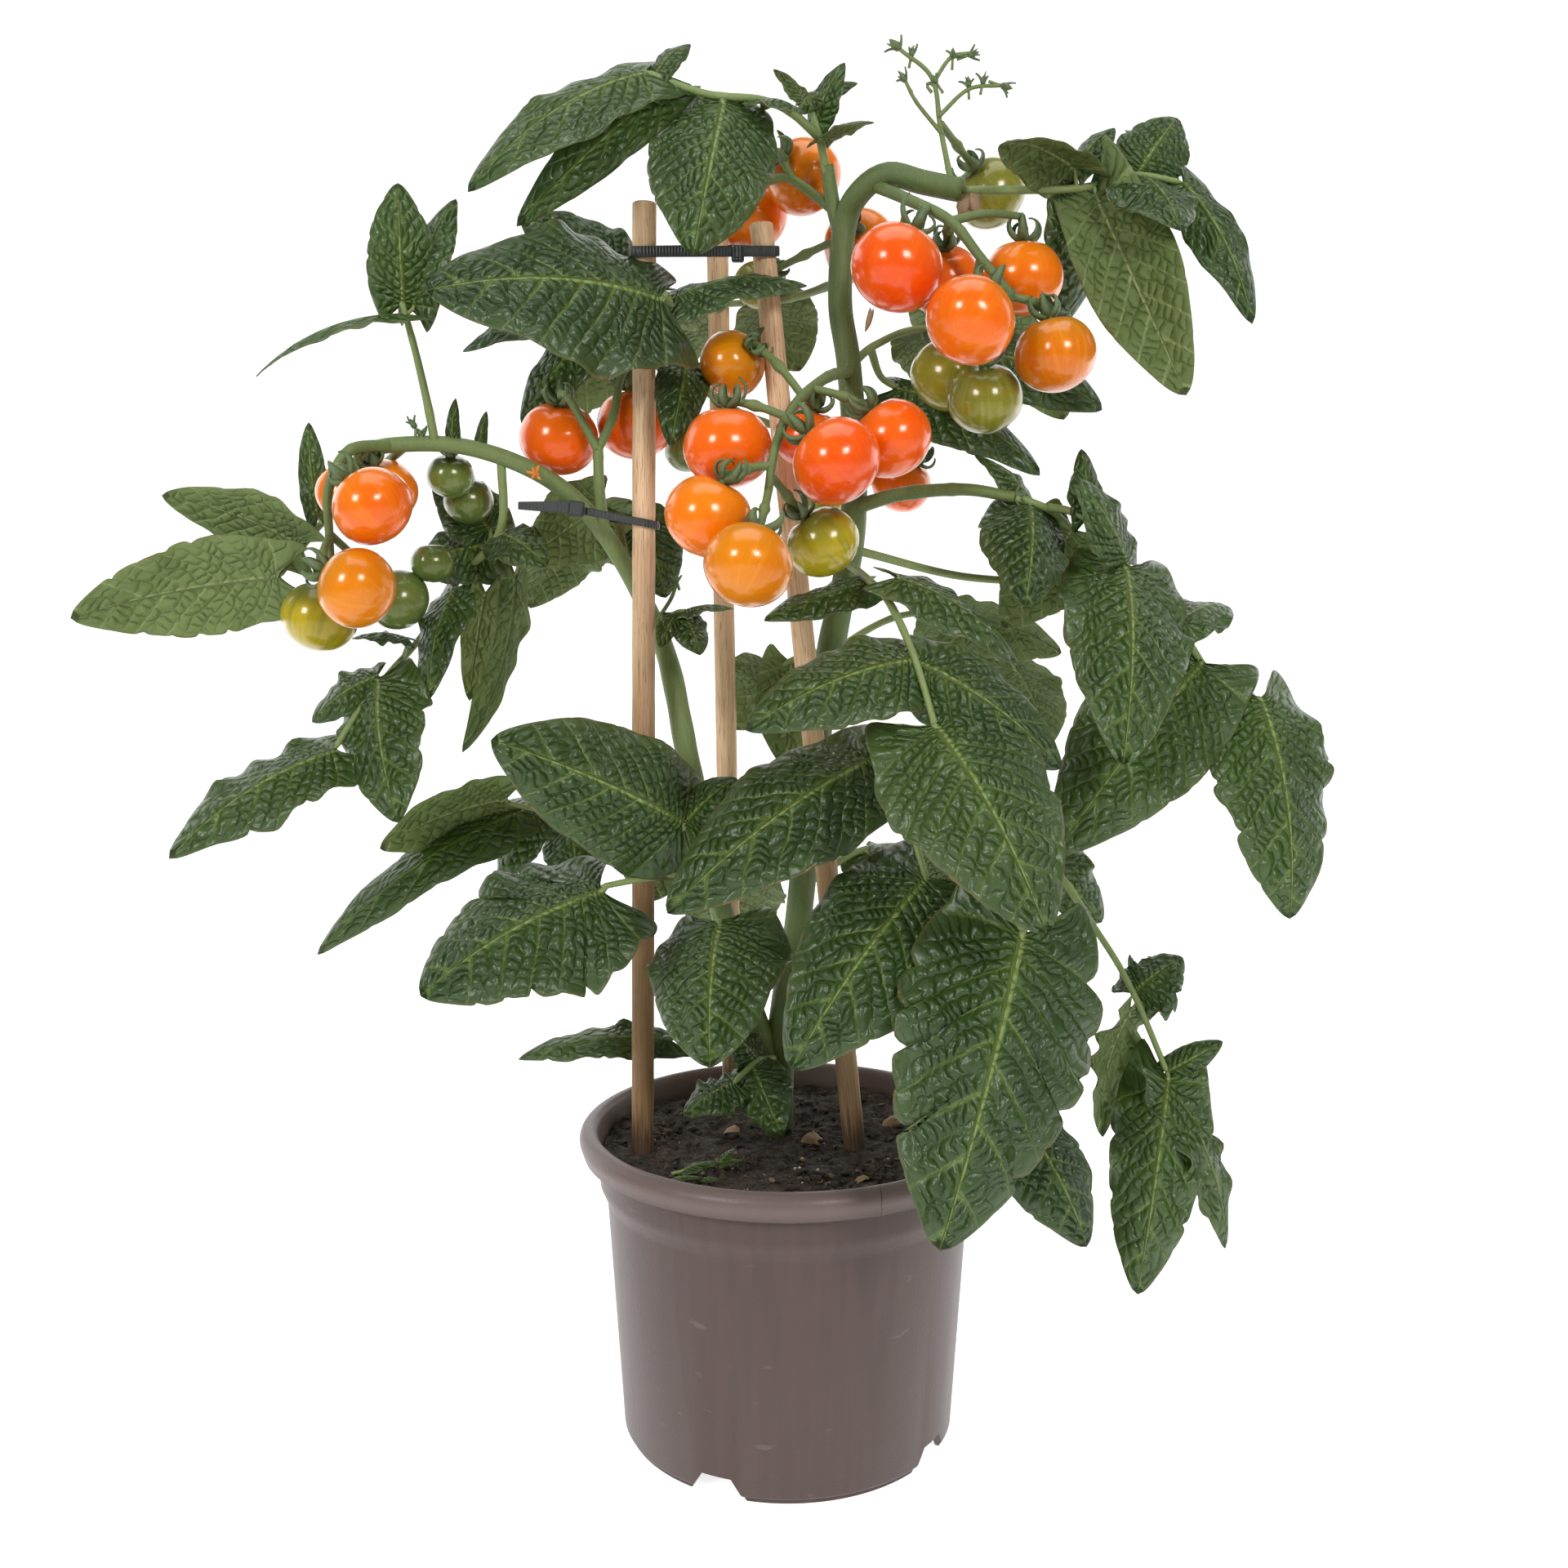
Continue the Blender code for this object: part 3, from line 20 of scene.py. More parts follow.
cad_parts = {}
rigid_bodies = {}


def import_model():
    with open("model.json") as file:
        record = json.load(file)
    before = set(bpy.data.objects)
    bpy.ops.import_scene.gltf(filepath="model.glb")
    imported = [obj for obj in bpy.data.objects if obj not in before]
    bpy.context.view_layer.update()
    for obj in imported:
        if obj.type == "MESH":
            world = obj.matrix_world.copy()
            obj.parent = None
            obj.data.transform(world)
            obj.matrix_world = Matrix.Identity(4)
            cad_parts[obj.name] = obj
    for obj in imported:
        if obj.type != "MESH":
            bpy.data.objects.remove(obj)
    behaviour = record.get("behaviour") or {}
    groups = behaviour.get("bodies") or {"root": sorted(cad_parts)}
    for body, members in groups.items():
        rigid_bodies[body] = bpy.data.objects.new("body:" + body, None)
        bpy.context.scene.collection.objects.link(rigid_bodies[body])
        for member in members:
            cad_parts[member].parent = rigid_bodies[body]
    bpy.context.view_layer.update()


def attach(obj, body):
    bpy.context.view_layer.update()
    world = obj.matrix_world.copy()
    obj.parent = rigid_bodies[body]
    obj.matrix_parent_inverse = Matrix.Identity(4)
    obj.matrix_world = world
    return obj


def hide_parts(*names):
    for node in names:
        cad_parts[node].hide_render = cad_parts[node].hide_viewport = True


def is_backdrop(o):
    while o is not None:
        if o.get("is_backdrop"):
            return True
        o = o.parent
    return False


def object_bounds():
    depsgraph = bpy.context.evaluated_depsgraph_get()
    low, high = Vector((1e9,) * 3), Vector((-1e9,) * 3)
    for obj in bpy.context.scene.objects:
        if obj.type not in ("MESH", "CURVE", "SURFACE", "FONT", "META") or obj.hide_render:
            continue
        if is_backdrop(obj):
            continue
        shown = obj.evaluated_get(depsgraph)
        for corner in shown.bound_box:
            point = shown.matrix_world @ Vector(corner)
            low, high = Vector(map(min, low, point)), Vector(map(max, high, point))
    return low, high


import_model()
MM = 0.001
UP = Vector((0.0, 0.0, 1.0))

# %% [markdown]
# ## Camera and lamps
# A plant like this is shown in a white studio. Fruit tells how it is lit: each one carries two soft
# spots of light side by side, so two soft square lamps stand in front, left and right. The pot is
# darker in the middle than at its sides, which means that wide pale lights stand beside and behind
# it. Area lamps do for all of them, because their size sets how soft a shadow or a spot is.

# %% Camera
CAMERA_PLACE = (-0.0017, -0.687, 0.376)
CAMERA_TILT = 6.3            # degrees below level
CAMERA_LENS = 35.06          # millimetres, on a sensor of 36
camera_data = bpy.data.cameras.new("camera")
camera_data.lens = CAMERA_LENS
camera_data.sensor_width = 36.0
camera = bpy.data.objects.new("camera", camera_data)
camera.location = CAMERA_PLACE
camera.rotation_euler = (math.radians(90 - CAMERA_TILT), 0, 0)
bpy.context.scene.collection.objects.link(camera)
bpy.context.scene.camera = camera
bpy.context.scene.view_settings.view_transform = "Standard"
print("camera", CAMERA_PLACE, "lens", CAMERA_LENS)

# %% Lamps
Lamp = namedtuple("Lamp", "place aim size watts")
LAMPS = {
    "front_left": Lamp((-1.05, -1.35, 1.05), (0, 0, 0.38), (0.46, 0.46), 15),
    "front_right": Lamp((0.80, -1.50, 1.10), (0, 0, 0.38), (0.46, 0.46), 15),
    "overhead": Lamp((0.0, -0.1, 1.75), (0, 0, 0.2), (1.4, 1.0), 9),
    "side_left": Lamp((-1.35, 0.75, 0.6), (0, 0, 0.3), (0.9, 1.5), 8),
    "side_right": Lamp((1.35, 0.75, 0.6), (0, 0, 0.3), (0.9, 1.5), 8),
    "behind": Lamp((0.0, 1.2, 1.1), (0, 0, 0.35), (1.8, 1.2), 6),
}


def hang_lamp(name, lamp):
    """A soft rectangular lamp that faces a point."""
    data = bpy.data.lights.new(name, "AREA")
    data.shape = "RECTANGLE"
    data.size, data.size_y = lamp.size
    data.energy = lamp.watts
    made = bpy.data.objects.new(name, data)
    made.location = lamp.place
    made.rotation_euler = (Vector(lamp.aim) - Vector(lamp.place)).to_track_quat("-Z", "Y").to_euler()
    bpy.context.scene.collection.objects.link(made)


for lamp_name, lamp in LAMPS.items():
    hang_lamp(lamp_name, lamp)
AIR_COLOUR = (0.93, 0.96, 1.0, 1.0)
AIR_STRENGTH = 0.16
world = bpy.data.worlds.new("studio")
bpy.context.scene.world = world
world.use_nodes = True
air = world.node_tree.nodes["Background"].inputs
air["Color"].default_value = AIR_COLOUR
air["Strength"].default_value = AIR_STRENGTH
print(len(LAMPS), "lamps and a pale surround")

# %% [markdown]
# ## Shader sums that read like sums
# Every finish here is worked out from a few numbers that vary over the surface: how far a point is
# from a vein, how high it sits on a stake, how ripe the fruit is. In the shader editor each plus and
# times is a Math node, and a page of them is hard to follow. So one small class wraps a socket, and
# Python's own operators add the Math nodes. Colours are mixed with Mix nodes, because a Math node
# would turn them grey. One method adds any other node.

# %% A socket that can be added and multiplied
class Varying:
    """A value that changes over the surface; sums with it add Math nodes."""

    def __init__(self, finish, socket):
        self.finish = finish
        self.socket = socket

    def math(self, operation, *values):
        return self.finish.node("Math", {"operation": operation}, dict(enumerate(values)))

    def __add__(self, other):
        return self.math("ADD", self, other)

    def __radd__(self, other):
        return self.math("ADD", other, self)

    def __sub__(self, other):
        return self.math("SUBTRACT", self, other)

    def __rsub__(self, other):
        return self.math("SUBTRACT", other, self)

    def __mul__(self, other):
        return self.math("MULTIPLY", self, other)

    def __rmul__(self, other):
        return self.math("MULTIPLY", other, self)

    def __pow__(self, other):
        return self.math("POWER", self, other)

    def sine(self):
        return self.math("SINE", self)

    def absolute(self):
        return self.math("ABSOLUTE", self)

    def floor(self):
        return self.math("FLOOR", self)

    def fraction(self):
        return self.math("FRACT", self)

    def most(self, other):
        return self.math("MAXIMUM", self, other)

    def between(self, low, high):
        """0 below low, 1 above high, and a smooth step from one to the other."""
        settings = {"interpolation_type": "SMOOTHSTEP"}
        limits = {"Value": self, "From Min": low, "From Max": high}
        return self.finish.node("MapRange", settings, limits)


print("a socket now takes + - * ** and", [name for name in vars(Varying) if name[0] != "_"])


# %% A finish that adds its own nodes
class Finish:
    """A material, with short ways to add nodes to it; its constants are sockets of the shader."""

    def __init__(self, name, **constants):
        self.material = bpy.data.materials.new(name)
        self.material.use_nodes = True
        self.tree = self.material.node_tree
        self.shader = self.tree.nodes["Principled BSDF"]
        sockets = {socket.name.lower(): socket for socket in self.shader.inputs}
        for name, value in constants.items():
            sockets[name.replace("_", " ")].default_value = value

    def feed(self, socket, value):
        """Link a varying value to a socket, or set a constant on it."""
        if isinstance(value, Varying):
            self.tree.links.new(value.socket, socket)
        else:
            socket.default_value = value

    def node(self, kind, settings, sockets, output=0):
        """Add a node: its settings first, then a value or a link for each socket."""
        node = self.tree.nodes.new("ShaderNode" + kind)
        for name, value in settings.items():
            setattr(node, name, value)
        for name, value in sockets.items():
            self.feed(node.inputs[name], value)
        return Varying(self, node.outputs[output])

    def mix(self, share, first, second):
        """A colour that goes from the first to the second as share goes from 0 to 1."""
        first, second = (c if isinstance(c, Varying) else (*c, 1.0) for c in (first, second))
        return self.node("Mix", {"data_type": "RGBA"}, {0: share, 6: first, 7: second}, 2)

    def place(self):
        """The point's own place in the object, in metres."""
        return self.node("TexCoord", {}, {}, "Object")

    def start(self):
        """What most finishes are made from: mix, cloud and the point's place."""
        return self.mix, self.cloud, self.place()

    def mark(self, name):
        """Three numbers that the mesh keeps at each of its points."""
        return self.node("Attribute", {"attribute_name": name}, {}, "Vector")

    def parts(self, vector):
        """The three numbers of a vector."""
        split = self.tree.nodes.new("ShaderNodeSeparateXYZ")
        self.feed(split.inputs[0], vector)
        return [Varying(self, socket) for socket in split.outputs]

    def stretch(self, vector, scale):
        """Places multiplied along each axis; less than 1 makes a pattern longer that way."""
        return self.node("VectorMath", {"operation": "MULTIPLY"}, {0: vector, 1: scale})

    def cloud(self, vector, scale, detail=2.0):
        """Soft random patches between 0 and 1."""
        return self.node("TexNoise", {}, {"Vector": vector, "Scale": scale, "Detail": detail})

    def set(self, colour, roughness=None, height=None, depth=0.0):
        """Connect the results; depth is the height of a full step of the bump, in metres."""
        self.feed(self.shader.inputs["Base Color"], colour)
        if roughness is not None:
            self.feed(self.shader.inputs["Roughness"], roughness)
        if height is not None:
            bump = self.node("Bump", {}, {"Height": height, "Distance": depth, "Strength": 1.0})
            self.feed(self.shader.inputs["Normal"], bump)
        return self

    def lets_light_through(self, share, colour):
        """Mix in a little translucency, as a thin leaf has when light falls on its other side."""
        out = self.tree.nodes["Material Output"]
        glow = self.node("BsdfTranslucent", {}, {"Color": (*colour, 1.0)})
        surface = Varying(self, self.shader.outputs[0])
        both = self.node("MixShader", {}, {0: share, 1: surface, 2: glow})
        self.feed(out.inputs["Surface"], both)


print("a finish can", [name for name in vars(Finish) if name[0] != "_"])

# %% [markdown]
# ## The floor
# The pale floor rises behind the plant and becomes the wall. It is one sheet with a wide bend in it,
# so that no line shows where the floor ends. White paint alone would look grey here, because the
# lamps are set for the plant. So the sheet also glows, and it glows less near the viewer, where its
# light would brighten the pot and the undersides of the leaves.

# %% Floor that rises into a wall
FLOOR_REACH = 3.2            # metres to each side and towards the viewer
WALL_START = 1.6
WALL_BEND = 1.2
WALL_TOP = 3.4
BEND_STEPS = 12
GLOW_NEAR, GLOW_NEAR_PLACE = (0.16, 0.16, 0.16), -0.55
GLOW_FAR, GLOW_FAR_PLACE = (0.80, 0.80, 0.80), -0.10
studio_white = Finish("studio_white", roughness=0.9, emission_strength=1.0)
mix, cloud, spot = studio_white.start()
grain = cloud(spot, 3.0)
studio_white.set(mix(grain, (0.70, 0.70, 0.705), (0.74, 0.74, 0.74)))
_, depth, _ = studio_white.parts(spot)
glow = mix(depth.between(GLOW_NEAR_PLACE, GLOW_FAR_PLACE), GLOW_NEAR, GLOW_FAR)
studio_white.feed(studio_white.shader.inputs["Emission Color"], glow)


def floor_section():
    """The sweep from the side: flat floor, quarter bend, straight wall."""
    run = [(-FLOOR_REACH, 0.0), (WALL_START, 0.0)]
    for step in range(1, BEND_STEPS + 1):
        turn = math.pi / 2 * step / BEND_STEPS
        run.append((WALL_START + WALL_BEND * math.sin(turn), WALL_BEND * (1 - math.cos(turn))))
    return run + [(WALL_START + WALL_BEND, WALL_TOP)]


sweep = bpy.data.meshes.new("studio_sweep")
section = floor_section()
corners = [(x, y, z) for y, z in section for x in (-FLOOR_REACH, FLOOR_REACH)]
strips = [(2 * k, 2 * k + 1, 2 * k + 3, 2 * k + 2) for k in range(len(section) - 1)]
sweep.from_pydata(corners, [], strips)
sweep.shade_smooth()
sweep.materials.append(studio_white.material)
floor = bpy.data.objects.new("studio_sweep", sweep)
bpy.context.scene.collection.objects.link(floor)
floor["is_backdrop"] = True
print("floor and wall from", len(strips), "strips")

# %% [markdown]
# ## Gathering points into pieces
# A leaf has thousands of points, and adding them one by one with bmesh would be slow. Here each part
# of a piece is worked out as a NumPy array, and a small class gathers the arrays. It also keeps marks:
# three numbers for every point, which the finish reads back with an Attribute node. That is how a
# shader can know where the veins are, with nothing laid over the leaf.
# When a piece is done it rides on the plant's one body, it wears the finishes that it is given, and the
# plain solids that it takes the place of are hidden.

# %% A gatherer for meshes
class Shape:
    """Points, faces and marks that become one piece."""

    def __init__(self, *marks):
        self.points = []
        self.faces = []
        self.skins = []
        self.marks = {name: [] for name in marks}
        self.count = 0

    def add(self, points, faces, skin=0, **marks):
        """Put in more points and faces; skin is the number of their finish."""
        points = np.asarray(points, float).reshape(-1, 3)
        self.faces += [tuple(corner + self.count for corner in face) for face in faces]
        self.skins += [skin] * len(faces)
        self.points.append(points)
        for name, kept in self.marks.items():
            value = np.asarray(marks.get(name, (0.0, 0.0, 0.0)), float)
            kept.append(np.broadcast_to(value, points.shape))
        self.count += len(points)

    def piece(self, name, finishes, slot, nodes=(), sharp=None):
        """Make the mesh object. It rides on the plant's body, and the plain solids in nodes are hidden;
        slot is not used.
        """
        mesh = bpy.data.meshes.new(name)
        mesh.from_pydata((np.concatenate(self.points) * MM).tolist(), [], self.faces)
        for mark, kept in self.marks.items():
            layer = mesh.attributes.new(mark, "FLOAT_VECTOR", "POINT")
            layer.data.foreach_set("vector", np.concatenate(kept).ravel())
        for finish in finishes:
            mesh.materials.append(finish.material)
        mesh.polygons.foreach_set("material_index", self.skins)
        mesh.shade_smooth()
        if sharp:
            mesh.set_sharp_from_angle(angle=math.radians(sharp))
        made = bpy.data.objects.new(name, mesh)
        bpy.context.scene.collection.objects.link(made)
        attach(made, "root")
        if nodes:
            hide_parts(*nodes)
        return made


print("pieces are gathered from arrays of points, in millimetres")


# %% Smooth lines, round tubes and turned shapes
def axes_about(axis):
    """A direction, and two more that stand across it."""
    axis = Vector(axis).normalized()
    side = axis.orthogonal().normalized()
    return axis, side, axis.cross(side)


def smooth_line(points, step):
    """A Catmull-Rom curve through the points, cut into even steps of about this length."""
    spots = [Vector(p) for p in points]
    if len(spots) < 3:
        spots.insert(1, (spots[0] + spots[-1]) / 2)
    spots = [spots[0] * 2 - spots[1]] + spots + [spots[-1] * 2 - spots[-2]]
    line = [spots[1]]
    for before, start, end, after in zip(spots, spots[1:], spots[2:], spots[3:]):
        pieces = max(1, round((end - start).length / step))
        for k in range(1, pieces + 1):
            t = k / pieces
            line.append(0.5 * (2 * start + (end - before) * t
                               + (2 * before - 5 * start + 4 * end - after) * t ** 2
                               + (3 * start - before - 3 * end + after) * t ** 3))
    return line


def ring_faces(rings, sides):
    """Faces of a closed run of rings of points, with a flat face at each end."""
    faces = []
    for low in range(0, (rings - 1) * sides, sides):
        for turn in range(sides):
            nxt = (turn + 1) % sides
            faces.append((low + turn, low + nxt, low + sides + nxt, low + sides + turn))
    faces.append(tuple(range(sides))[::-1])
    faces.append(tuple(range((rings - 1) * sides, rings * sides)))
    return faces


def tube(line, radii, sides):
    """Points and faces of a round closed tube; radii is one number a point, or its two ends."""
    count = len(line)
    if len(radii) == 2 and count != 2:
        radii = [radii[0] + (radii[1] - radii[0]) * k / (count - 1) for k in range(count)]
    points = []
    side = (line[1] - line[0]).orthogonal()
    for k, spot in enumerate(line):
        along = (line[min(k + 1, count - 1)] - line[max(k - 1, 0)]).normalized()
        side = (side - along * side.dot(along)).normalized()
        other = along.cross(side)
        for turn in range(sides):
            angle = 2 * math.pi * turn / sides
            points.append(spot + (side * math.cos(angle) + other * math.sin(angle)) * radii[k])
    return points, ring_faces(count, sides)


def turned(profile, sides):
    """Points and faces of a closed shape turned round the Z axis from radius and height."""
    points, faces, rings = [], [], []
    for radius, height in profile:
        ring = [len(points)] * sides
        if radius < 1e-6:
            points.append((0.0, 0.0, height))
        else:
            for turn in range(sides):
                angle = 2 * math.pi * turn / sides
                ring[turn] = len(points)
                points.append((radius * math.cos(angle), radius * math.sin(angle), height))
        rings.append(ring)
    for low, high in zip(rings, rings[1:]):
        for turn in range(sides):
            nxt = (turn + 1) % sides
            face = []
            for corner in (low[turn], low[nxt], high[nxt], high[turn]):
                if corner not in face:
                    face.append(corner)
            faces.append(tuple(face))
    return points, faces


print("mesh helpers ready")

# %% [markdown]
# ## The pot
# A nursery pot is blown or pressed from thin recycled plastic: a tapered wall, a wider collar at the
# top, a rolled edge, and a short skirt with gaps in it, so that water can run out from under the
# floor plate. All of that is one section turned round the middle, and then cut. We turn the section
# with many sides, so that the roll looks round, and cut the gaps and drain holes with one Boolean.

# %% Pot sizes and section
POT_SIDES = 144
RIM_RADIUS = 95.8
RIM_TOP = 144.0
ROLL_DEPTH = 12.5
COLLAR_RADIUS = 87.4
COLLAR_BOTTOM = 117.0
WALL_TOP_RADIUS = 83.6
WALL_FOOT_RADIUS = 76.6
WALL_THICKNESS = 1.7
SKIRT_HEIGHT = 11.0
BOSS_RADIUS = 22.0
NOTCH_ANGLES = (-113.7, -33.0, 66.3, 147.0)
NOTCH_WIDTHS = (26.0, 14.0)
NOTCH_HEIGHT = 10.0
DRAIN_COUNT = 8
DRAIN_RADIUS = 4.0
DRAIN_CIRCLE = 56.0


def arc(middle, radius, start, stop, steps):
    """Points on part of a circle in the section, angles in degrees from outward."""
    spots = []
    for k in range(steps + 1):
        angle = math.radians(start + (stop - start) * k / steps)
        spots.append((middle[0] + radius * math.cos(angle), middle[1] + radius * math.sin(angle)))
    return spots


def pot_section():
    """From the middle of the underside out, up the wall, over the roll and down the inside."""
    thick = WALL_THICKNESS
    under = [(0, 0), (BOSS_RADIUS, 0), (BOSS_RADIUS + 1, 0.4), (BOSS_RADIUS + 7, SKIRT_HEIGHT),
             (WALL_FOOT_RADIUS - 4.4, SKIRT_HEIGHT), (WALL_FOOT_RADIUS - 4.0, 0)]
    foot = [(WALL_FOOT_RADIUS - 2.3, 0), (WALL_FOOT_RADIUS - 1.8, 0.4), (WALL_FOOT_RADIUS - 1.6, 2.2),
            (WALL_FOOT_RADIUS - 0.5, 2.7), (WALL_FOOT_RADIUS, 3.6)]
    wall = [(WALL_TOP_RADIUS - 0.3, COLLAR_BOTTOM - 7.5), (WALL_TOP_RADIUS + 0.2, COLLAR_BOTTOM - 5),
            (WALL_TOP_RADIUS + 1.4, COLLAR_BOTTOM - 2.6), (COLLAR_RADIUS - 1.9, COLLAR_BOTTOM - 0.8),
            (COLLAR_RADIUS - 0.9, COLLAR_BOTTOM + 0.8), (COLLAR_RADIUS - 0.6, COLLAR_BOTTOM + 3.5)]
    low = RIM_TOP - ROLL_DEPTH
    under_roll = [(COLLAR_RADIUS, low - 0.5), (COLLAR_RADIUS + 0.6, low),
                  (RIM_RADIUS - 3.0, low), (RIM_RADIUS - 1.8, low + 0.8)]
    roll = arc((RIM_RADIUS - 5.2, RIM_TOP - 5.4), 5.2, -24, 96, 10)
    roll += [(RIM_RADIUS - 7.4, RIM_TOP - 1.0), (RIM_RADIUS - 8.6, RIM_TOP - 3.0)]
    inside = [(COLLAR_RADIUS - thick, low), (COLLAR_RADIUS - thick - 0.8, COLLAR_BOTTOM),
              (WALL_TOP_RADIUS - thick, COLLAR_BOTTOM - 6),
              (WALL_FOOT_RADIUS - thick + 0.4, SKIRT_HEIGHT + thick)]
    floor_plate = [(BOSS_RADIUS + 5.2, SKIRT_HEIGHT + thick), (BOSS_RADIUS - 1.8, thick), (0, thick)]
    return under + foot + wall + under_roll + roll + inside + floor_plate


print("pot section of", len(pot_section()), "points,", 2 * RIM_RADIUS, "mm across the roll")

# %% Pot plastic
# Recycled taupe plastic: faint upright flow streaks, a slight orange peel, a few pale scuffs, and
# one hair crack that runs down the roll.
CRACK_SIDE = 38.0 * MM
pot_plastic = Finish("pot_plastic", roughness=0.42, specular_ior_level=0.32)
mix, cloud, spot = pot_plastic.start()
x, y, z = pot_plastic.parts(spot)
streaks = cloud(pot_plastic.stretch(spot, (1.0, 1.0, 0.035)), 190, 3)
patches = cloud(spot, 21, 3)
scuffs = cloud(pot_plastic.stretch(spot, (0.6, 0.6, 1.6)), 85, 4).between(0.66, 0.74)
wobble = (cloud(spot, 160, 1) - 0.5) * 0.0022
crack = 1 - (x - CRACK_SIDE + wobble).absolute().between(0.0001, 0.0004)
crack = crack * z.between(0.1295, 0.131) * (0 - y).between(0.0, 0.02)
tone = mix(streaks.between(0.3, 0.7), (0.074, 0.048, 0.043), (0.087, 0.056, 0.050))
tone = mix(patches.between(0.35, 0.75) * 0.5, tone, (0.080, 0.050, 0.044))
# Painted highlight: the top of the rolled rim is mixed towards a paler taupe, as if lit from above.
tone = mix(z.between(0.129, 0.137) * 0.7, tone, (0.165, 0.120, 0.110))
tone = mix(scuffs * 0.22, tone, (0.26, 0.22, 0.21))
# Painted shade: the lowest few millimetres, where the foot steps in under the pot, are darker.
tone = mix(z.between(0.0034, 0.0018) * 0.55, tone, (0.055, 0.036, 0.034))
tone = mix(crack * 0.7, tone, (0.045, 0.028, 0.026))
peel = cloud(spot, 900, 2) + streaks * 0.6
pot_plastic.set(tone, 0.34 + streaks * 0.10 + scuffs * 0.1, peel, 0.00012)
print("pot plastic has", len(pot_plastic.tree.nodes), "nodes")


# %% What is cut out of the pot
def cutter(points, faces):
    """A plain solid that is only there to be taken away."""
    mesh = bpy.data.meshes.new("cutter")
    mesh.from_pydata([Vector(p) * MM for p in points], [], faces)
    made = bpy.data.objects.new("cutter", mesh)
    bpy.context.scene.collection.objects.link(made)
    return made


def notch(angle):
    """The wedge of a gap in the foot skirt, wider at the floor."""
    wide, narrow = (width / 2 for width in NOTCH_WIDTHS)
    section = ((-wide - 1, -1.0), (wide + 1, -1.0), (narrow, NOTCH_HEIGHT), (-narrow, NOTCH_HEIGHT))
    near, far = WALL_FOOT_RADIUS - 12, WALL_FOOT_RADIUS + 6
    points = [(radius, y, z) for radius in (near, far) for y, z in section]
    faces = [(3, 2, 1, 0), (4, 5, 6, 7), (0, 1, 5, 4), (1, 2, 6, 5), (2, 3, 7, 6), (3, 0, 4, 7)]
    spin = Matrix.Rotation(math.radians(angle), 4, "Z")
    return cutter([spin @ Vector(p) for p in points], faces)


def drain(number):
    """The round rod of a drain hole."""
    turn = 2 * math.pi * (number + 0.5) / DRAIN_COUNT
    foot = Vector((DRAIN_CIRCLE * math.cos(turn), DRAIN_CIRCLE * math.sin(turn), SKIRT_HEIGHT - 3))
    return cutter(*tube([foot, foot + UP * 8], [DRAIN_RADIUS] * 2, 24))


def cut(made, cutters):
    """Take the cutters away from the piece, and then remove them."""
    group = bpy.data.collections.new("cutters")
    bpy.context.scene.collection.children.link(group)
    for tool in cutters:
        group.objects.link(tool)
    boolean = made.modifiers.new("cut", "BOOLEAN")
    boolean.operation, boolean.operand_type, boolean.solver = "DIFFERENCE", "COLLECTION", "MANIFOLD"
    boolean.collection = group
    ready = made.evaluated_get(bpy.context.evaluated_depsgraph_get())
    mesh = bpy.data.meshes.new_from_object(ready)
    made.modifiers.clear()
    made.data = mesh
    for tool in cutters:
        bpy.data.objects.remove(tool, do_unlink=True)
    bpy.data.collections.remove(group)


print(len(NOTCH_ANGLES), "gaps in the skirt and", DRAIN_COUNT, "drain holes")

# %% Turn the pot and cut it
pot = Shape()
pot.add(*turned(pot_section(), POT_SIDES))
pot_piece = pot.piece("pot_body", [pot_plastic], "pot_plastic", ["pot"])
cut(pot_piece, [notch(angle) for angle in NOTCH_ANGLES] + [drain(k) for k in range(DRAIN_COUNT)])
pot_piece.data.set_sharp_from_angle(angle=math.radians(38))
print("pot body:", len(pot_piece.data.polygons), "faces")

# %% [markdown]
# ## The soil
# Potting soil is peat with bits of bark, pale perlite and the odd dead leaf. Seen from a step away it
# is a rough dark bed with crumbs on it, so a bump map alone would look like a painted lid. We build
# the bed as rings of points lifted by slow waves and by finer random noise, and then strew real
# crumbs: small lumps with a few corners each, mostly peat, some bark, a few of perlite.

# %% Soil bed
SOIL_LEVEL = 133.0
SOIL_RADIUS = COLLAR_RADIUS - WALL_THICKNESS - 0.5
SOIL_RINGS = 64
SOIL_SIDES = 160


def soil_height(x, y):
    """The lumps of the plain model's soil, with finer ones on top."""
    lumps = math.sin(0.11 * x + 0.6) * math.cos(0.13 * y - 0.4)
    small = math.sin(0.31 * x - 0.2 * y) * math.cos(0.27 * y + 0.9)
    crumbs = noise.fractal(Vector((x * 0.16, y * 0.16, 3.1)), 0.8, 2.2, 4)
    return SOIL_LEVEL + 1.2 * lumps + 0.6 * small + 2.0 * crumbs


def soil_profile():
    """The part of the bed that the pot hides, from the middle of its underside to its top edge."""
    gap = 0.4
    low = WALL_THICKNESS + gap
    plate = SKIRT_HEIGHT + WALL_THICKNESS + gap
    return [(0, low), (BOSS_RADIUS - 2.4, low), (BOSS_RADIUS + 4.6, plate),
            (WALL_FOOT_RADIUS - WALL_THICKNESS - 0.3, plate),
            (WALL_TOP_RADIUS - WALL_THICKNESS - gap, COLLAR_BOTTOM - 6),
            (COLLAR_RADIUS - WALL_THICKNESS - 1.2, COLLAR_BOTTOM), (SOIL_RADIUS, SOIL_LEVEL)]


def make_bed():
    """The closed bed, with its top lifted into lumps."""
    profile = soil_profile()
    profile += [(SOIL_RADIUS * (1 - k / SOIL_RINGS), SOIL_LEVEL) for k in range(1, SOIL_RINGS + 1)]
    points, faces = turned(profile, SOIL_SIDES)
    lifted = [(x, y, soil_height(x, y) if z > SOIL_LEVEL - 0.5 else z) for x, y, z in points]
    bed = Shape("mark")
    bed.add(lifted, faces)
    return bed


bed = make_bed()
print("soil bed", 2 * SOIL_RADIUS, "mm across at", SOIL_LEVEL, "mm")

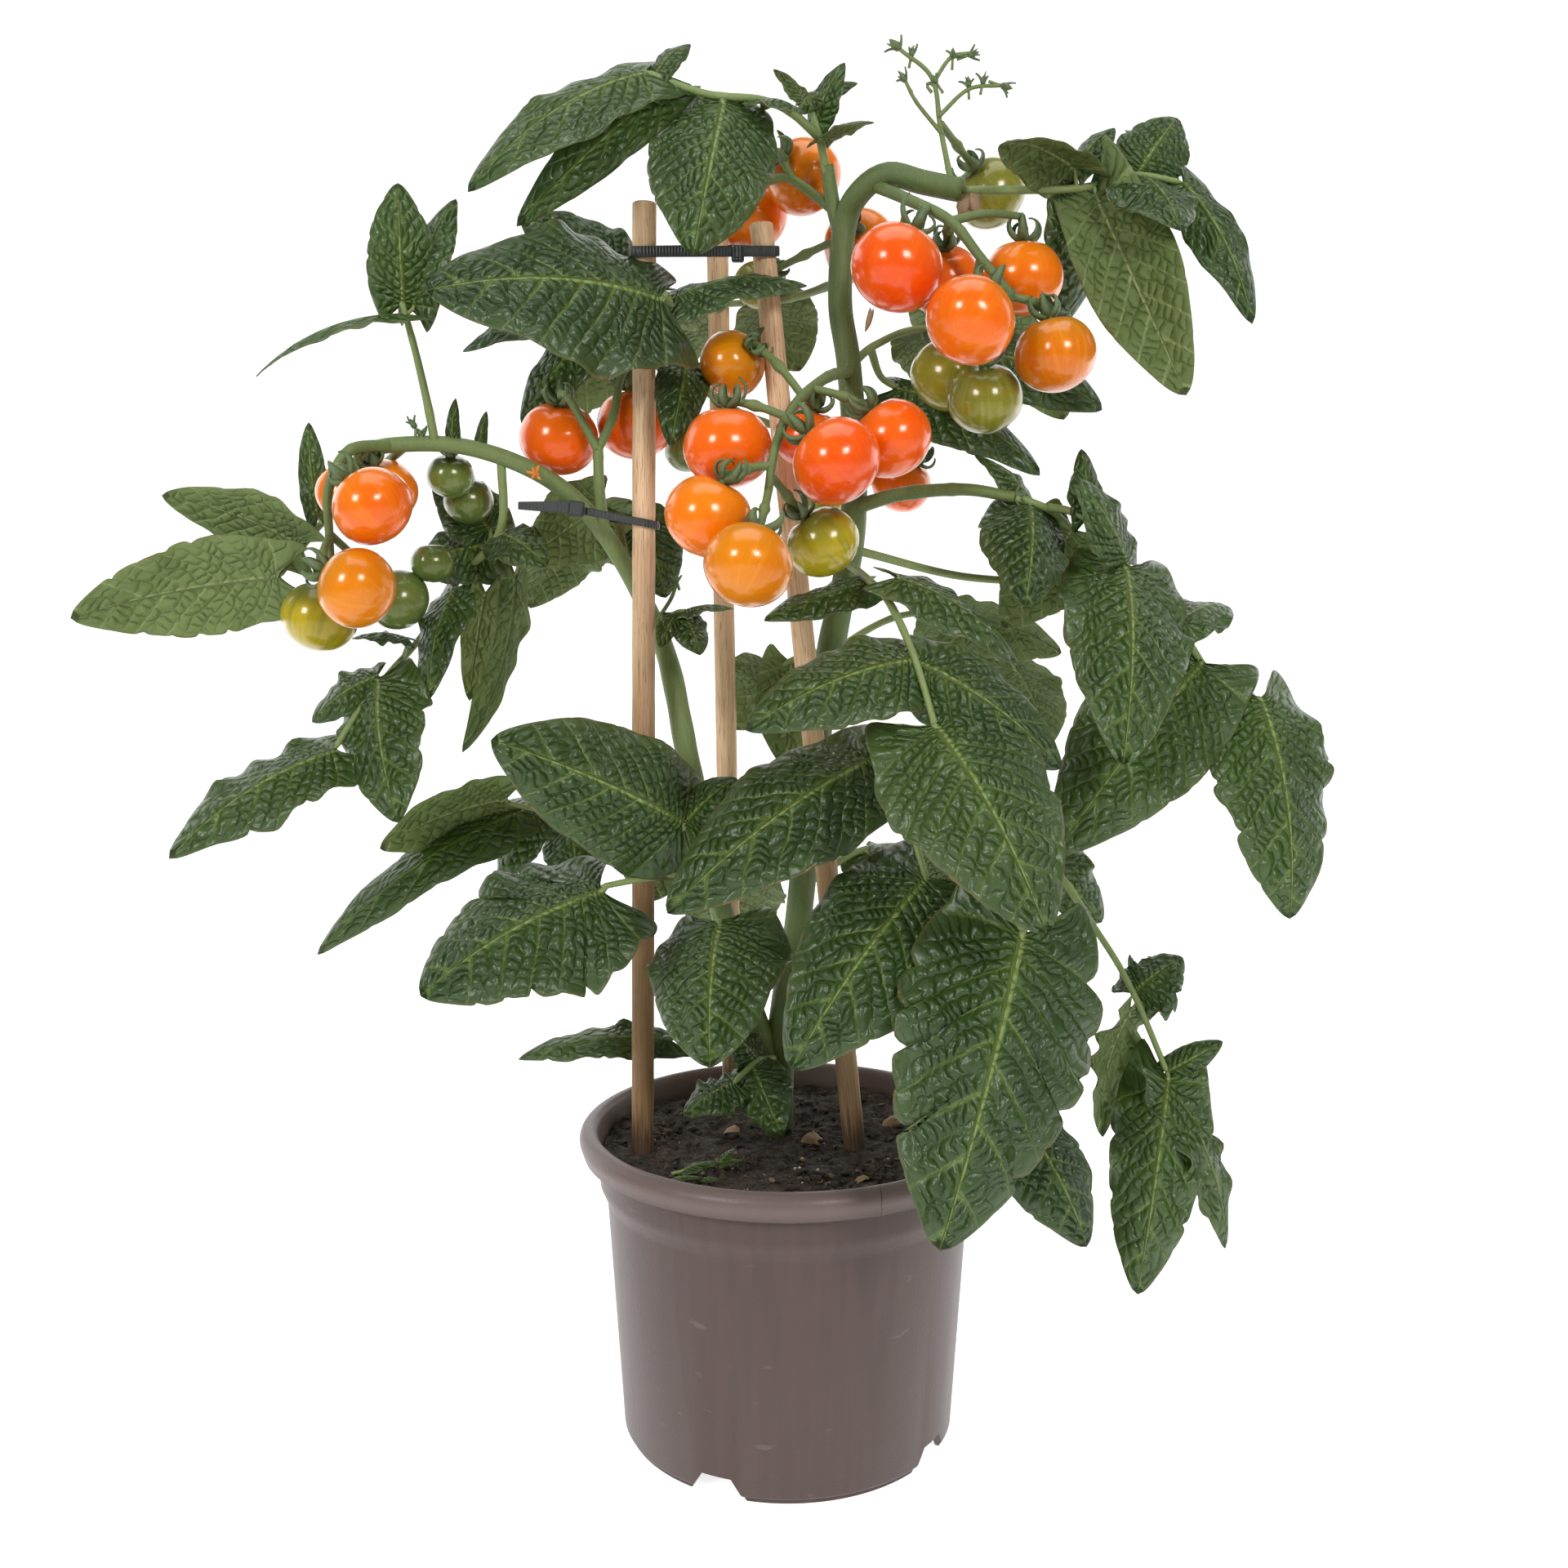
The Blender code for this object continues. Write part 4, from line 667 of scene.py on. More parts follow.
# %% Peat, bark and perlite
peat = Finish("peat", roughness=0.92)
mix, cloud, spot = peat.start()
kind, chance, _ = peat.parts(peat.mark("mark"))
fine = cloud(spot, 420, 5)
tone = mix(fine.between(0.3, 0.72), (0.010, 0.0065, 0.0045), (0.052, 0.034, 0.023))
tone = mix(cloud(spot, 130, 3).between(0.55, 0.7) * 0.5, tone, (0.075, 0.05, 0.033))
flecks = cloud(spot, 700, 3).between(0.66, 0.71)
tone = mix(flecks * 0.7, tone, (0.22, 0.17, 0.11))
bark = mix(chance, (0.085, 0.048, 0.026), (0.19, 0.125, 0.07))
perlite = mix(chance, (0.42, 0.38, 0.28), (0.62, 0.58, 0.46))
tone = mix(kind.between(0.5, 0.9), tone, bark)
tone = mix(kind.between(1.5, 1.9), tone, perlite)
peat.set(tone, None, fine, 0.0011)
print("peat has", len(peat.tree.nodes), "nodes")

# %% Crumbs
STREW_SEED = 41
Crumb = namedtuple("Crumb", "kind count smallest largest flat")
CRUMBS = (
    # kind 0 is peat, 1 bark, 2 perlite; flat is height over width
    Crumb(0, 620, 0.6, 2.3, 0.7),
    Crumb(1, 170, 0.5, 1.7, 0.35),
    Crumb(2, 60, 0.3, 0.85, 0.85),
)
PATCH_SHARE = 0.4            # of the crumbs lie in these patches, given as x, y and reach
LUMP_PATCHES = ((-45, -42, 16), (-30, -30, 12), (12, -52, 14), (40, -38, 12), (-58, 10, 12))


def lump(middle, size, flat, rng):
    """A small stone-like lump: a ball of few corners with each one pushed in or out."""
    points, faces = turned([(0, -1), (0.8, -0.55), (1, 0.1), (0.7, 0.7), (0, 1)], 6)
    spin = Matrix.Rotation(rng.uniform(0, 6.3), 3, "Z")
    spin = spin @ Matrix.Rotation(rng.uniform(-0.5, 0.5), 3, "X")
    lengthen = rng.uniform(0.7, 1.5)
    placed = []
    for p in points:
        p = Vector((p[0] * lengthen, p[1], p[2] * flat)) * size * rng.uniform(0.75, 1.2)
        placed.append(Vector(middle) + spin @ p)
    return placed, faces


def strew(bed, rng):
    """Crumbs all over the bed, and more of them in a few crumbly patches."""
    for crumb in CRUMBS:
        for _ in range(crumb.count):
            if rng.random() < PATCH_SHARE:
                x, y, reach = rng.choice(LUMP_PATCHES)
                x, y = rng.gauss(x, reach / 2), rng.gauss(y, reach / 2)
            else:
                turn, radius = rng.uniform(0, 2 * math.pi), SOIL_RADIUS * math.sqrt(rng.random())
                x, y = radius * math.cos(turn), radius * math.sin(turn)
            if math.hypot(x, y) > SOIL_RADIUS - 2.5:
                continue
            size = crumb.smallest + (crumb.largest - crumb.smallest) * rng.random() ** 2.2
            middle = (x, y, soil_height(x, y) + 0.3 * size)
            points, faces = lump(middle, size, crumb.flat, rng)
            bed.add(points, faces, mark=(crumb.kind, rng.random(), 0))


strew(bed, random.Random(STREW_SEED))
bed.piece("soil_bed", [peat], "soil", ["soil"], sharp=50)
print("soil bed and crumbs:", len(bed.faces), "faces")

# %% [markdown]
# ## The stakes
# The three stakes are split from pale wood and turned round, 10 mm thick, with the top sawn flat.
# They show long upright fibres, they are darker lower down, and the foot is stained where it stood
# in wet soil. A stake leans, so the fibres have to follow the stake and not the Z axis: each point
# keeps its own place across and along the stake as a mark. A second mark keeps its height and how
# far its stake has darkened.

# %% Where the stakes stand
STAKE_RADIUS = 5.1
STAKE_DEPTH = 100.0          # how far a stake goes into the soil
STAKES = {
    # where the stake leaves the soil, and the middle of its top
    "stake_left": ((-66.3, -11.0, 133.0), (-60.6, -20.0, 549.0)),
    "stake_right": ((30.8, -11.0, 133.0), (-11.6, -5.0, 544.0)),
    "stake_back": ((-27.5, 60.0, 133.0), (-32.6, 44.0, 550.0)),
}
STAKE_DARKENING = (1.0, 0.75, 0.15)  # how far each has darkened in its lower half
STAKE_SIDES = 28
STAKE_RINGS = 46
STAKE_WANDER = 0.16          # how much thinner the wood is in places
TOP_BEVEL = 0.5
STAKE_SEED = 5


def stake_ends(name):
    """The middle of a stake's pushed-in end and of its top."""
    ground, top = (Vector(p) for p in STAKES[name])
    along = (top - ground).normalized()
    return ground - along * STAKE_DEPTH, top


for stake_name in STAKES:
    foot, top = stake_ends(stake_name)
    print(stake_name, round((top - foot).length), "mm long")

# %% Stake wood
stake_wood = Finish("stake_wood", roughness=0.62, specular_ior_level=0.3)
mix, cloud = stake_wood.mix, stake_wood.cloud
up, darkening, _ = stake_wood.parts(stake_wood.mark("grain"))
grain_place = stake_wood.mark("grain_place")
fibres = cloud(stake_wood.stretch(grain_place, (1.0, 1.0, 0.02)), 1500, 3)
pores = cloud(stake_wood.stretch(grain_place, (1.0, 1.0, 0.045)), 2600, 2)
pores = pores.between(0.60, 0.72)
bands = cloud(stake_wood.stretch(grain_place, (1.0, 1.0, 0.05)), 230, 2)
tone = mix(fibres.between(0.25, 0.75), (0.62, 0.41, 0.23), (0.84, 0.61, 0.39))
tone = mix(bands.between(0.4, 0.7) * 0.5, tone, (0.54, 0.33, 0.17))
# The lower part of each stake is darker, by the amount given for that stake.
lower = 1 - up.between(0.29, 0.40)
tone = mix(lower * darkening * 0.8, tone, (0.17, 0.080, 0.018))
tone = mix(pores * 0.55, tone, (0.22, 0.12, 0.06))
foot = 1 - (up + (fibres - 0.5) * 0.03).between(0.136, 0.156)
tone = mix(foot * 0.88, tone, (0.050, 0.030, 0.020))
stake_wood.set(tone, None, fibres + pores * -0.8, 0.0003)
print("stake wood has", len(stake_wood.tree.nodes), "nodes")


# %% Stakes
def make_stake(number, name, rng):
    """A rod whose thickness wanders a little, with a small bevel at the sawn top."""
    foot, top = stake_ends(name)
    along, side, other = axes_about(top - foot)
    line = [foot.lerp(top, k / (STAKE_RINGS - 1)) for k in range(STAKE_RINGS)]
    line[-1:] = [top - along * TOP_BEVEL, top]
    radii = [STAKE_RADIUS - rng.uniform(0.0, STAKE_WANDER) for _ in line]
    radii[-1] -= TOP_BEVEL
    points, faces = tube(line, radii, STAKE_SIDES)
    marks, places = [], []
    for p in points:
        out = p - foot
        marks.append((p.z * MM, STAKE_DARKENING[number], 0.0))
        places.append((out.dot(side) * MM + number * 0.3, out.dot(other) * MM, out.dot(along) * MM))
    rod = Shape("grain", "grain_place")
    rod.add(points, faces, grain=marks, grain_place=places)
    rod.piece(name + "_rod", [stake_wood], "stake_wood", [name], sharp=40)


stake_rng = random.Random(STAKE_SEED)
for number, stake_name in enumerate(STAKES):
    make_stake(number, stake_name, stake_rng)
print("stakes:", ", ".join(STAKES))

# %% [markdown]
# ## The cable ties
# One plastic tie holds the three stakes together near the top, and a second one holds the left branch
# to the left stake. A tie is a flat strap with fine teeth inside and a square lock that it is pulled
# through. The strap runs straight from stake to stake and bends round each one, which is the convex
# outline of the three circles. So we work out that outline and sweep a flat, round-edged section
# along it.

# %% Tie plastic
tie_plastic = Finish("tie_plastic", roughness=0.42)
mix, cloud, spot = tie_plastic.start()
tone = mix(cloud(spot, 160, 2), (0.018, 0.023, 0.021), (0.040, 0.048, 0.045))
x, y, _ = tie_plastic.parts(spot)
ribs = ((x + y * 0.6) * 4200).sine()
tie_plastic.set(tone, 0.36 + cloud(spot, 300, 2) * 0.16, ribs, 0.00012)
print("tie plastic has", len(tie_plastic.tree.nodes), "nodes")

# %% Straps and locks
STRAP_THICKNESS = 1.2
STRAP_CORNERS = 32           # of each round that a strap is pulled over
# across the strap: out from the stake in thicknesses, and up in heights
STRAP_SECTION = ((0, -0.5), (0.7, -0.5), (1, -0.36), (1, 0.36), (0.7, 0.5), (0, 0.5))


def stake_middle(name, level):
    """Where a stake's middle line passes a level."""
    foot, top = stake_ends(name)
    return foot.lerp(top, (level - foot.z) / (top.z - foot.z))


def outer_line(points):
    """The convex outline of points in a plane, counterclockwise."""
    ordered = sorted(set(points))

    def chain(run):
        kept = []
        for p in run:
            while len(kept) > 1:
                a, b = kept[-2:]
                if (b[0] - a[0]) * (p[1] - a[1]) - (b[1] - a[1]) * (p[0] - a[0]) > 0:
                    break
                kept.pop()
            kept.append(p)
        return kept[:-1]

    return chain(ordered) + chain(ordered[::-1])


def strap(shape, rounds, level, height):
    """A flat strap pulled round circles given as middle x, y and radius. Its middle lies at the
    level that a place gives, and height is its own."""
    ring = []
    for x, y, radius in rounds:
        for k in range(STRAP_CORNERS):
            turn = 2 * math.pi * (k + 0.5) / STRAP_CORNERS
            ring.append((round(x + radius * math.cos(turn), 4), round(y + radius * math.sin(turn), 4)))
    ring = outer_line(ring)
    count = len(ring)
    sides = len(STRAP_SECTION)
    points, faces = [], []
    for k, (x, y) in enumerate(ring):
        along = (Vector(ring[(k + 1) % count]) - Vector(ring[k - 1])).normalized()
        for push, lift in STRAP_SECTION:
            spot = Vector((x, y)) + Vector((along.y, -along.x)) * push * STRAP_THICKNESS
            points.append((spot.x, spot.y, level(spot.x, spot.y) + lift * height))
        here, there = k * sides, (k + 1) % count * sides
        for j in range(sides):
            nxt = (j + 1) % sides
            faces.append((here + j, there + j, there + nxt, here + nxt))
    shape.add(points, faces)


def soft_block(shape, middle, size, tilt=0.0, taper=1.0):
    """A block with rounded edges; taper narrows its left end."""
    turn = Matrix.Rotation(math.radians(tilt), 3, "Y")
    edge = min(size) * 0.16
    half = Vector(size) / 2
    points = []
    levels = [(-half.x, -edge), (-half.x + edge, 0.0), (half.x - edge, 0.0), (half.x, -edge)]
    corner_run = ((1, 1), (-1, 1), (-1, -1), (1, -1))
    for x, inset in levels:
        narrow = taper if x < 0 else 1.0
        for sy, sz in corner_run:
            wide, tall = half.y * narrow + inset, half.z * narrow + inset
            spots = [(sy * wide, sz * (tall - edge)), (sy * (wide - edge), sz * tall)]
            for y, z in spots if sy * sz > 0 else spots[::-1]:
                points.append(Vector(middle) + turn @ Vector((x, y, z)))
    shape.add(points, ring_faces(len(levels), 2 * len(corner_run)))


print("a strap has", len(STRAP_SECTION), "sides and is", STRAP_THICKNESS, "mm thick")

# %% Two ties
TIE_TOP_LEVEL = 531.0
TIE_TOP_TILT = 0.24
TIE_TOP_HEIGHT = 4.6
TIE_BRANCH_LEVEL = 421.0
TIE_BRANCH_TILT = -0.2
TIE_BRANCH_HEIGHT = 3.4
TIE_REACH = STAKE_RADIUS + 0.6  # from a stake's middle to the inside of a strap
BRANCH_ROUND = (-89.5, -7.5, 10.5)  # where the strap goes round the branch


def make_tie_top():
    """The strap round the three stakes, with its lock in front."""
    def level(x, y):
        return TIE_TOP_LEVEL + TIE_TOP_TILT * (y + 12)

    rounds = []
    for name in STAKES:
        middle = stake_middle(name, TIE_TOP_LEVEL)
        middle = stake_middle(name, level(middle.x, middle.y))
        rounds.append((middle.x, middle.y, TIE_REACH))
    tie = Shape()
    strap(tie, rounds, level, TIE_TOP_HEIGHT)
    left, right = rounds[:2]
    lock_y = right[1] + (left[1] - right[1]) * 0.22 - TIE_REACH - STRAP_THICKNESS
    soft_block(tie, (right[0] - 11, lock_y, TIE_TOP_LEVEL - 1.8), (5.4, 3.8, 6.8))
    soft_block(tie, (right[0] - 11, lock_y - 1.5, TIE_TOP_LEVEL - 1.8), (3.2, 1.6, 4.2))
    tie.piece("tie_top_strap", [tie_plastic], "tie_plastic", ["tie_top"], sharp=35)


def make_tie_branch():
    """The strap round the left stake and the branch, with its lock and its loose end."""
    def level(x, y):
        return TIE_BRANCH_LEVEL + TIE_BRANCH_TILT * (x + 89)

    stake = stake_middle("stake_left", TIE_BRANCH_LEVEL - 5)
    tie = Shape()
    strap(tie, [(stake.x, stake.y, TIE_REACH), BRANCH_ROUND], level, TIE_BRANCH_HEIGHT)
    soft_block(tie, (-91, -20.6, TIE_BRANCH_LEVEL + 0.6), (6.6, 4.6, 6.6), 8)
    soft_block(tie, (-104, -21.5, TIE_BRANCH_LEVEL + 1.5), (24, 1.4, 5.6), 2, 0.6)
    tie.piece("tie_branch_strap", [tie_plastic], "tie_plastic", ["tie_branch"], sharp=35)


make_tie_top()
make_tie_branch()
print("ties at", TIE_TOP_LEVEL, "and", TIE_BRANCH_LEVEL, "mm")

# %% [markdown]
# ## Stems and branches
# A tomato stem is round, soft and covered in short hairs, and it swells a little where a branch
# leaves it. Two branches rise from the soil, tied to the stakes, and thin stalks carry the fruit.
# Each run below is a listed line of points with a thickness at each end. We thread a smooth
# curve through the points and sweep a circle along it, with slight swellings, so that no part of a
# stem is a plain cylinder.

# %% Where the stems run
# The thickness at each end, as a radius, how pale the stem is, and the points that it runs through.
# Main stems and their arms are darker, the thin stalks are paler.
Stem = namedtuple("Stem", "start end pale points")
STEMS = {
    "right_branch": Stem(6.8, 5.0, 0.0, (
        (-4, 12, 92), (-4, 12, 142), (-3, 13, 180), (4, 14, 226), (10, 15, 283), (18, 12, 351),
        (27, 8, 399), (30, 4, 440), (27, 3, 485), (23, 4, 513), (25, 3, 546), (32, -6, 558),
        (43, -11, 563), (57, -14, 559), (74, -16, 555))),
    "left_branch": Stem(6.0, 3.2, 0.55, (
        (-4, 12, 158), (-14, 10, 185), (-24, 8, 215), (-36, 0, 267), (-45, -2, 312),
        (-54, 3, 356), (-66, 4, 385), (-80, -2, 410), (-96, -10, 429), (-116, -18, 441),
        (-141, -24, 448), (-168, -26, 448), (-181, -32, 444))),
    "crown": Stem(3.6, 3.0, 0.2, ((24, 4, 540), (20, 4, 553), (17, 0, 570))),
    "truss_top": Stem(2.4, 1.8, 0.4, ((20, 4, 552), (11, 8, 560), (0, 12, 568), (-8, 14, 567))),
    "truss_front": Stem(2.6, 1.8, 0.3, (
        (28, 2, 483), (16, -25, 476), (3, -48, 462), (-5, -60, 444), (-8, -62, 426))),
    "truss_right": Stem(2.8, 1.8, 0.25, (
        (36, -7, 560), (50, -25, 549), (67, -34, 538), (79, -40, 522), (92, -42, 506))),
    "truss_right_arm": Stem(2.0, 1.5, 0.3, ((67, -34, 538), (82, -30, 542), (98, -22, 543))),
    "truss_mid": Stem(2.8, 2.2, 0.5, ((-81, -3, 411), (-82, -13, 430), (-82, -16, 449))),
    "truss_mid_left": Stem(2.0, 1.6, 0.4, ((-82, -16, 447), (-88, -17, 458), (-95, -15, 470))),
    "truss_mid_right": Stem(2.0, 1.6, 0.4, (
        (-82, -16, 447), (-76, -10, 462), (-72, -2, 482), (-60, 12, 489), (-48, 26, 478))),
    "truss_left": Stem(2.6, 1.8, 0.5, (
        (-168, -26, 448), (-182, -42, 444), (-190, -46, 428), (-191, -44, 408))),
    "truss_back": Stem(2.6, 2.0, 0.4, ((29, 5, 452), (34, 28, 468), (36, 48, 466))),
    "side_shoot": Stem(3.4, 2.4, 0.25, ((30, 4, 424), (50, -6, 429), (76, -18, 430), (97, -26, 426))),
    "flower_spray": Stem(1.4, 0.9, 0.6, ((70, -14, 556), (66, 0, 585), (62, 0, 606), (48, 0, 618))),
    "flower_arm": Stem(1.0, 0.8, 0.6, ((65, 0, 590), (78, 2, 602), (92, 0, 603))),
    "flower_arm_low": Stem(1.0, 0.8, 0.6, ((67, -1, 582), (55, -6, 594), (50, -8, 602))),
    "flower_arm_high": Stem(1.0, 0.8, 0.6, ((62, 0, 603), (70, 2, 615), (78, 2, 617))),
    "node_leaf_stalk": Stem(1.2, 0.9, 0.4, ((-58, 2, 370), (-50, -8, 377), (-45, -12, 378))),
    "node_bud_stalk": Stem(1.0, 0.8, 0.4, ((-60, 3, 372), (-52, -5, 383), (-49, -5, 391))),
}
print(len(STEMS), "stems and stalks through", sum(len(stem.points) for stem in STEMS.values()), "points")

# %% Stem green
stem_green = Finish("stem_green", roughness=0.5)
mix, cloud, spot = stem_green.start()
stripes = cloud(stem_green.stretch(spot, (1.0, 1.0, 0.12)), 700, 3)
patches = cloud(spot, 28, 3)
pale, _, _ = stem_green.parts(stem_green.mark("stalk"))
tone = mix(stripes, (0.070, 0.108, 0.026), (0.125, 0.180, 0.045))
tone = mix(patches.between(0.4, 0.7) * 0.5, tone, (0.055, 0.085, 0.026))
pale_tone = mix(stripes, (0.155, 0.215, 0.062), (0.235, 0.300, 0.105))
tone = mix(pale, tone, pale_tone)
fuzz = cloud(spot, 2600, 2)
stem_green.set(tone, 0.42 + fuzz * 0.2, stripes + fuzz * 0.5, 0.00030)
print("stem green has", len(stem_green.tree.nodes), "nodes")

# %% Grow the stems
STEM_SEED = 7
KNOT_SWELLING = 0.10         # of the radius
KNOT_LENGTH = 0.025          # of the length of the stem
THICK_FROM = 4               # a radius; a stem that starts above it is a main stem
THICK_DETAIL = (3.0, 5, 16)  # millimetres from ring to ring, knots, sides
THIN_DETAIL = (1.8, 2, 9)


def swell(count, radii, rng, knots):
    """A thickness for every point, from the first radius to the last, with a few soft knots."""
    start, end = radii
    places = [rng.uniform(0.1, 0.9) for _ in range(knots)]
    made = []
    for k in range(count):
        share = k / max(1, count - 1)
        knot = sum(math.exp(-((share - place) / KNOT_LENGTH) ** 2) for place in places)
        made.append((start + (end - start) * share) * (1 + KNOT_SWELLING * knot))
    return made


def grow_stems(shape, rng):
    """Put every stem into the shape; gives the runs that hairs will grow on."""
    hairy = []
    for stem in STEMS.values():
        step, knots, sides = THICK_DETAIL if stem.start > THICK_FROM else THIN_DETAIL
        line = smooth_line(stem.points, step)
        radii = swell(len(line), (stem.start, stem.end), rng, knots)
        shape.add(*tube(line, radii, sides), stalk=(stem.pale, 0.0, 0.0))
        hairy.append((line, radii))
    return hairy


stalks = Shape("stalk")
hairy_runs = grow_stems(stalks, random.Random(STEM_SEED))
print("stems:", len(stalks.faces), "faces")

# %% [markdown]
# ## Fruit
# A cherry tomato is a ball a little wider than it is tall, sunk in round the stalk. Its skin is
# thin, tight and glossy over soft flesh. So its finish has a softer gloss below and a sharp clear
# one on top, and the colour runs from green round the stalk to orange below as it ripens. Unripe
# fruit has faint upright stripes. Each ball keeps a mark of three numbers for that: how far down
# from the stalk a point is, where it is round the stalk, and a random number for the whole fruit.

# %% Where the fruit hangs
Fruit = namedtuple("Fruit", "centre radius colour top joint")
FRUITS = {
    # node: one or more fruit grown against each other; top points to the stalk,
    # and joint is where its own stalk leaves the truss
    "fruit_front_1": [Fruit((-25, -46, 445), 18.4, "red", (0.0, 0.0, 1.0), (0, -53, 456))],
    "fruit_front_2": [Fruit((-32, -67, 415.5), 17.8, "orange", (0.5, -0.1, 1.0), (-6, -61, 436))],
    "fruit_front_3": [Fruit((-15.5, -91, 395.5), 17.5, "yellow", (0.3, 0.5, 1.0), (-8, -62, 426))],
    "fruit_front_4": [Fruit((19, -70, 437), 18.1, "red", (-0.8, 0.2, 0.8), (-2, -55, 455))],
    "fruit_front_5": [Fruit((43, -42, 449), 17.0, "red", (-0.7, 0.1, 0.9), (10, -37, 470))],
    "fruit_front_6": [Fruit((14.5, -44, 406.5), 15.4, "turning", (-0.7, -0.2, 0.9), (-7, -61, 432))],
    "fruit_front_7": [Fruit((-24, -12, 484), 14.5, "yellow", (0.7, -0.6, 0.4), (6, -43, 466))],
    "fruit_front_8": [Fruit((8, -28, 451), 14.1, "red", (0.3, -0.3, 1.0), (12, -32, 472))],
    "fruit_right_1": [Fruit((44, -50, 516), 18.9, "red", (0.4, 0.1, 0.9), (58, -30, 545))],
    "fruit_right_2": [Fruit((67, -12, 519), 16.2, "red", (0.0, -0.6, 0.9), (66, -34, 539))],
    "fruit_right_3": [Fruit((72, -67, 492), 17.9, "orange", (0.6, 0.5, 0.8), (92, -42, 506))],
    "fruit_right_4": [Fruit((100, -17, 519), 17.1, "orange", (0.0, 0.0, 1.0), (98, -22, 543))],
    "fruit_right_5": [Fruit((110, -43, 483), 16.9, "yellow", (-0.2, 0.0, 1.0), (92, -42, 506))],
    "fruit_right_green": [Fruit((83, -30, 467), 16.0, "green", (-0.1, -0.5, 1.0), (90, -41, 508)),
                          Fruit((70, -7, 480), 16.6, "green", (0.3, -0.6, 1.0), (79, -40, 522))],
    "fruit_right_6": [Fruit((33, 37, 545), 17.2, "orange", (-0.3, -0.9, 0.3), (24, 4, 545))],
    "fruit_top_1": [Fruit((7, 28, 573), 17.4, "orange", (-0.6, -0.8, 0.4), (2, 11, 567))],
    "fruit_top_2": [Fruit((-17, 53, 562), 17.4, "orange", (-0.4, -0.7, 0.7), (-8, 14, 567))],
    "fruit_top_green": [Fruit((92, 33, 567), 16.3, "green", (-0.6, -0.6, 0.6), (66, 0, 587))],
    "fruit_left_1": [Fruit((-168, -62, 420), 16.4, "orange", (-0.7, 0.1, 0.8), (-186, -44, 438))],
    "fruit_left_2": [Fruit((-174, -66, 387), 16.4, "yellow", (-0.9, 0.2, 0.4), (-191, -44, 408))],
    "fruit_left_3": [Fruit((-197, -40, 375.5), 15.9, "turning", (0.3, 0.0, 1.0), (-191, -44, 408))],
    "fruit_left_back": [Fruit((-174, -20, 429), 14.8, "orange", (-0.2, -0.6, 1.0), (-176, -35, 446)),
                        Fruit((-190, -19, 428), 13.3, "orange", (0.5, -0.6, 0.8), (-180, -38, 444))],
    "fruit_left_green_1": [Fruit((-148, -6, 437), 10.5, "unripe", (0.1, -0.4, 1.0), (-146, -25, 449)),
                           Fruit((-143, 7, 427), 11.2, "unripe", None, None)],
    "fruit_left_green_2": [Fruit((-171, -12, 383), 13.7, "unripe", (-0.6, -0.7, 0.8), (-191, -44, 410)),
                           Fruit((-156, -10, 399), 9.5, "unripe", None, None)],
    "fruit_mid_1": [Fruit((-101, 1, 454), 17.5, "red", (0.1, -0.4, 1.0), (-95, -15, 470))],
    "fruit_mid_2": [Fruit((-68, 12, 462), 17.6, "red", (-0.2, -0.2, 1.0), (-72, -2, 482))],
    "fruit_mid_green": [Fruit((-46, 32, 452), 11.0, "unripe", (0.0, -0.1, 1.0), (-48, 26, 478))],
    "fruit_centre_green": [Fruit((-14, 36, 527), 11.0, "green", (0.8, -0.6, 0.5), (22, 5, 540))],
    "fruit_back_bunch": [Fruit((34, 72, 452), 15.5, "orange", (0.0, -0.5, 1.0), (36, 48, 466)),
                         Fruit((55, 63, 440), 15.0, "red", (0.7, -0.5, 0.9), (36, 48, 466)),
                         Fruit((17, 62, 437), 14.6, "green", (-0.8, -0.5, 0.8), (34, 32, 468))],
}
sizes = [2 * fruit.radius for bunch in FRUITS.values() for fruit in bunch]
print(len(sizes), "fruit,", min(sizes), "to", max(sizes), "mm across")

# %% Fruit skin
WARM_GLOSS = (1.0, 0.50, 0.10, 1.0)
SKIN_GLOSS = {"roughness": 0.30, "coat_weight": 0.9, "coat_roughness": 0.17,
              "specular_ior_level": 0.3, "specular_tint": WARM_GLOSS}


def fruit_skin(name, low, high, shoulder, stripe, stripe_share, shoulder_share):
    """Skin that varies between two colours, with a shoulder colour and upright stripes."""
    skin = Finish(name, **SKIN_GLOSS)
    mix, cloud, spot = skin.start()
    down, around, chance = skin.parts(skin.mark("ripeness"))
    patch = cloud(spot, 55, 3)
    tone = mix((patch - 0.5) * 1.6 + chance, low, high)
    upright = skin.node("CombineXYZ", {}, {0: around * 2.4, 1: down * 0.5, 2: chance * 9})
    streak = cloud(upright, 2.6, 3)
    tone = mix(streak.between(0.48, 0.66) * stripe_share, tone, stripe)
    top = 1 - (down + (patch - 0.5) * 0.35).between(0.10, 0.62)
    tone = mix(top * shoulder_share, tone, shoulder)
    freckles = cloud(spot, 1500, 2).between(0.62, 0.72)
    tone = mix(freckles * 0.10, tone, (0.9, 0.75, 0.4))
    end_dot = down.between(0.978, 0.990)
    tone = mix(end_dot * 0.8, tone, (0.10, 0.05, 0.02))
    dimples = cloud(spot, 240, 2)
    return skin.set(tone, 0.30 + patch * 0.10, dimples, 0.00008)


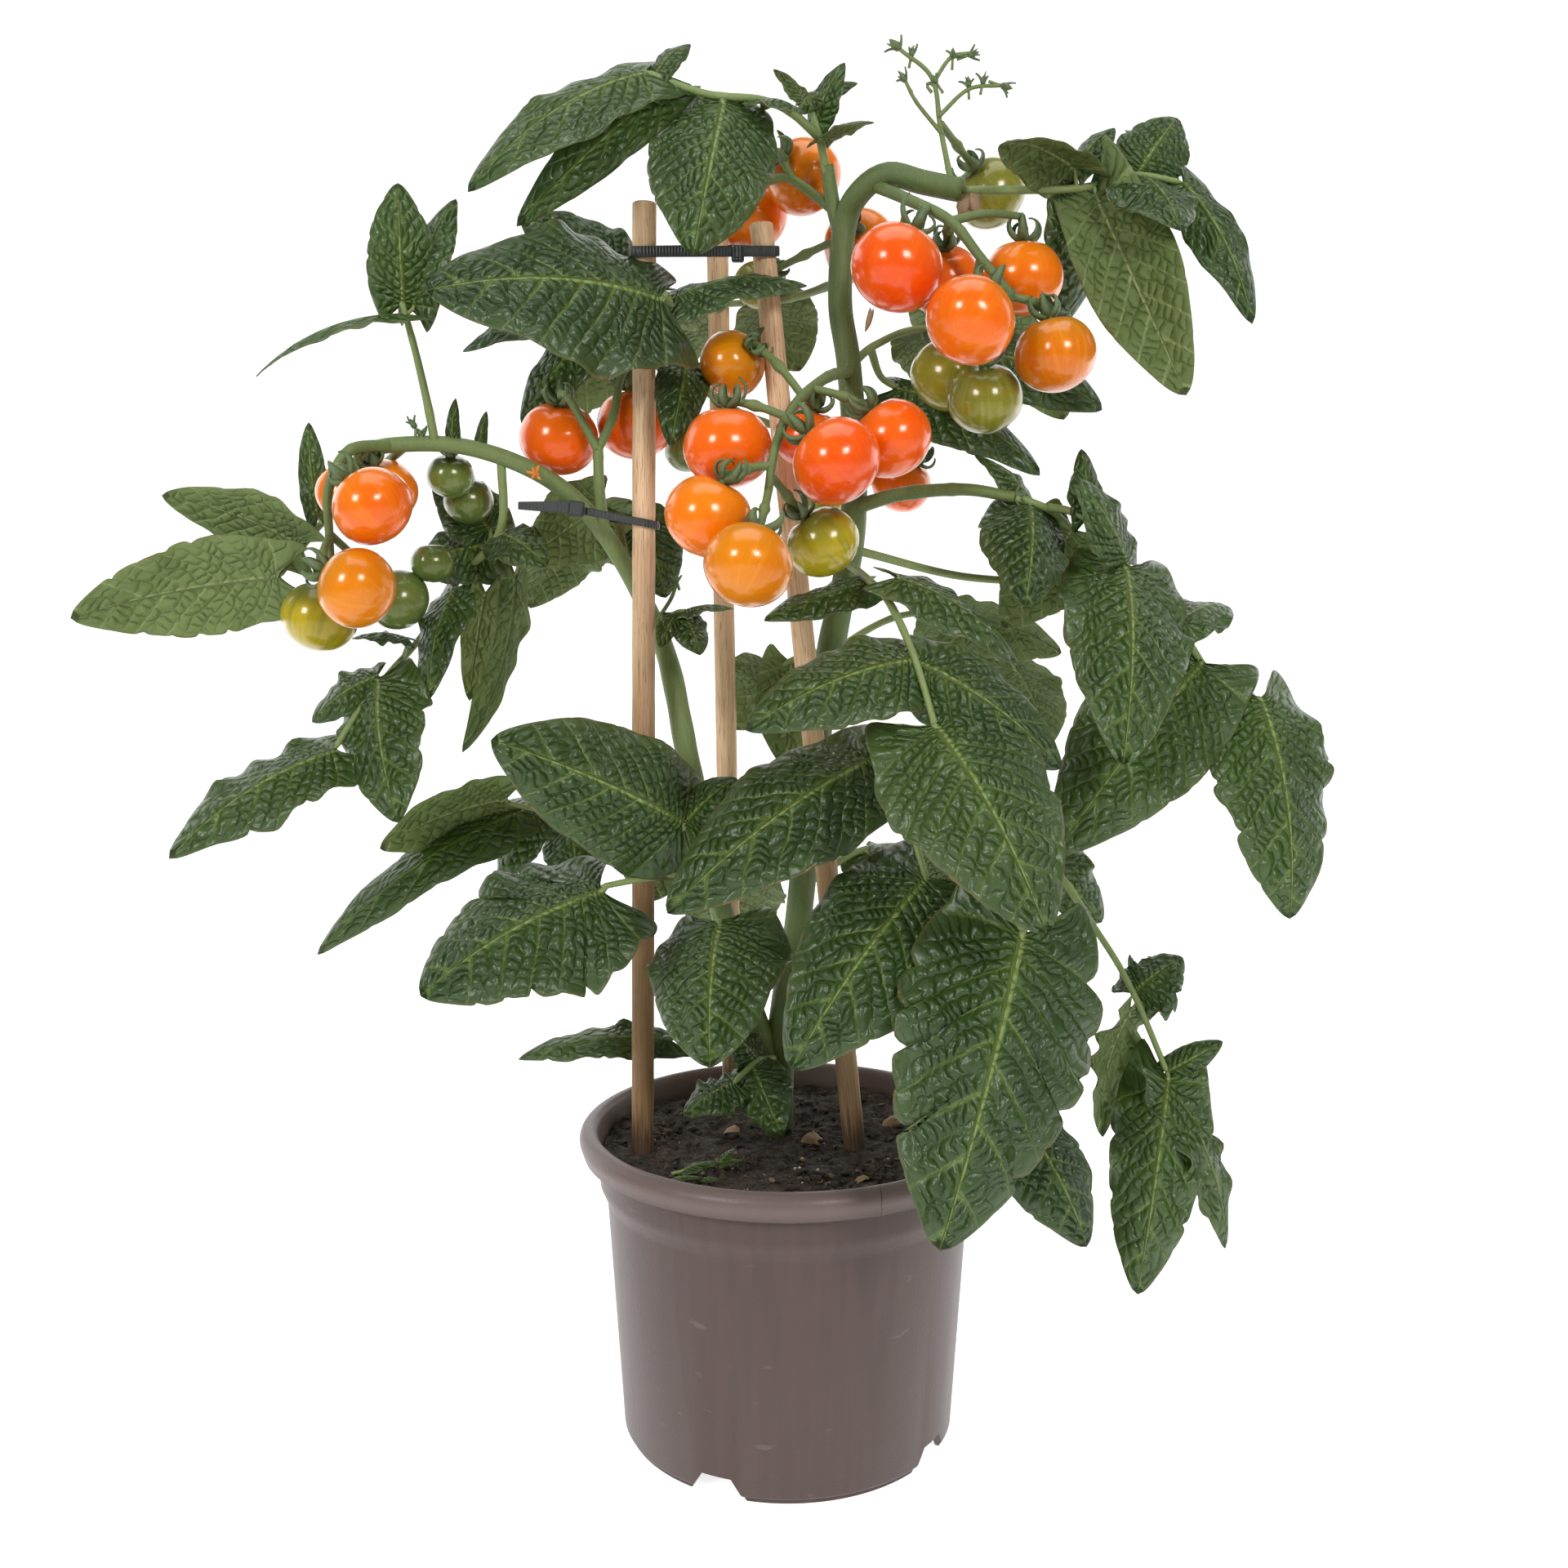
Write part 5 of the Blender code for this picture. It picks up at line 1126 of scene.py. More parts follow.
SKIN_TONES = {
    # two colours of the skin, its shoulder, its stripes, the share of the stripes and of the shoulder
    "red": ((0.84, 0.072, 0.001), (0.90, 0.125, 0.001), (0.86, 0.17, 0.002),
            (0.92, 0.15, 0.002), 0.3, 0.5),
    "orange": ((0.84, 0.120, 0.001), (0.90, 0.190, 0.001), (0.78, 0.25, 0.002),
               (0.92, 0.24, 0.002), 0.35, 0.5),
    "yellow": ((0.68, 0.150, 0.001), (0.74, 0.215, 0.001), (0.40, 0.24, 0.006),
               (0.76, 0.30, 0.006), 0.4, 0.35),
    "turning": ((0.36, 0.29, 0.008), (0.50, 0.38, 0.010), (0.085, 0.115, 0.016),
                (0.20, 0.21, 0.025), 0.6, 0.85),
    "green": ((0.19, 0.185, 0.012), (0.30, 0.27, 0.018), (0.095, 0.13, 0.025),
              (0.29, 0.30, 0.075), 0.55, 0.5),
    "unripe": ((0.070, 0.120, 0.022), (0.115, 0.170, 0.034), (0.045, 0.085, 0.020),
               (0.17, 0.22, 0.07), 0.4, 0.5),
}
SKINS = {colour: fruit_skin("fruit_" + colour, *tones) for colour, tones in SKIN_TONES.items()}
SLOTS = {"unripe": "green"}  # the youngest fruit wear the slot of the green ones
print(len(SKINS), "skins of", len(SKINS["red"].tree.nodes), "nodes each")

# %% Round fruit
FRUIT_SEED = 23
FRUIT_SQUASH = 0.92          # height over width
BALL_SIDES = 44
BALL_RINGS = 30
DIMPLE = 0.13                # depth of the hollow round the stalk, of the radius
DIMPLE_WIDTH = 0.42          # how far it spreads, in radians from the stalk


def ball(fruit, chance):
    """A squashed ball with a dimple; its section is a formula of the angle from the stalk."""
    axis, side, other = axes_about(fruit.top or UP)
    profile = []
    for k in range(BALL_RINGS + 1):
        angle = math.pi * (1 - k / BALL_RINGS)
        hollow = DIMPLE * math.exp(-(angle / DIMPLE_WIDTH) ** 2)
        reach = math.sin(angle) * (1 + 0.012 * math.cos(3 * angle))
        profile.append((abs(reach) * fruit.radius,
                        (math.cos(angle) * FRUIT_SQUASH - hollow) * fruit.radius))
    profile[0] = (0, profile[0][1])
    profile[-1] = (0, profile[-1][1])
    points, faces = turned(profile, BALL_SIDES)
    placed, marks = [], []
    for x, y, z in points:
        around = math.atan2(y, x)
        lobes = 1 + 0.010 * math.cos(3 * around + chance * 9) + 0.006 * math.cos(5 * around)
        placed.append(Vector(fruit.centre) + (side * x + other * y) * lobes + axis * z)
        marks.append((0.5 - 0.5 * z / fruit.radius, around, chance))
    return placed, faces, marks


def grow_fruit(rng):
    """A piece for each fruit, or for each bunch that presses together."""
    for name, bunch in FRUITS.items():
        shape = Shape("ripeness")
        colours = sorted({fruit.colour for fruit in bunch})
        for fruit in bunch:
            points, faces, marks = ball(fruit, rng.random())
            shape.add(points, faces, skin=colours.index(fruit.colour), ripeness=marks)
        slot = "fruit_" + SLOTS.get(bunch[0].colour, bunch[0].colour)
        shape.piece(name + "_skin", [SKINS[colour] for colour in colours], slot, [name])


grow_fruit(random.Random(FRUIT_SEED))
print(len(FRUITS), "pieces of fruit")

# %% [markdown]
# ## Calyxes and stalks
# Each fruit hangs on a short stalk with a knuckle in the middle, where a ripe fruit snaps off. Round
# the foot of the stalk sit five or six narrow sepals. They were the green outside of the flower, and
# by now they have curled up off the fruit like claws. A sepal is swept along a curve whose heading
# turns faster and faster towards the tip, with a shallow fold for a section.

# %% Calyx green
calyx_green = Finish("calyx_green", roughness=0.5)
mix, cloud, spot = calyx_green.start()
vary = cloud(spot, 260, 3)
tone = mix(vary, (0.060, 0.105, 0.040), (0.150, 0.210, 0.080))
patches = cloud(spot, 60, 2).between(0.5, 0.7)
tone = mix(patches * 0.5, tone, (0.135, 0.180, 0.065))
calyx_green.set(tone, None, cloud(spot, 1900, 2), 0.0003)
print("calyx green has", len(calyx_green.tree.nodes), "nodes")

# %% Sepals
SEPAL_STEPS = 11
SEPAL_THICKNESS = 0.8
SEPAL_COUNTS = (5, 5, 6, 6)
SEPAL_LENGTHS = (0.74, 1.0)  # of the radius of the fruit
SEPAL_WIDTHS = (5.4, 6.8)
SEPAL_STARTS = (0.0, 0.5)    # how steeply a sepal sets off and how far it curls, in radians
SEPAL_CURLS = (2.2, 3.9)
STALK_RADIUS = 1.6
STALK_KNUCKLE = 0.8          # how much thicker the stalk is at its knuckle, and at its foot
STALK_FOOT = 0.7
CALYX_SEED = 11


def sepal(shape, foot, axis, outward, length, width, start, curl, skin):
    """A curling blade of four-sided section, drawn from its foot outwards."""
    across = axis.cross(outward)
    spot = foot.copy()
    points = []
    for k in range(SEPAL_STEPS):
        share = k / (SEPAL_STEPS - 1)
        heading = start + curl * share ** 1.5
        ahead = outward * math.cos(heading) + axis * math.sin(heading)
        over = axis * math.cos(heading) - outward * math.sin(heading)
        half = width / 2 * (0.55 + 0.45 * min(1, 3 * share)) * (1 - share) ** 0.55 + 0.06
        thick = SEPAL_THICKNESS * (1 - 0.5 * share)
        points += [spot + across * half + over * half * 0.35, spot + over * thick,
                   spot - across * half + over * half * 0.35, spot - over * thick]
        spot = spot + ahead * length / (SEPAL_STEPS - 1)
    shape.add(points, ring_faces(SEPAL_STEPS, 4), skin)


def fruit_stalk(shape, fruit, rng):
    """Sepals, and the stalk with its knuckle, up to where it leaves the truss."""
    axis, side, other = axes_about(fruit.top or UP)
    seat = Vector(fruit.centre) + axis * (FRUIT_SQUASH - DIMPLE + 0.02) * fruit.radius
    count = rng.choice(SEPAL_COUNTS)
    turn = rng.uniform(0, 2 * math.pi)
    for k in range(count):
        angle = turn + 2 * math.pi * (k + rng.uniform(-0.2, 0.2)) / count
        outward = side * math.cos(angle) + other * math.sin(angle)
        foot = seat + outward * 0.8 + axis * 0.6
        sepal(shape, foot, axis, outward, fruit.radius * rng.uniform(*SEPAL_LENGTHS),
              rng.uniform(*SEPAL_WIDTHS), rng.uniform(*SEPAL_STARTS), rng.uniform(*SEPAL_CURLS), 1)
    joint = Vector(fruit.joint)
    bend = seat.lerp(joint, 0.5) + axis * 3
    line = smooth_line([seat - axis * 0.5, seat + axis * 3.5, bend, joint], 1.1)
    radii = []
    for k in range(len(line)):
        share = k / (len(line) - 1)
        knuckle = math.exp(-((share - 0.52) / 0.075) ** 2)
        foot = math.exp(-(share / 0.10) ** 2)
        radii.append(STALK_RADIUS + STALK_KNUCKLE * knuckle + STALK_FOOT * foot + 0.15 * share)
    shape.add(*tube(line, radii, 9), stalk=(0.45, 0.0, 0.0))
    return line, radii


calyx_rng = random.Random(CALYX_SEED)
for bunch in FRUITS.values():
    for fruit in bunch:
        if fruit.joint:
            hairy_runs.append(fruit_stalk(stalks, fruit, calyx_rng))
print("stem piece so far:", len(stalks.faces), "faces")

# %% [markdown]
# ## How a tomato leaf is built
# One leaf is a rib with several leaflets on it. A leaflet is heart shaped at its stalk and drawn out
# to a tip. Side veins leave the midrib at a slant, smaller veins join them, and between the veins the
# blade puffs up into blisters, because it grows faster than the veins do. That puckered, quilted skin
# is what tells a tomato leaf from any other at a glance, so it is real geometry here.
# We lay out a blade as a fan of rays. Each ray starts on the midrib and runs along a side vein to the
# margin, so rows of points follow the veins by themselves. A blade is closed: an upper and a lower
# skin half a millimetre apart. It keeps two marks for the finish. "net" says where a point lies
# between the side veins, where between the cross veins, and how far out it is. "blade" holds the
# distance from the midrib, a tint that is a little random, and which of the two skins it is on.

# %% Where the leaves are
# A leaflet's face is where its upper side looks; None takes the leaf's own.
Leaflet = namedtuple("Leaflet", "base tip width face cut arch fold",
                     defaults=(None, 0.12, 0.10, 0.35))
# tint goes from 0, the darkest and bluest green, to 1; it is partly the leaf's own green and partly
# painted light, set higher for leaves in full light or lit from behind; a limp leaf has deeper waves
Leaf = namedtuple("Leaf", "ribs face leaflets tint limp", defaults=(0.4, 1.0))
FRONT = (0.0, -1.0, 0.5)
TOP = (0.0, -0.2, 1.0)
UNDER = (-0.1, 0.7, 0.7)
BACK = (0.0, 0.8, 0.6)

SPROUTS = [
    # small leaves that grow straight from the stem node
    Leaflet((-47, -11, 377), (-38, -22, 359), 18, TOP),
    Leaflet((-46, -11, 378), (-24, -13, 379), 14, TOP),
    Leaflet((-49, -9, 377), (-55, -26, 362), 11, TOP),
    Leaflet((-143, -24, 448), (-140, -30, 467), 6),
    Leaflet((-132, -22, 446), (-129, -20, 463), 5),
]
LEAVES = {
    "shoot_top": Leaf(face=(-0.3, -1.0, 0.5), tint=0.75, ribs=[
        ((17, 0, 566), (12, -4, 586), (6, -8, 598)),
        ((14, -3, 580), (1, -13, 588), (-12, -22, 590), (-32, -28, 590), (-49, -32, 594),
         (-58, -34, 597)),
    ], leaflets=[
        Leaflet((-58, -34, 597), (-127, -60, 543), 31),
        Leaflet((-50, -32, 592), (-111, -42, 534), 22, (0.3, -1.0, 0.2)),
        Leaflet((-54, -33, 597), (-41, -20, 613), 12),
        Leaflet((-27, -28, 587), (-38, -58, 519), 50, (0.1, -1.0, 0.2), fold=0.5),
        Leaflet((-12, -22, 590), (6, -36, 580), 19, TOP),
        Leaflet((12, -4, 586), (24, -10, 609), 13),
        Leaflet((8, -7, 594), (30, 0, 604), 10),
        Leaflet((14, -3, 580), (36, -22, 581), 14, TOP),
        Leaflet((8, -8, 594), (-6, -20, 603), 12, TOP),
    ]),
    "leaf_top_right": Leaf(face=(0.2, -1.0, 0.6), tint=0.25, ribs=[
        ((74, -16, 555), (98, -17, 555), (120, -15, 556), (134, -12, 559), (149, -10, 563),
         (168, -10, 560)),
    ], leaflets=[
        Leaflet((121, -17, 564), (84, -56, 562), 27, (-0.2, 0.4, 1.0), fold=0.6),
        Leaflet((122, -14, 564), (140, -5, 584), 15, (-0.6, -1.0, 0.6)),
        Leaflet((149, -10, 563), (160, -44, 532), 34, cut=0.25),
        Leaflet((150, -9, 564), (170, 8, 592), 28, cut=0.25),
        Leaflet((169, -10, 560), (197, -22, 499), 24, (0.3, -1.0, 0.2)),
        Leaflet((131, -14, 554), (162, -52, 465), 37, UNDER, cut=0.06),
        Leaflet((126, -12, 554), (124, 22, 506), 30, (0.3, -0.9, 0.2)),
    ]),
    "leaf_behind_truss": Leaf(face=FRONT, ribs=[
        ((27, 3, 485), (40, 16, 497), (61, 24, 505), (88, 30, 497)),
        ((37, 14, 495), (42, 22, 484), (50, 20, 478)),
    ], leaflets=[
        Leaflet((88, 30, 497), (143, 22, 469), 32),
        Leaflet((50, 20, 478), (112, 2, 438), 34, (0.4, -1.0, 0.8)),
        Leaflet((61, 25, 504), (70, 60, 480), 28, TOP),
    ]),
    "leaf_upper_left": Leaf(face=(-0.2, -1.0, 0.6), tint=0.2, ribs=[
        ((29, 4, 452), (10, 28, 458), (-14, 34, 466), (-34, 16, 474), (-44, -8, 485), (-48, -30, 502),
         (-50, -38, 508)),
        ((-45, -12, 488), (-54, 4, 514), (-70, 12, 522)),
    ], leaflets=[
        Leaflet((-52, -42, 505), (-139, -84, 500), 62, (-0.2, -1.0, 0.45), 0.05, fold=0.32),
        Leaflet((-48, -30, 508), (8, -16, 516), 30, (0.0, -0.6, 1.0)),
        Leaflet((-72, 12, 526), (-118, 12, 551), 34),
        Leaflet((-64, 6, 518), (-146, 16, 494), 40, (-0.2, -0.6, 0.9)),
        Leaflet((-44, -10, 485), (-49, -42, 446), 21, (0.2, -1.0, 0.3)),
        Leaflet((-80, 12, 508), (-120, 14, 462), 27, (-0.2, -1.0, 0.4)),
    ]),
    "leaf_far_left_high": Leaf(face=(0.2, -1.0, 0.3), tint=0.8, ribs=[
        ((-150, -25, 447), (-151, -32, 462), (-155, -36, 485), (-160, -38, 506)),
    ], leaflets=[
        Leaflet((-159, -38, 504), (-158, -46, 550), 25, cut=0.2),
        Leaflet((-155, -37, 503), (-138, -30, 548), 20, (-0.4, -1.0, 0.2), cut=0.2),
        Leaflet((-159, -38, 500), (-217, -50, 473), 17, (-0.3, -0.3, 1.0), cut=0.15),
    ]),
    "leaf_far_left": Leaf(face=(-0.1, 1.0, 0.4), tint=0.8, ribs=[
        ((-162, -26, 448), (-183, -2, 438), (-206, 6, 420), (-219, -2, 402), (-222, -15, 393)),
    ], leaflets=[
        Leaflet((-222, -15, 393), (-299, -47, 375), 37, cut=0.2, fold=0.2),
        Leaflet((-214, -9, 407), (-267, -26, 427), 27, (0.1, 1.0, 0.5), fold=0.2),
        Leaflet((-207, -5, 419), (-212, 2, 461), 12, FRONT, cut=0.12),
    ]),
    "leaf_left_low": Leaf(face=(-0.3, -0.9, 0.6), tint=0.5, limp=1.4, ribs=[
        ((-123, -20, 443), (-127, -5, 413), (-150, 14, 392), (-166, 14, 368), (-179, -16, 346),
         (-186, -34, 332), (-192, -42, 320)),
        ((-127, -5, 413), (-122, 12, 400), (-124, 16, 394)),
    ], leaflets=[
        Leaflet((-192, -42, 319), (-249, -80, 279), 34, cut=0.2),
        Leaflet((-178, -23, 348), (-161, -62, 291), 36, cut=0.15),
        Leaflet((-179, -20, 350), (-207, -24, 330), 22, (-0.5, -1.0, 0.6)),
        Leaflet((-168, -8, 366), (-193, -8, 366), 15, TOP),
        Leaflet((-150, 6, 388), (-155, -28, 340), 21),
        Leaflet((-137, 8, 386), (-142, -6, 338), 14, UNDER),
        Leaflet((-124, 16, 394), (-148, 6, 314), 22, (0.6, 0.8, 0.1)),
        Leaflet((-127, -4, 412), (-104, -22, 397), 23, (0.2, -1.0, 0.6)),
        Leaflet((-134, 10, 408), (-170, 16, 398), 30, FRONT),
        Leaflet((-134, 10, 414), (-160, 16, 440), 26, FRONT),
    ]),
    "leaf_mid_left": Leaf(face=UNDER, tint=0.3, ribs=[
        ((-72, 1, 398), (-76, 14, 414), (-84, 20, 424)),
        ((-76, 14, 414), (-66, 22, 420)),
    ], leaflets=[
        Leaflet((-84, 20, 426), (-118, 8, 400), 34, (0.2, 0.8, 0.5), cut=0.1),
        Leaflet((-66, 22, 420), (-56, 20, 384), 26, FRONT),
    ]),
    "leaf_front_left": Leaf(face=(-0.3, -1.0, 0.7), ribs=[
        ((-35, 1, 255), (-42, -28, 264), (-62, -42, 264), (-79, -50, 262)),
        ((-42, -26, 264), (-45, -38, 287)),
        ((-41, -22, 262), (-34, -30, 252), (-30, -32, 243)),
    ], leaflets=[
        Leaflet((-79, -50, 260), (-148, -86, 224), 60, cut=0.25),
        Leaflet((-45, -38, 288), (-120, -72, 326), 54, (0.1, -1.0, 0.4), cut=0.06),
        Leaflet((-45, -37, 286), (-22, -30, 306), 24),
        Leaflet((-30, -32, 243), (-32, -78, 192), 54, cut=0.08, fold=0.3),
    ]),
    "leaf_low_left": Leaf(face=(-0.2, -0.8, 0.8), tint=0.65, ribs=[
        ((-30, 5, 240), (-60, 34, 260), (-103, 34, 279), (-133, 30, 288)),
    ], leaflets=[
        Leaflet((-133, 29, 290), (-185, -2, 271), 30, (-0.1, 1.0, 0.5), cut=0.1),
        Leaflet((-126, 31, 284), (-215, -2, 222), 27, (-0.4, -1.0, 0.7), cut=0.2),
        Leaflet((-103, 34, 279), (-96, 14, 246), 28, cut=0.1),
        Leaflet((-118, 32, 284), (-136, 26, 250), 22, cut=0.15),
        Leaflet((-80, 34, 270), (-84, 70, 262), 26, BACK),
    ]),
    "leaf_front_right": Leaf(face=(0.1, -1.0, 0.7), tint=0.55, ribs=[
        ((27, 8, 399), (34, -35, 391), (41, -65, 381), (49, -90, 360), (56, -105, 334)),
    ], leaflets=[
        Leaflet((56, -105, 334), (94, -140, 261), 57, fold=0.3),
        Leaflet((49, -90, 359), (-16, -112, 333), 37, (-0.1, -0.9, 0.8)),
        Leaflet((50, -91, 358), (106, -97, 317), 35),
        Leaflet((44, -66, 391), (94, -62, 356), 29, (0.3, -0.6, 1.0)),
        Leaflet((34, -32, 390), (-10, -46, 374), 22, (-0.1, -0.7, 1.0), arch=0.04),
    ]),
    "leaf_front_mid": Leaf(face=(-0.2, -1.0, 0.6), tint=0.35, ribs=[
        ((12, 15, 300), (26, -14, 322), (37, -50, 318), (48, -66, 296), (56, -74, 270)),
    ], leaflets=[
        Leaflet((36, -50, 317), (-48, -92, 259), 49),
        Leaflet((56, -74, 270), (1, -107, 200), 56),
    ]),
    "leaf_front_low": Leaf(face=(0.1, -1.0, 0.4), tint=0.1, ribs=[
        ((4, 14, 222), (34, 4, 240), (50, -30, 256), (68, -66, 264), (91, -102, 254)),
        ((84, -92, 258), (94, -94, 215), (94, -98, 178)),
    ], leaflets=[
        Leaflet((91, -103, 253), (57, -134, 138), 66, cut=0.3, arch=0.06),
        Leaflet((93, -98, 176), (117, -112, 130), 33, (0.4, -1.0, 0.4), cut=0.15),
    ]),
    "leaf_right_mid": Leaf(face=(0.2, -1.0, 0.6), tint=0.3, ribs=[
        ((97, -26, 426), (112, -24, 421), (124, -16, 413)),
        ((111, -24, 422), (119, -32, 420), (126, -34, 416)),
    ], leaflets=[
        Leaflet((103, -27, 423), (96, -64, 380), 38, fold=0.6, cut=0.12),
        Leaflet((104, -22, 425), (82, -6, 446), 16, TOP),
        Leaflet((124, -16, 413), (98, 12, 371), 36, (-0.3, 0.6, -0.6)),
        Leaflet((126, -34, 416), (124, -30, 446), 13, cut=0.2),
    ]),
    "leaf_right": Leaf(face=(0.2, -1.0, 0.7), tint=0.7, limp=1.3, ribs=[
        ((31, 6, 405), (80, 24, 394), (124, 22, 392), (146, -14, 396), (161, -38, 377),
         (180, -36, 350), (197, -38, 330)),
    ], leaflets=[
        Leaflet((143, -34, 396), (131, -92, 318), 48, (0.1, -1.0, 0.4), fold=0.3),
        Leaflet((144, -33, 398), (118, -48, 432), 22, (0.5, -1.0, 0.2)),
        Leaflet((175, -39, 356), (110, -64, 278), 53, (0.0, -1.0, 0.7)),
        Leaflet((165, -38, 373), (194, -10, 380), 24, (0.1, -0.6, 1.0)),
        Leaflet((181, -34, 350), (206, -4, 341), 22, (0.1, -0.6, 1.0)),
        Leaflet((200, -40, 341), (208, -64, 251), 48, (0.25, -1.0, 0.2), cut=0.2),
    ]),
    "leaf_low_right": Leaf(face=(0.4, -0.8, 0.5), tint=0.6, limp=2.2, ribs=[
        ((10, 15, 283), (70, 14, 299), (110, -2, 275), (137, -30, 236), (149, -42, 214),
         (162, -52, 182)),
    ], leaflets=[
        Leaflet((113, -6, 272), (144, 2, 236), 30, (-0.3, -1.0, 0.4), fold=0.6),
        Leaflet((149, -42, 214), (172, -34, 228), 26, (0.0, -0.8, 0.8), cut=0.3, fold=0.6),
        Leaflet((148, -40, 206), (137, -42, 150), 24, (-0.5, 0.8, 0.3)),
        Leaflet((162, -54, 180), (147, -72, 92), 38, (-0.2, -1.0, 0.2), cut=0.2, fold=0.5),
        Leaflet((162, -52, 182), (186, -50, 195), 12, (0.0, -1.0, 0.4)),
        Leaflet((163, -54, 178), (187, -60, 107), 22, (0.6, -0.8, 0.2), cut=0.3),
    ]),
    "leaf_foot": Leaf(face=(-0.3, -0.6, 1.0), tint=0.6, limp=1.5, ribs=[
        ((-4, 12, 170), (-14, -6, 174), (-30, 2, 180), (-55, 6, 181)),
        ((-13, -5, 174), (-24, -22, 168)),
    ], leaflets=[
        Leaflet((-55, 6, 180), (-124, -2, 173), 20, cut=0.25),
        Leaflet((-24, -22, 168), (-46, -32, 156), 22, cut=0.15),
        Leaflet((-16, -12, 172), (-3, -40, 150), 24, cut=0.15),
        Leaflet((-13, -7, 174), (-30, -10, 190), 18, cut=0.15),
    ]),
    "leaf_back_low_left": Leaf(face=BACK, ribs=[
        ((-31, 4, 246), (-46, 50, 266), (-44, 90, 262), (-34, 124, 240)),
    ], leaflets=[
        Leaflet((-34, 124, 240), (-22, 168, 190), 52, cut=0.1),
        Leaflet((-49, 78, 262), (-84, 110, 236), 42, cut=0.1),
        Leaflet((-42, 92, 261), (2, 112, 246), 42, cut=0.1),
        Leaflet((-47, 58, 267), (-70, 76, 232), 28, cut=0.1),
    ]),
    "leaf_back_low_right": Leaf(face=(0.3, 0.8, 0.7), ribs=[
        ((6, 14, 250), (36, 50, 262), (68, 88, 256), (92, 112, 232)),
    ], leaflets=[
        Leaflet((92, 112, 232), (122, 142, 176), 52, cut=0.12),
        Leaflet((68, 88, 256), (52, 138, 226), 44, cut=0.12),
        Leaflet((70, 88, 255), (124, 82, 240), 42, cut=0.12),
        Leaflet((39, 47, 261), (61, 30, 232), 30, (0.2, -0.6, 0.8)),
    ]),
    "leaf_back_mid": Leaf(face=(0.4, 0.7, 0.7), tint=0.3, ribs=[
        ((18, 12, 348), (24, 36, 360), (56, 66, 376), (92, 90, 374), (116, 104, 352)),
        ((23, 34, 359), (6, 52, 356), (-6, 62, 350)),
    ], leaflets=[
        Leaflet((116, 102, 352), (139, 125, 307), 41),
        Leaflet((94, 90, 373), (72, 132, 348), 40),
        Leaflet((86, 84, 375), (134, 62, 358), 36),
        Leaflet((-6, 62, 350), (-28, 98, 318), 38),
        Leaflet((2, 58, 353), (-2, 50, 304), 30, (0.1, 1.0, 0.3)),
    ]),
    "leaf_back_top_left": Leaf(face=(-0.3, 0.6, 0.9), ribs=[
        ((24, 4, 522), (-2, 44, 522), (-46, 84, 526), (-84, 96, 514)),
    ], leaflets=[
        Leaflet((-84, 96, 514), (-134, 112, 470), 46),
        Leaflet((-48, 84, 526), (-62, 134, 500), 38),
        Leaflet((-46, 84, 526), (-84, 54, 520), 32, (-0.3, 0.2, 1.0)),
        Leaflet((-10, 50, 523), (6, 84, 496), 36),
    ]),
    "leaf_back_top_right": Leaf(face=(0.3, 0.6, 0.9), ribs=[
        ((25, 4, 532), (54, 44, 530), (84, 74, 534), (108, 90, 520)),
    ], leaflets=[
        Leaflet((108, 90, 520), (142, 112, 476), 42),
        Leaflet((84, 74, 534), (72, 122, 512), 36),
        Leaflet((84, 74, 534), (126, 58, 530), 32),
    ]),
    "leaf_back_left": Leaf(face=(-0.4, 0.7, 0.7), ribs=[
        ((-48, 0, 326), (-64, 34, 374), (-84, 66, 412), (-104, 88, 416)),
    ], leaflets=[
        Leaflet((-104, 90, 418), (-134, 114, 380), 38),
        Leaflet((-86, 72, 424), (-62, 112, 400), 36),
        Leaflet((-84, 70, 424), (-128, 56, 408), 34),
    ]),
}
print(len(LEAVES), "leaves with", sum(len(leaf.leaflets) for leaf in LEAVES.values()), "leaflets")

# %% Leaf finish
# The upper skin is dark green with a waxy gloss, and the veins in it are pale. The lower skin is
# matt and much lighter. A trace of light shines through the blade.
leaf_green = Finish("leaf_green", roughness=0.45, specular_ior_level=0.62)
mix, cloud, spot = leaf_green.start()
vein, cross, out = leaf_green.parts(leaf_green.mark("net"))
rib, tint, under = leaf_green.parts(leaf_green.mark("blade"))
row = (vein * 2).floor()
warp = cloud(spot, 150, 2) - 0.5
blister_x = (vein * 2 + warp * 0.55).fraction()
size = (row * 0.4142 + 0.3).fraction() * 0.7 + 0.7
blister_y = (cross * size + row * 0.618 + (cloud(spot, 115, 2) - 0.5) * 1.5).fraction()
dome = ((blister_x * math.pi).sine() * (blister_y * math.pi).sine()) ** 0.55
side_vein = 1 - ((vein + 0.5).fraction() - 0.5).absolute().between(0.015, 0.100 - out * 0.045)
cross_vein = 1 - dome.between(0.10, 0.42)
midrib = 1 - rib.between(0.55, 1.40)
veins = midrib.most(side_vein * (0.62 - out * 0.38)).most(cross_vein * 0.07)
cells = cloud(spot, 130, 4)
broad = cloud(spot, 24, 2)
# The tint is partly the leaf's own green and partly painted light: it is set higher for leaves in full
# light or lit from behind.
upper = mix(tint, (0.020, 0.052, 0.010), (0.066, 0.122, 0.024))
upper = mix((cells - 0.4) * 0.9, upper, (0.074, 0.128, 0.020))
# Painted sheen: towards the margin the upper skin is mixed towards a paler grey-green.
upper = mix(out.between(0.62, 0.98) * 0.40, upper, (0.085, 0.130, 0.045))
upper = mix(broad.between(0.5, 0.75) * 0.4, upper, (0.022, 0.044, 0.015))
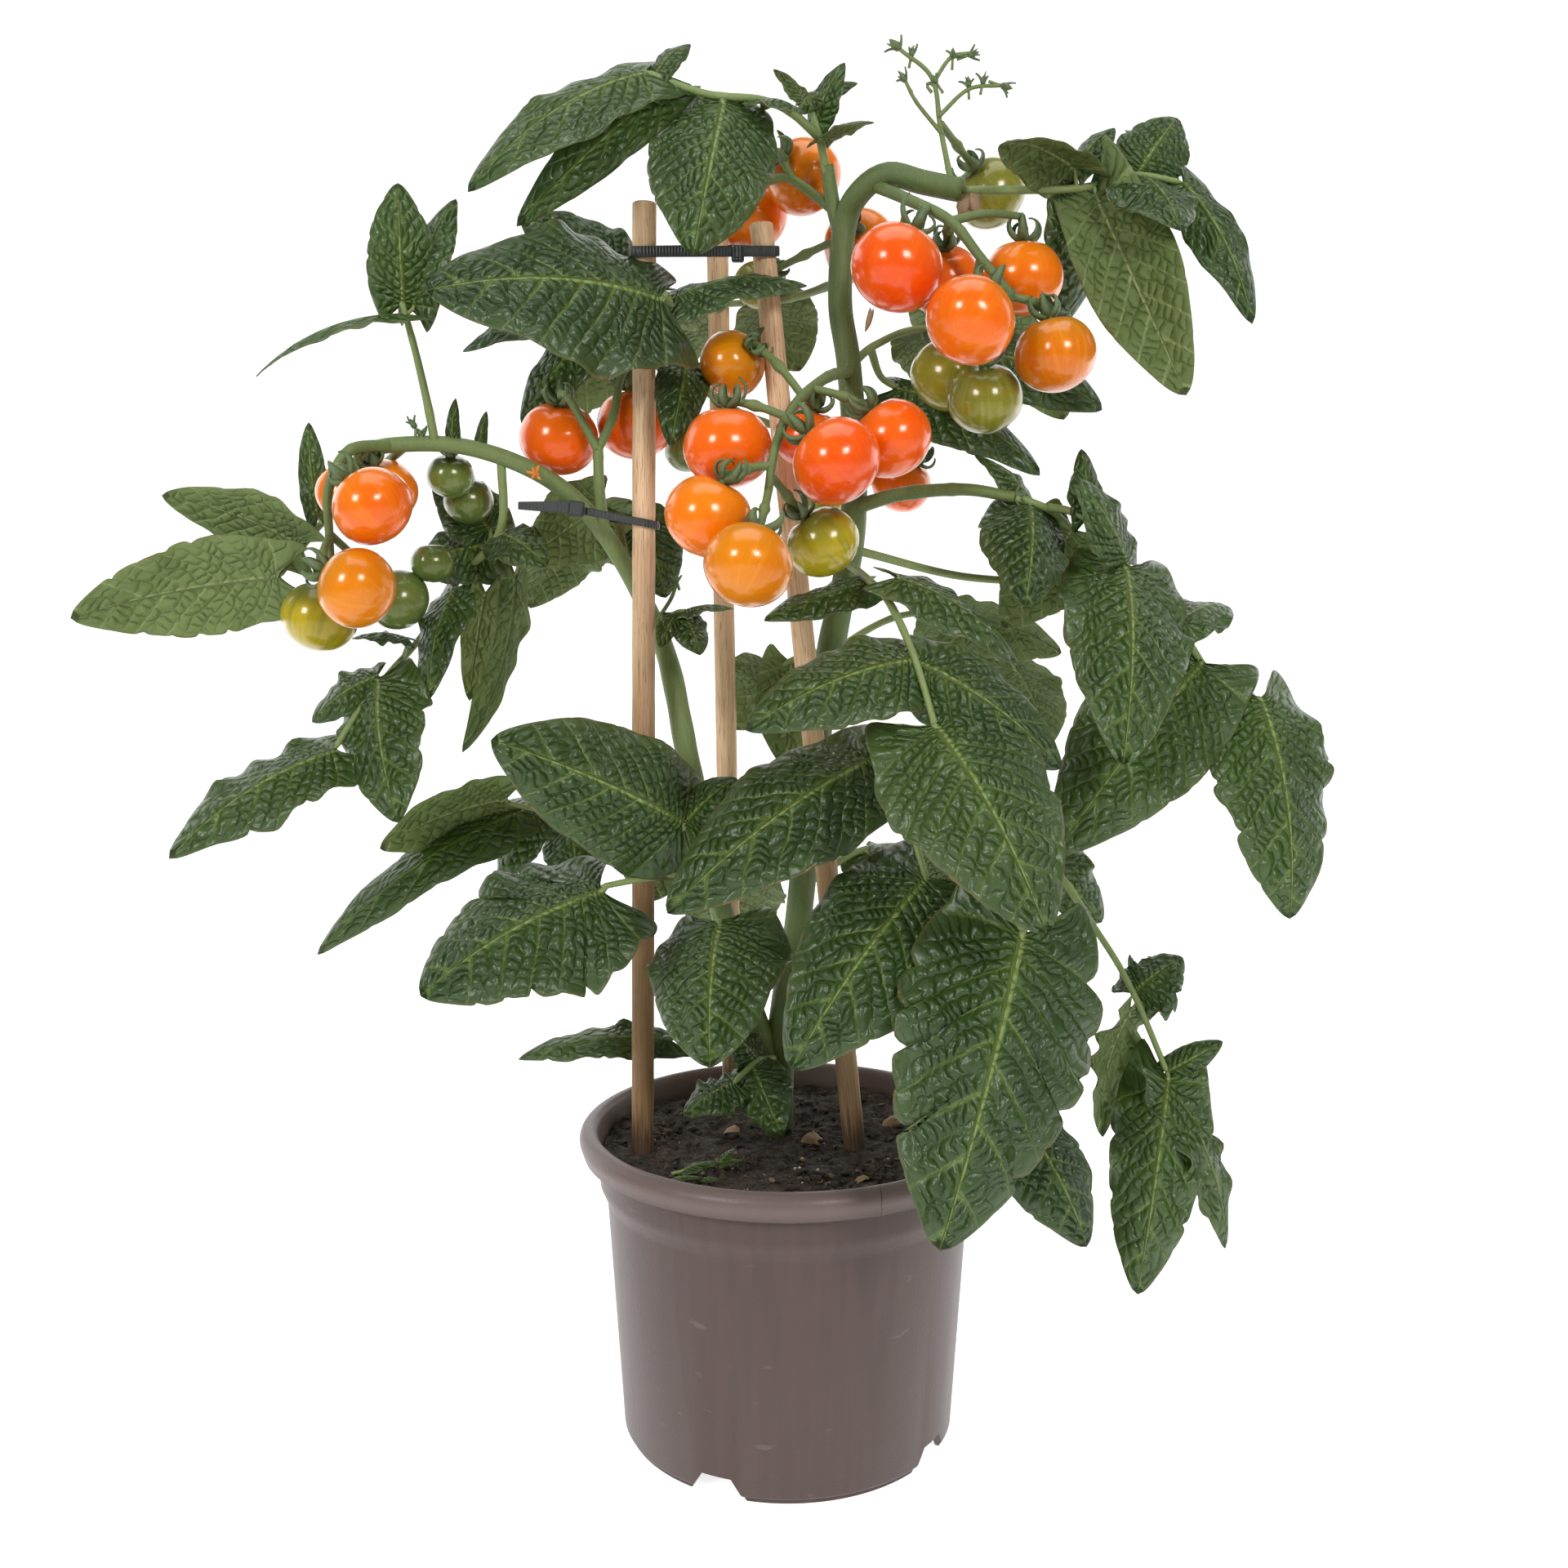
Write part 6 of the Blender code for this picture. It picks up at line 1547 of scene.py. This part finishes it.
# Painted shade: the creases between the blisters are darkened.
upper = mix((1 - dome.between(0.35, 0.85)) * 0.24, upper, (0.014, 0.036, 0.005))
halo = 1 - rib.between(0.5, 6.5)
upper = mix(halo * 0.30, upper, (0.110, 0.185, 0.028))
upper = mix(veins, upper, (0.225, 0.320, 0.070))
lower = mix(tint, (0.085, 0.130, 0.026), (0.190, 0.260, 0.075))
lower = mix((cells - 0.4) * 0.7, lower, (0.180, 0.235, 0.070))
lower = mix(midrib.most(side_vein * 0.75), lower, (0.30, 0.37, 0.14))
tone = mix(under.between(0.45, 0.55), upper, lower)
rim = out.between(0.955, 0.995)
tone = mix(rim * 0.45, tone, (0.17, 0.17, 0.06))
scorch = rim * cloud(spot, 60, 2).between(0.58, 0.66)
tone = mix(scorch * 0.75, tone, (0.23, 0.13, 0.05))
grit = cloud(spot, 1500, 3)
gloss = 0.27 + grit * 0.14 + under.between(0.45, 0.55) * 0.28 + veins * 0.12
relief = dome * (1 - out.between(0.65, 1.0) * 0.75)
leaf_green.set(tone, gloss, relief + grit * 0.07 - midrib * 0.3, 0.0015)
leaf_green.lets_light_through(0.20, (0.25, 0.38, 0.02))
print("leaf finish has", len(leaf_green.tree.nodes), "nodes")

# %% Shape of a leaflet
BREADTH = 1.18               # a blade laid flat is this much wider than it hangs
LOBE_REACH = 0.20            # the two lobes at the base reach back this share of the length
LOBE_PLACE = 0.045           # and they are widest this share of the way along the margin
WAVES = 1.7                  # waves along a leaflet, and finer ones at its margin
RUFFLES = 4.3
WAVE_HEIGHT = 0.10           # of its half width
RUFFLE_HEIGHT = 0.06


def leaf_axes(leaflet, face):
    """Length and the directions along, across and out of the upper side of a leaflet."""
    span = Vector(leaflet.tip) - Vector(leaflet.base)
    along = span.normalized()
    face = Vector(leaflet.face or face)
    out = (face - along * face.dot(along)).normalized()
    return span.length, along, out.cross(along), out


def half_width(leaflet):
    """Half the breadth of a leaflet laid flat."""
    return BREADTH * leaflet.width / 2


def outline(share):
    """Margin of a leaflet, from 0 at its stalk to 1 at its tip: place along, half width."""
    heart = LOBE_REACH * share / LOBE_PLACE * np.exp(1 - share / LOBE_PLACE)
    width = np.sin(math.pi * share ** 0.62) ** 0.6 * (1 - 0.15 * share)
    return share - heart, width / 0.95


def teeth(share, side, leaflet, phase, veins):
    """How much of its width the margin keeps: rounded lobes with sharp notches between them."""
    beat = share * (veins + 0.5) + phase + 0.5 * side
    uneven = 0.65 + 0.5 * np.sin(2.7 * np.floor(beat + 0.5) + 3 * phase)
    notch = (1 - np.abs(np.sin(math.pi * beat))) ** 2.6 * uneven
    active = np.clip((share - 0.05) / 0.12, 0, 1) * np.clip((0.93 - share) / 0.15, 0, 1)
    depth = 0.15 * leaflet.cut + 2.4 * leaflet.cut ** 2
    slow = 0.035 * np.sin(2 * math.pi * (1.3 * share + phase * 1.7) + side)
    return 1 + active * (0.35 * depth - depth * notch + slow)


def leaf_surface(leaflet, axes, phase, a, y, limp=1.0):
    """Middle surface of a leaflet: a share of its length along, y millimetres across."""
    length, along, across, out = (np.array(part) for part in axes)
    half = half_width(leaflet)
    share = y / half
    rise = leaflet.arch * length * 4 * a * (1 - a)
    droop = leaflet.fold * half * (np.sqrt(share ** 2 + 0.04) - 0.2)
    wave = limp * WAVE_HEIGHT * half * share ** 2 * np.sin(
        2 * math.pi * WAVES * a + phase + np.where(y < 0, 2.5, 0.0))
    ruffle = limp ** 2 * RUFFLE_HEIGHT * half * share ** 4 * np.sin(
        2 * math.pi * RUFFLES * a + 2 * phase + np.where(y < 0, 1.1, 0))
    narrow = 1 / math.sqrt(1 + leaflet.fold ** 2)
    return (np.array(leaflet.base) + along * (length * a)[..., None] + across * (y * narrow)[..., None]
            + out * (rise - droop + wave + ruffle)[..., None])


def grid_normals(points):
    """The direction out of a grid of points, row by row."""
    down, side = np.gradient(points, axis=0), np.gradient(points, axis=1)
    normal = np.cross(down, side)
    return normal / np.maximum(np.linalg.norm(normal, axis=-1, keepdims=True), 1e-9)


shares = np.linspace(0, 1, 101)
print("a blade is widest", round(float(shares[outline(shares)[1].argmax()]), 2), "of the way along")

# %% Blades with veins and blisters
BLADE_THICKNESS = 0.5
EDGE_THICKNESS = 0.26
CELL = 4.3                   # millimetres from one cross vein to the next
BLISTER_HEIGHT = 0.6         # of a blister on a broad blade, before its edges are softened
RIDGE_HEIGHTS = (0.25, 0.8)  # of the midrib over the blade and under it, of its half width
# blade width in millimetres up to which: side veins, rows along, columns on each side
DETAIL = ((9, 4, 14, 4), (16, 4, 22, 6), (24, 5, 34, 8), (34, 6, 46, 12), (46, 7, 58, 16),
          (99, 8, 76, 22))


def blister_height(vein, cross):
    """Domes in the same rows as in the finish. They are softer and more even than there, because
    the grid is coarser than the shader."""
    row = np.floor(vein * 2)
    size = np.mod(row * 0.4142 + 0.3, 1.0) * 0.7 + 0.7
    along = np.mod(cross * size + row * 0.618, 1.0)
    dome = np.sin(math.pi * (vein * 2 - row)) * np.sin(math.pi * along)
    return np.maximum(dome, 0) ** 0.7


def drift(a, y, rng, wave, count=5):
    """A smooth random field over the blade, about -1 to 1; its waves are this many millimetres long."""
    total = 0
    for _ in range(count):
        turn, start = rng.uniform(0, 2 * math.pi), rng.uniform(0, 2 * math.pi)
        long = wave * rng.uniform(0.8, 1.5)
        total = total + np.sin(2 * math.pi * (a * math.cos(turn) + y * math.sin(turn)) / long + start)
    return total / math.sqrt(count)


def blade(shape, leaflet, face, phase, rng, puff=1.0, tint=0.5, limp=1.0):
    """A thin closed blade: two grids of points half a millimetre apart, sewn at the margin."""
    axes = leaf_axes(leaflet, face)
    half = half_width(leaflet)
    veins, rows, columns = next(row[1:] for row in DETAIL if leaflet.width <= row[0])
    share = (np.linspace(0, 1, rows + 2)[1:-1] ** 1.15)[:, None]
    reach = np.linspace(-1, 1, 2 * columns + 1)[None, :]
    side = np.where(reach < 0, 1.0, 0.0)
    edge_place, edge_width = outline(share)
    kept = teeth(share, side, leaflet, phase, veins)
    curve = np.abs(reach) ** 1.25
    a = share ** 2.1 + (edge_place - share ** 2.1) * curve
    y = half * reach * edge_width * kept
    middle = leaf_surface(leaflet, axes, phase, a, y, limp)
    normal = grid_normals(middle)

    place = a * axes[0]
    vein = share * veins + 0.5 * side + phase + 0.07 * np.abs(reach) * drift(place, y, rng, 26)
    vein = vein + 0.09 * np.sin(math.pi * vein) ** 2 * drift(place, y, rng, 12)
    cross = (0.72 * np.abs(y) + 0.55 * place) / CELL + 0.24 * drift(place, y, rng, 16)
    cross = cross + 3 * side + phase
    rib_half = (0.45 + leaflet.width / 52) * np.clip(1.15 - a, 0.16, 1)
    rib = np.abs(y) / rib_half
    soft = np.clip(1.06 - np.abs(reach) ** 5, 0, 1) * np.clip(rib - 0.5, 0, 1)
    height = puff * BLISTER_HEIGHT * min(1.4, 0.10 + leaflet.width / 38)
    height = height * (blister_height(vein, cross) - 0.35) * soft
    buckle = puff * min(0.7, leaflet.width / 60)
    height = height + buckle * drift(place, y, rng, 20) * np.abs(reach) * soft
    ridge = np.exp(-(rib / 1.1) ** 2) * rib_half
    thick = EDGE_THICKNESS + (BLADE_THICKNESS - EDGE_THICKNESS) * (1 - np.abs(reach) ** 6)
    over, below = RIDGE_HEIGHTS
    upper = middle + normal * (height + over * ridge)[..., None]
    lower = middle + normal * (height - thick - below * ridge)[..., None]

    count = middle.shape[0] * middle.shape[1]
    tips = leaf_surface(leaflet, axes, phase, np.array([0.0, 1.0]), np.zeros(2))
    sink = np.array(axes[3]) * BLADE_THICKNESS
    points = np.concatenate([upper.reshape(-1, 3), tips, lower.reshape(-1, 3), tips - sink])
    chance = min(1, max(0, tint + rng.uniform(-0.2, 0.2)))
    flat = np.broadcast_to(np.abs(reach), a.shape)
    net = np.stack([vein + 0 * a, cross + 0 * a, flat], -1).reshape(-1, 3)
    net = np.concatenate([net, [[0, 0, 0], [veins, 0, 0.9]]])
    kind = np.stack([rib, chance + 0 * a, 0 * a], -1).reshape(-1, 3)
    kind = np.concatenate([kind, [[0, chance, 0], [0, chance, 0]]])
    under_kind = kind + np.array([0, 0, 1.0])

    wide = 2 * columns + 1
    base, tip = count, count + 1
    skin_faces = []
    for r in range(rows - 1):
        low, high = r * wide, (r + 1) * wide
        skin_faces += [(low + c, high + c, high + c + 1, low + c + 1) for c in range(wide - 1)]
    last = (rows - 1) * wide
    skin_faces += [(base, c, c + 1) for c in range(wide - 1)]
    skin_faces += [(tip, last + c + 1, last + c) for c in range(wide - 1)]
    under = count + 2
    faces = skin_faces + [tuple(c + under for c in face[::-1]) for face in skin_faces]
    border = [base] + [r * wide for r in range(rows)] + [tip]
    border += [r * wide + wide - 1 for r in range(rows - 1, -1, -1)]
    faces += [(p, p + under, q + under, q) for p, q in zip(border, border[1:] + border[:1])]
    shape.add(points, faces, net=np.concatenate([net, net]), blade=np.concatenate([kind, under_kind]))


print("the broadest blades have", 2 * DETAIL[-1][2] * (2 * DETAIL[-1][3] + 1) + 4, "points")

# %% Grow every leaf
RIB_RADII = (2.0, 1.3)
RIB_TIP = 0.7


def nearest_on(line, spot):
    """The point of a run of points that is nearest to a spot."""
    return min(line, key=lambda p: (p - spot).length)


def make_leaf(name, leaf):
    """Round ribs, a short stalk to each leaflet, and the blades."""
    rng = random.Random(name)
    shape = Shape("net", "blade", "stalk")
    lines = []
    for points in leaf.ribs:
        line = smooth_line(points, 2.2)
        lines.append(line)
        radii = swell(len(line), RIB_RADII, rng, 2)
        radii[-1] = RIB_TIP
        shape.add(*tube(line, radii, 9), 1, stalk=(1.0, 0.0, 0.0))
        hairy_runs.append((line, radii))
    for number, leaflet in enumerate(leaf.leaflets):
        phase = random.Random(f"{name} {number}").uniform(0, 2 * math.pi)
        base = Vector(leaflet.base)
        _, along, _, out = leaf_axes(leaflet, leaf.face)
        roots = [nearest_on(line, base - along * 2) for line in lines]
        root = nearest_on(roots, base)
        inner = base + along * min(6.0, 0.12 * leaflet.width) - out * 0.5
        thick = 0.55 + leaflet.width / 75
        if (root - base).length > 1.0:
            sag = root.lerp(base, 0.55) - out * 0.6
            stalk = smooth_line([root, sag, base - out * 0.3, inner], 1.2)
            shape.add(*tube(stalk, (thick * 1.1, thick * 0.8), 8), 1, stalk=(1.0, 0.0, 0.0))
        blade(shape, leaflet, leaf.face, phase, rng, tint=leaf.tint, limp=leaf.limp)
    shape.piece(name + "_blades", [leaf_green, stem_green], "leaf_green", [name])
    return len(shape.faces)


print("leaves:", sum(make_leaf(name, leaf) for name, leaf in LEAVES.items()), "faces")

# %% [markdown]
# ## Buds, shoots and small things
# The tip of the plant ends in a thin spray of flower buds, and small new leaves stand in the forks.
# They are hardly noticed one by one, but a plant without them looks moulded. A bud is a turned drop
# held by four sepals, and it joins the stem's piece. The new leaves are blades like any others.

# %% A bud
BUD_PROFILE = ((0, -0.2), (0.34, 0.05), (0.42, 0.4), (0.26, 0.85), (0, 1.25))


def bud(shape, spot, direction, size, rng):
    """A pointed bud in its narrow sepals."""
    axis, side, other = axes_about(direction)
    points, faces = turned(BUD_PROFILE, 8)
    placed = [Vector(spot) + (side * x + other * y + axis * z) * size for x, y, z in points]
    shape.add(placed, faces, 1)
    for k in range(4):
        angle = 2 * math.pi * k / 4 + rng.random()
        outward = side * math.cos(angle) + other * math.sin(angle)
        sepal(shape, Vector(spot), axis, outward, size * rng.uniform(1.1, 1.7), size * 0.4,
              rng.uniform(0.4, 1.3), rng.uniform(-1.2, 0.9), 1)


print("a bud turned from", len(BUD_PROFILE), "points, with 4 sepals")

# %% Buds and sprouts
BUD_SEED = 3
BUDS = (
    # place, where it points, length
    ((48, 0, 618), (-0.7, 0.0, 0.6), 5.0), ((53, 0, 615), (0.2, -0.4, 1.0), 3.4),
    ((92, 0, 603), (0.9, -0.1, -0.3), 4.2), ((84, 1, 604), (0.2, -0.2, 1.0), 3.2),
    ((78, 2, 603), (-0.1, -0.3, 1.0), 3.6), ((50, -8, 602), (-0.6, -0.2, 0.9), 3.8),
    ((78, 2, 616), (0.8, -0.2, 0.2), 3.8), ((71, 2, 615), (0.0, -0.4, 1.0), 3.4),
    ((64, 0, 604), (-0.6, -0.2, 0.8), 3.6), ((-49, -5, 391), (-0.2, -0.5, 1.0), 3.0),
    ((-51, -5, 388), (0.7, -0.4, 0.6), 2.6), ((-158, -27, 455), (-0.5, -0.4, 1.0), 3.6),
    ((-155, -27, 452), (0.4, -0.4, 0.9), 3.0), ((97, -26, 427), (0.9, -0.3, 0.1), 4.0),
)
TWIGS = (
    # thin stalks that carry a few of the buds
    ((-160, -25, 447), (-158, -27, 452), (-158, -27, 456)),
    ((-160, -25, 448), (-156, -27, 449), (-155, -27, 453)),
    ((62, 0, 600), (60, 0, 603), (64, 0, 605)),
)


def add_twig(points, radii):
    """A thin pale stalk in the stem's piece."""
    stalks.add(*tube(smooth_line(points, 1.0), radii, 7), stalk=(0.7, 0.0, 0.0))


bud_rng = random.Random(BUD_SEED)
for place, direction, size in BUDS:
    foot = Vector(place) - Vector(direction).normalized() * size * 1.4
    add_twig([foot, place], (0.7, 0.55))
    bud(stalks, place, direction, size, bud_rng)
for points in TWIGS:
    add_twig(points, (0.8, 0.6))

sprouts = Shape("net", "blade")
for sprout in SPROUTS:
    blade(sprouts, sprout, FRONT, 0.0, bud_rng)
sprouts.piece("stem_sprouts", [leaf_green], "leaf_green")

stalks.piece("stem_and_stalks", [stem_green, calyx_green], "stem_green", ["stem"])
print(len(BUDS), "buds,", len(SPROUTS), "sprouts; stem piece:", len(stalks.faces), "faces")

# %% [markdown]
# ## Hairs
# Tomato stems feel furry. Short pale hairs stand out all round them and catch the light along the
# edge, which softens the outline. A particle system would not survive an export, so each hair is a
# three-sided spike, a tenth of a millimetre thick, scattered along every stem and rib.

# %% Hairs
HAIR_EVERY = 0.55            # millimetres of stem for each hair
HAIR_LENGTHS = (0.7, 1.9)
HAIR_RADIUS = 0.055
HAIR_SEED = 17
hair_white = Finish("hair_white", roughness=0.5)
mix, cloud, spot = hair_white.start()
hair_white.set(mix(cloud(spot, 90, 2), (0.30, 0.36, 0.19), (0.52, 0.56, 0.38)))


def grow_hairs(runs, rng):
    """Three-sided spikes all round each run, more of them where it is thick."""
    hairs = Shape()
    for line, radii in runs:
        for k in range(len(line) - 1):
            piece = line[k + 1] - line[k]
            along = piece.normalized()
            side = along.orthogonal()
            count = round(piece.length / HAIR_EVERY * min(2.0, 0.4 + radii[k] / 3))
            for _ in range(max(1, count)):
                out = side.copy()
                out.rotate(Matrix.Rotation(rng.uniform(0, 2 * math.pi), 3, along))
                root = line[k] + piece * rng.random() + out * radii[k] * 0.9
                lean = (out + along * rng.uniform(-0.3, 0.3)).normalized()
                across = lean.orthogonal().normalized() * HAIR_RADIUS
                other = lean.cross(across)
                tip = root + lean * rng.uniform(*HAIR_LENGTHS)
                left = root - across * 0.5 + other * 0.87
                right = root - across * 0.5 - other * 0.87
                hairs.add([root + across, left, right, tip], [(2, 1, 0), (0, 1, 3), (1, 2, 3), (2, 0, 3)])
    return hairs


hairs = grow_hairs(hairy_runs, random.Random(HAIR_SEED))
hairs.piece("stem_hairs", [hair_white], "stem_green")
print("hairs:", len(hairs.faces) // 4)

# %% [markdown]
# ## Withered bits
# A dried flower clings to the left branch, curled dead leaflets hang at the top, and shed leaf bits
# lie on the soil. The bits are blades like the living ones, more puckered, in tan and brown. The
# flower is a ring of sepals in orange.

# %% Dead skins
def dead_skin(name, roughness, patches, dark, light, creases, depth):
    """Two tones and creases; patches and creases are the scale and detail of their noise."""
    finish = Finish(name, roughness=roughness)
    mix, cloud, spot = finish.start()
    tone = mix(cloud(spot, *patches), dark, light)
    return finish.set(tone, None, cloud(spot, *creases), depth)


withered = dead_skin("withered", 0.7, (170, 4), (0.16, 0.085, 0.04), (0.42, 0.29, 0.16), (500, 3), 0.0006)
petal_orange = dead_skin("petal_orange", 0.6, (300, 3), (0.45, 0.12, 0.015), (0.85, 0.32, 0.04),
                         (700, 2), 0.0004)
print("two dead skins of", len(withered.tree.nodes), "nodes each")

# %% Withered leaf and flower
SCRAP_SEED = 29
SCRAPS = (
    Leaflet((75, -14, 558), (72, -12, 541), 9, (0.6, -1.0, 0.3), 0.2, 0.35, 0.9),
    Leaflet((78, -15, 556), (81, -17, 543), 8, (-0.7, -1.0, 0.2), 0.2, 0.30, 0.9),
    Leaflet((37, 3, 509), (34, 3, 500), 3, (0.5, -1.0, 0.2), 0.2, 0.10, 0.6),
)
LITTER = (
    Leaflet((16, -2, 134.5), (6, -7, 135.5), 7, (0.1, -0.6, 1.0), 0.2, 0.20, 0.2),
    Leaflet((46, 22, 135.0), (58, 18, 137.0), 8, (0.3, -0.5, 1.0), 0.2, 0.15, 0.5),
    Leaflet((54, 0, 134.5), (62, -6, 134.8), 5, (0.2, -0.4, 1.0), 0.2, 0.2, 0.2),
    Leaflet((-29, 12, 134.5), (-22, 6, 135.5), 5, (0.0, -0.5, 1.0), 0.2, 0.2, 0.3),
    Leaflet((30, -52, 134.2), (35, -50, 134.6), 3, (0.0, -0.3, 1.0), 0.2, 0.2, 0.2),
)


def lay_blades(shape, leaflets, rng, puff=1.0):
    """Loose blades, each with a random place in its pattern."""
    for leaflet in leaflets:
        blade(shape, leaflet, TOP, rng.uniform(0, 6), rng, puff=puff)


scrap_rng = random.Random(SCRAP_SEED)
dead = Shape("net", "blade")
lay_blades(dead, SCRAPS + LITTER, scrap_rng, puff=1.6)
dead.piece("withered_bits", [withered], "leaf_green")

FLOWER_PLACE = Vector((-108, -22.5, 436))
FLOWER_FACE = Vector((0.1, -1.0, -0.2))
PETALS = 6
flower = Shape()
for k in range(PETALS):
    turn = 2 * math.pi * k / PETALS + scrap_rng.uniform(-0.3, 0.3)
    outward = Vector((math.cos(turn), -0.4, math.sin(turn))).normalized()
    axis = (FLOWER_FACE - outward * FLOWER_FACE.dot(outward)).normalized()
    sepal(flower, FLOWER_PLACE, axis, outward, scrap_rng.uniform(3.0, 5.0), 2.2,
          scrap_rng.uniform(-0.4, 0.8), scrap_rng.uniform(-2.0, 2.4), 0)
flower.add(*tube([FLOWER_PLACE + Vector((0, 5, 4)), FLOWER_PLACE], (0.7, 0.9), 7))
flower.piece("dried_flower", [petal_orange], "leaf_green")
print(len(SCRAPS + LITTER), "withered bits and a flower of", PETALS, "petals")

# %% [markdown]
# ## A fallen sprig
# A limp green sprig lies on the soil near the front, torn from the lowest shoots. It is made of the
# same blades and the same kind of rib as the living leaves, only smaller and laid nearly flat.

# %% Fallen sprig
SPRIG = (
    Leaflet((-47, -52, 137.5), (-28, -46, 140.0), 6, TOP, 0.3),
    Leaflet((-30, -47, 139.5), (-23, -40, 144.0), 5, TOP, 0.3),
    Leaflet((-27, -46, 140.0), (-20, -47, 141.0), 4, TOP, 0.3),
    Leaflet((-52, -60, 136.5), (-36, -58, 137.5), 4, TOP, 0.3),
    Leaflet((-36, -58, 137.5), (-29, -60, 137.0), 4, TOP, 0.3),
)
sprig = Shape("net", "blade", "stalk")
lay_blades(sprig, SPRIG, scrap_rng)
sprig_line = smooth_line([(-50, -53, 137.5), (-38, -49, 139), (-28, -46, 140)], 1.5)
sprig.add(*tube(sprig_line, (0.8, 0.6), 7), 1, stalk=(1.0, 0.0, 0.0))
sprig.piece("fallen_sprig", [leaf_green, stem_green], "leaf_green")
print("a sprig of", len(SPRIG), "leaflets")

# %% [markdown]
# ## Measure the dressed plant
# The last lines measure the box that the dressed pieces fill, and print it.

# %% Measure and finish
dressed_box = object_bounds()
for axis, low, high in zip("XYZ", *dressed_box):
    print(axis, round(low / MM, 1), "to", round(high / MM, 1), "mm")
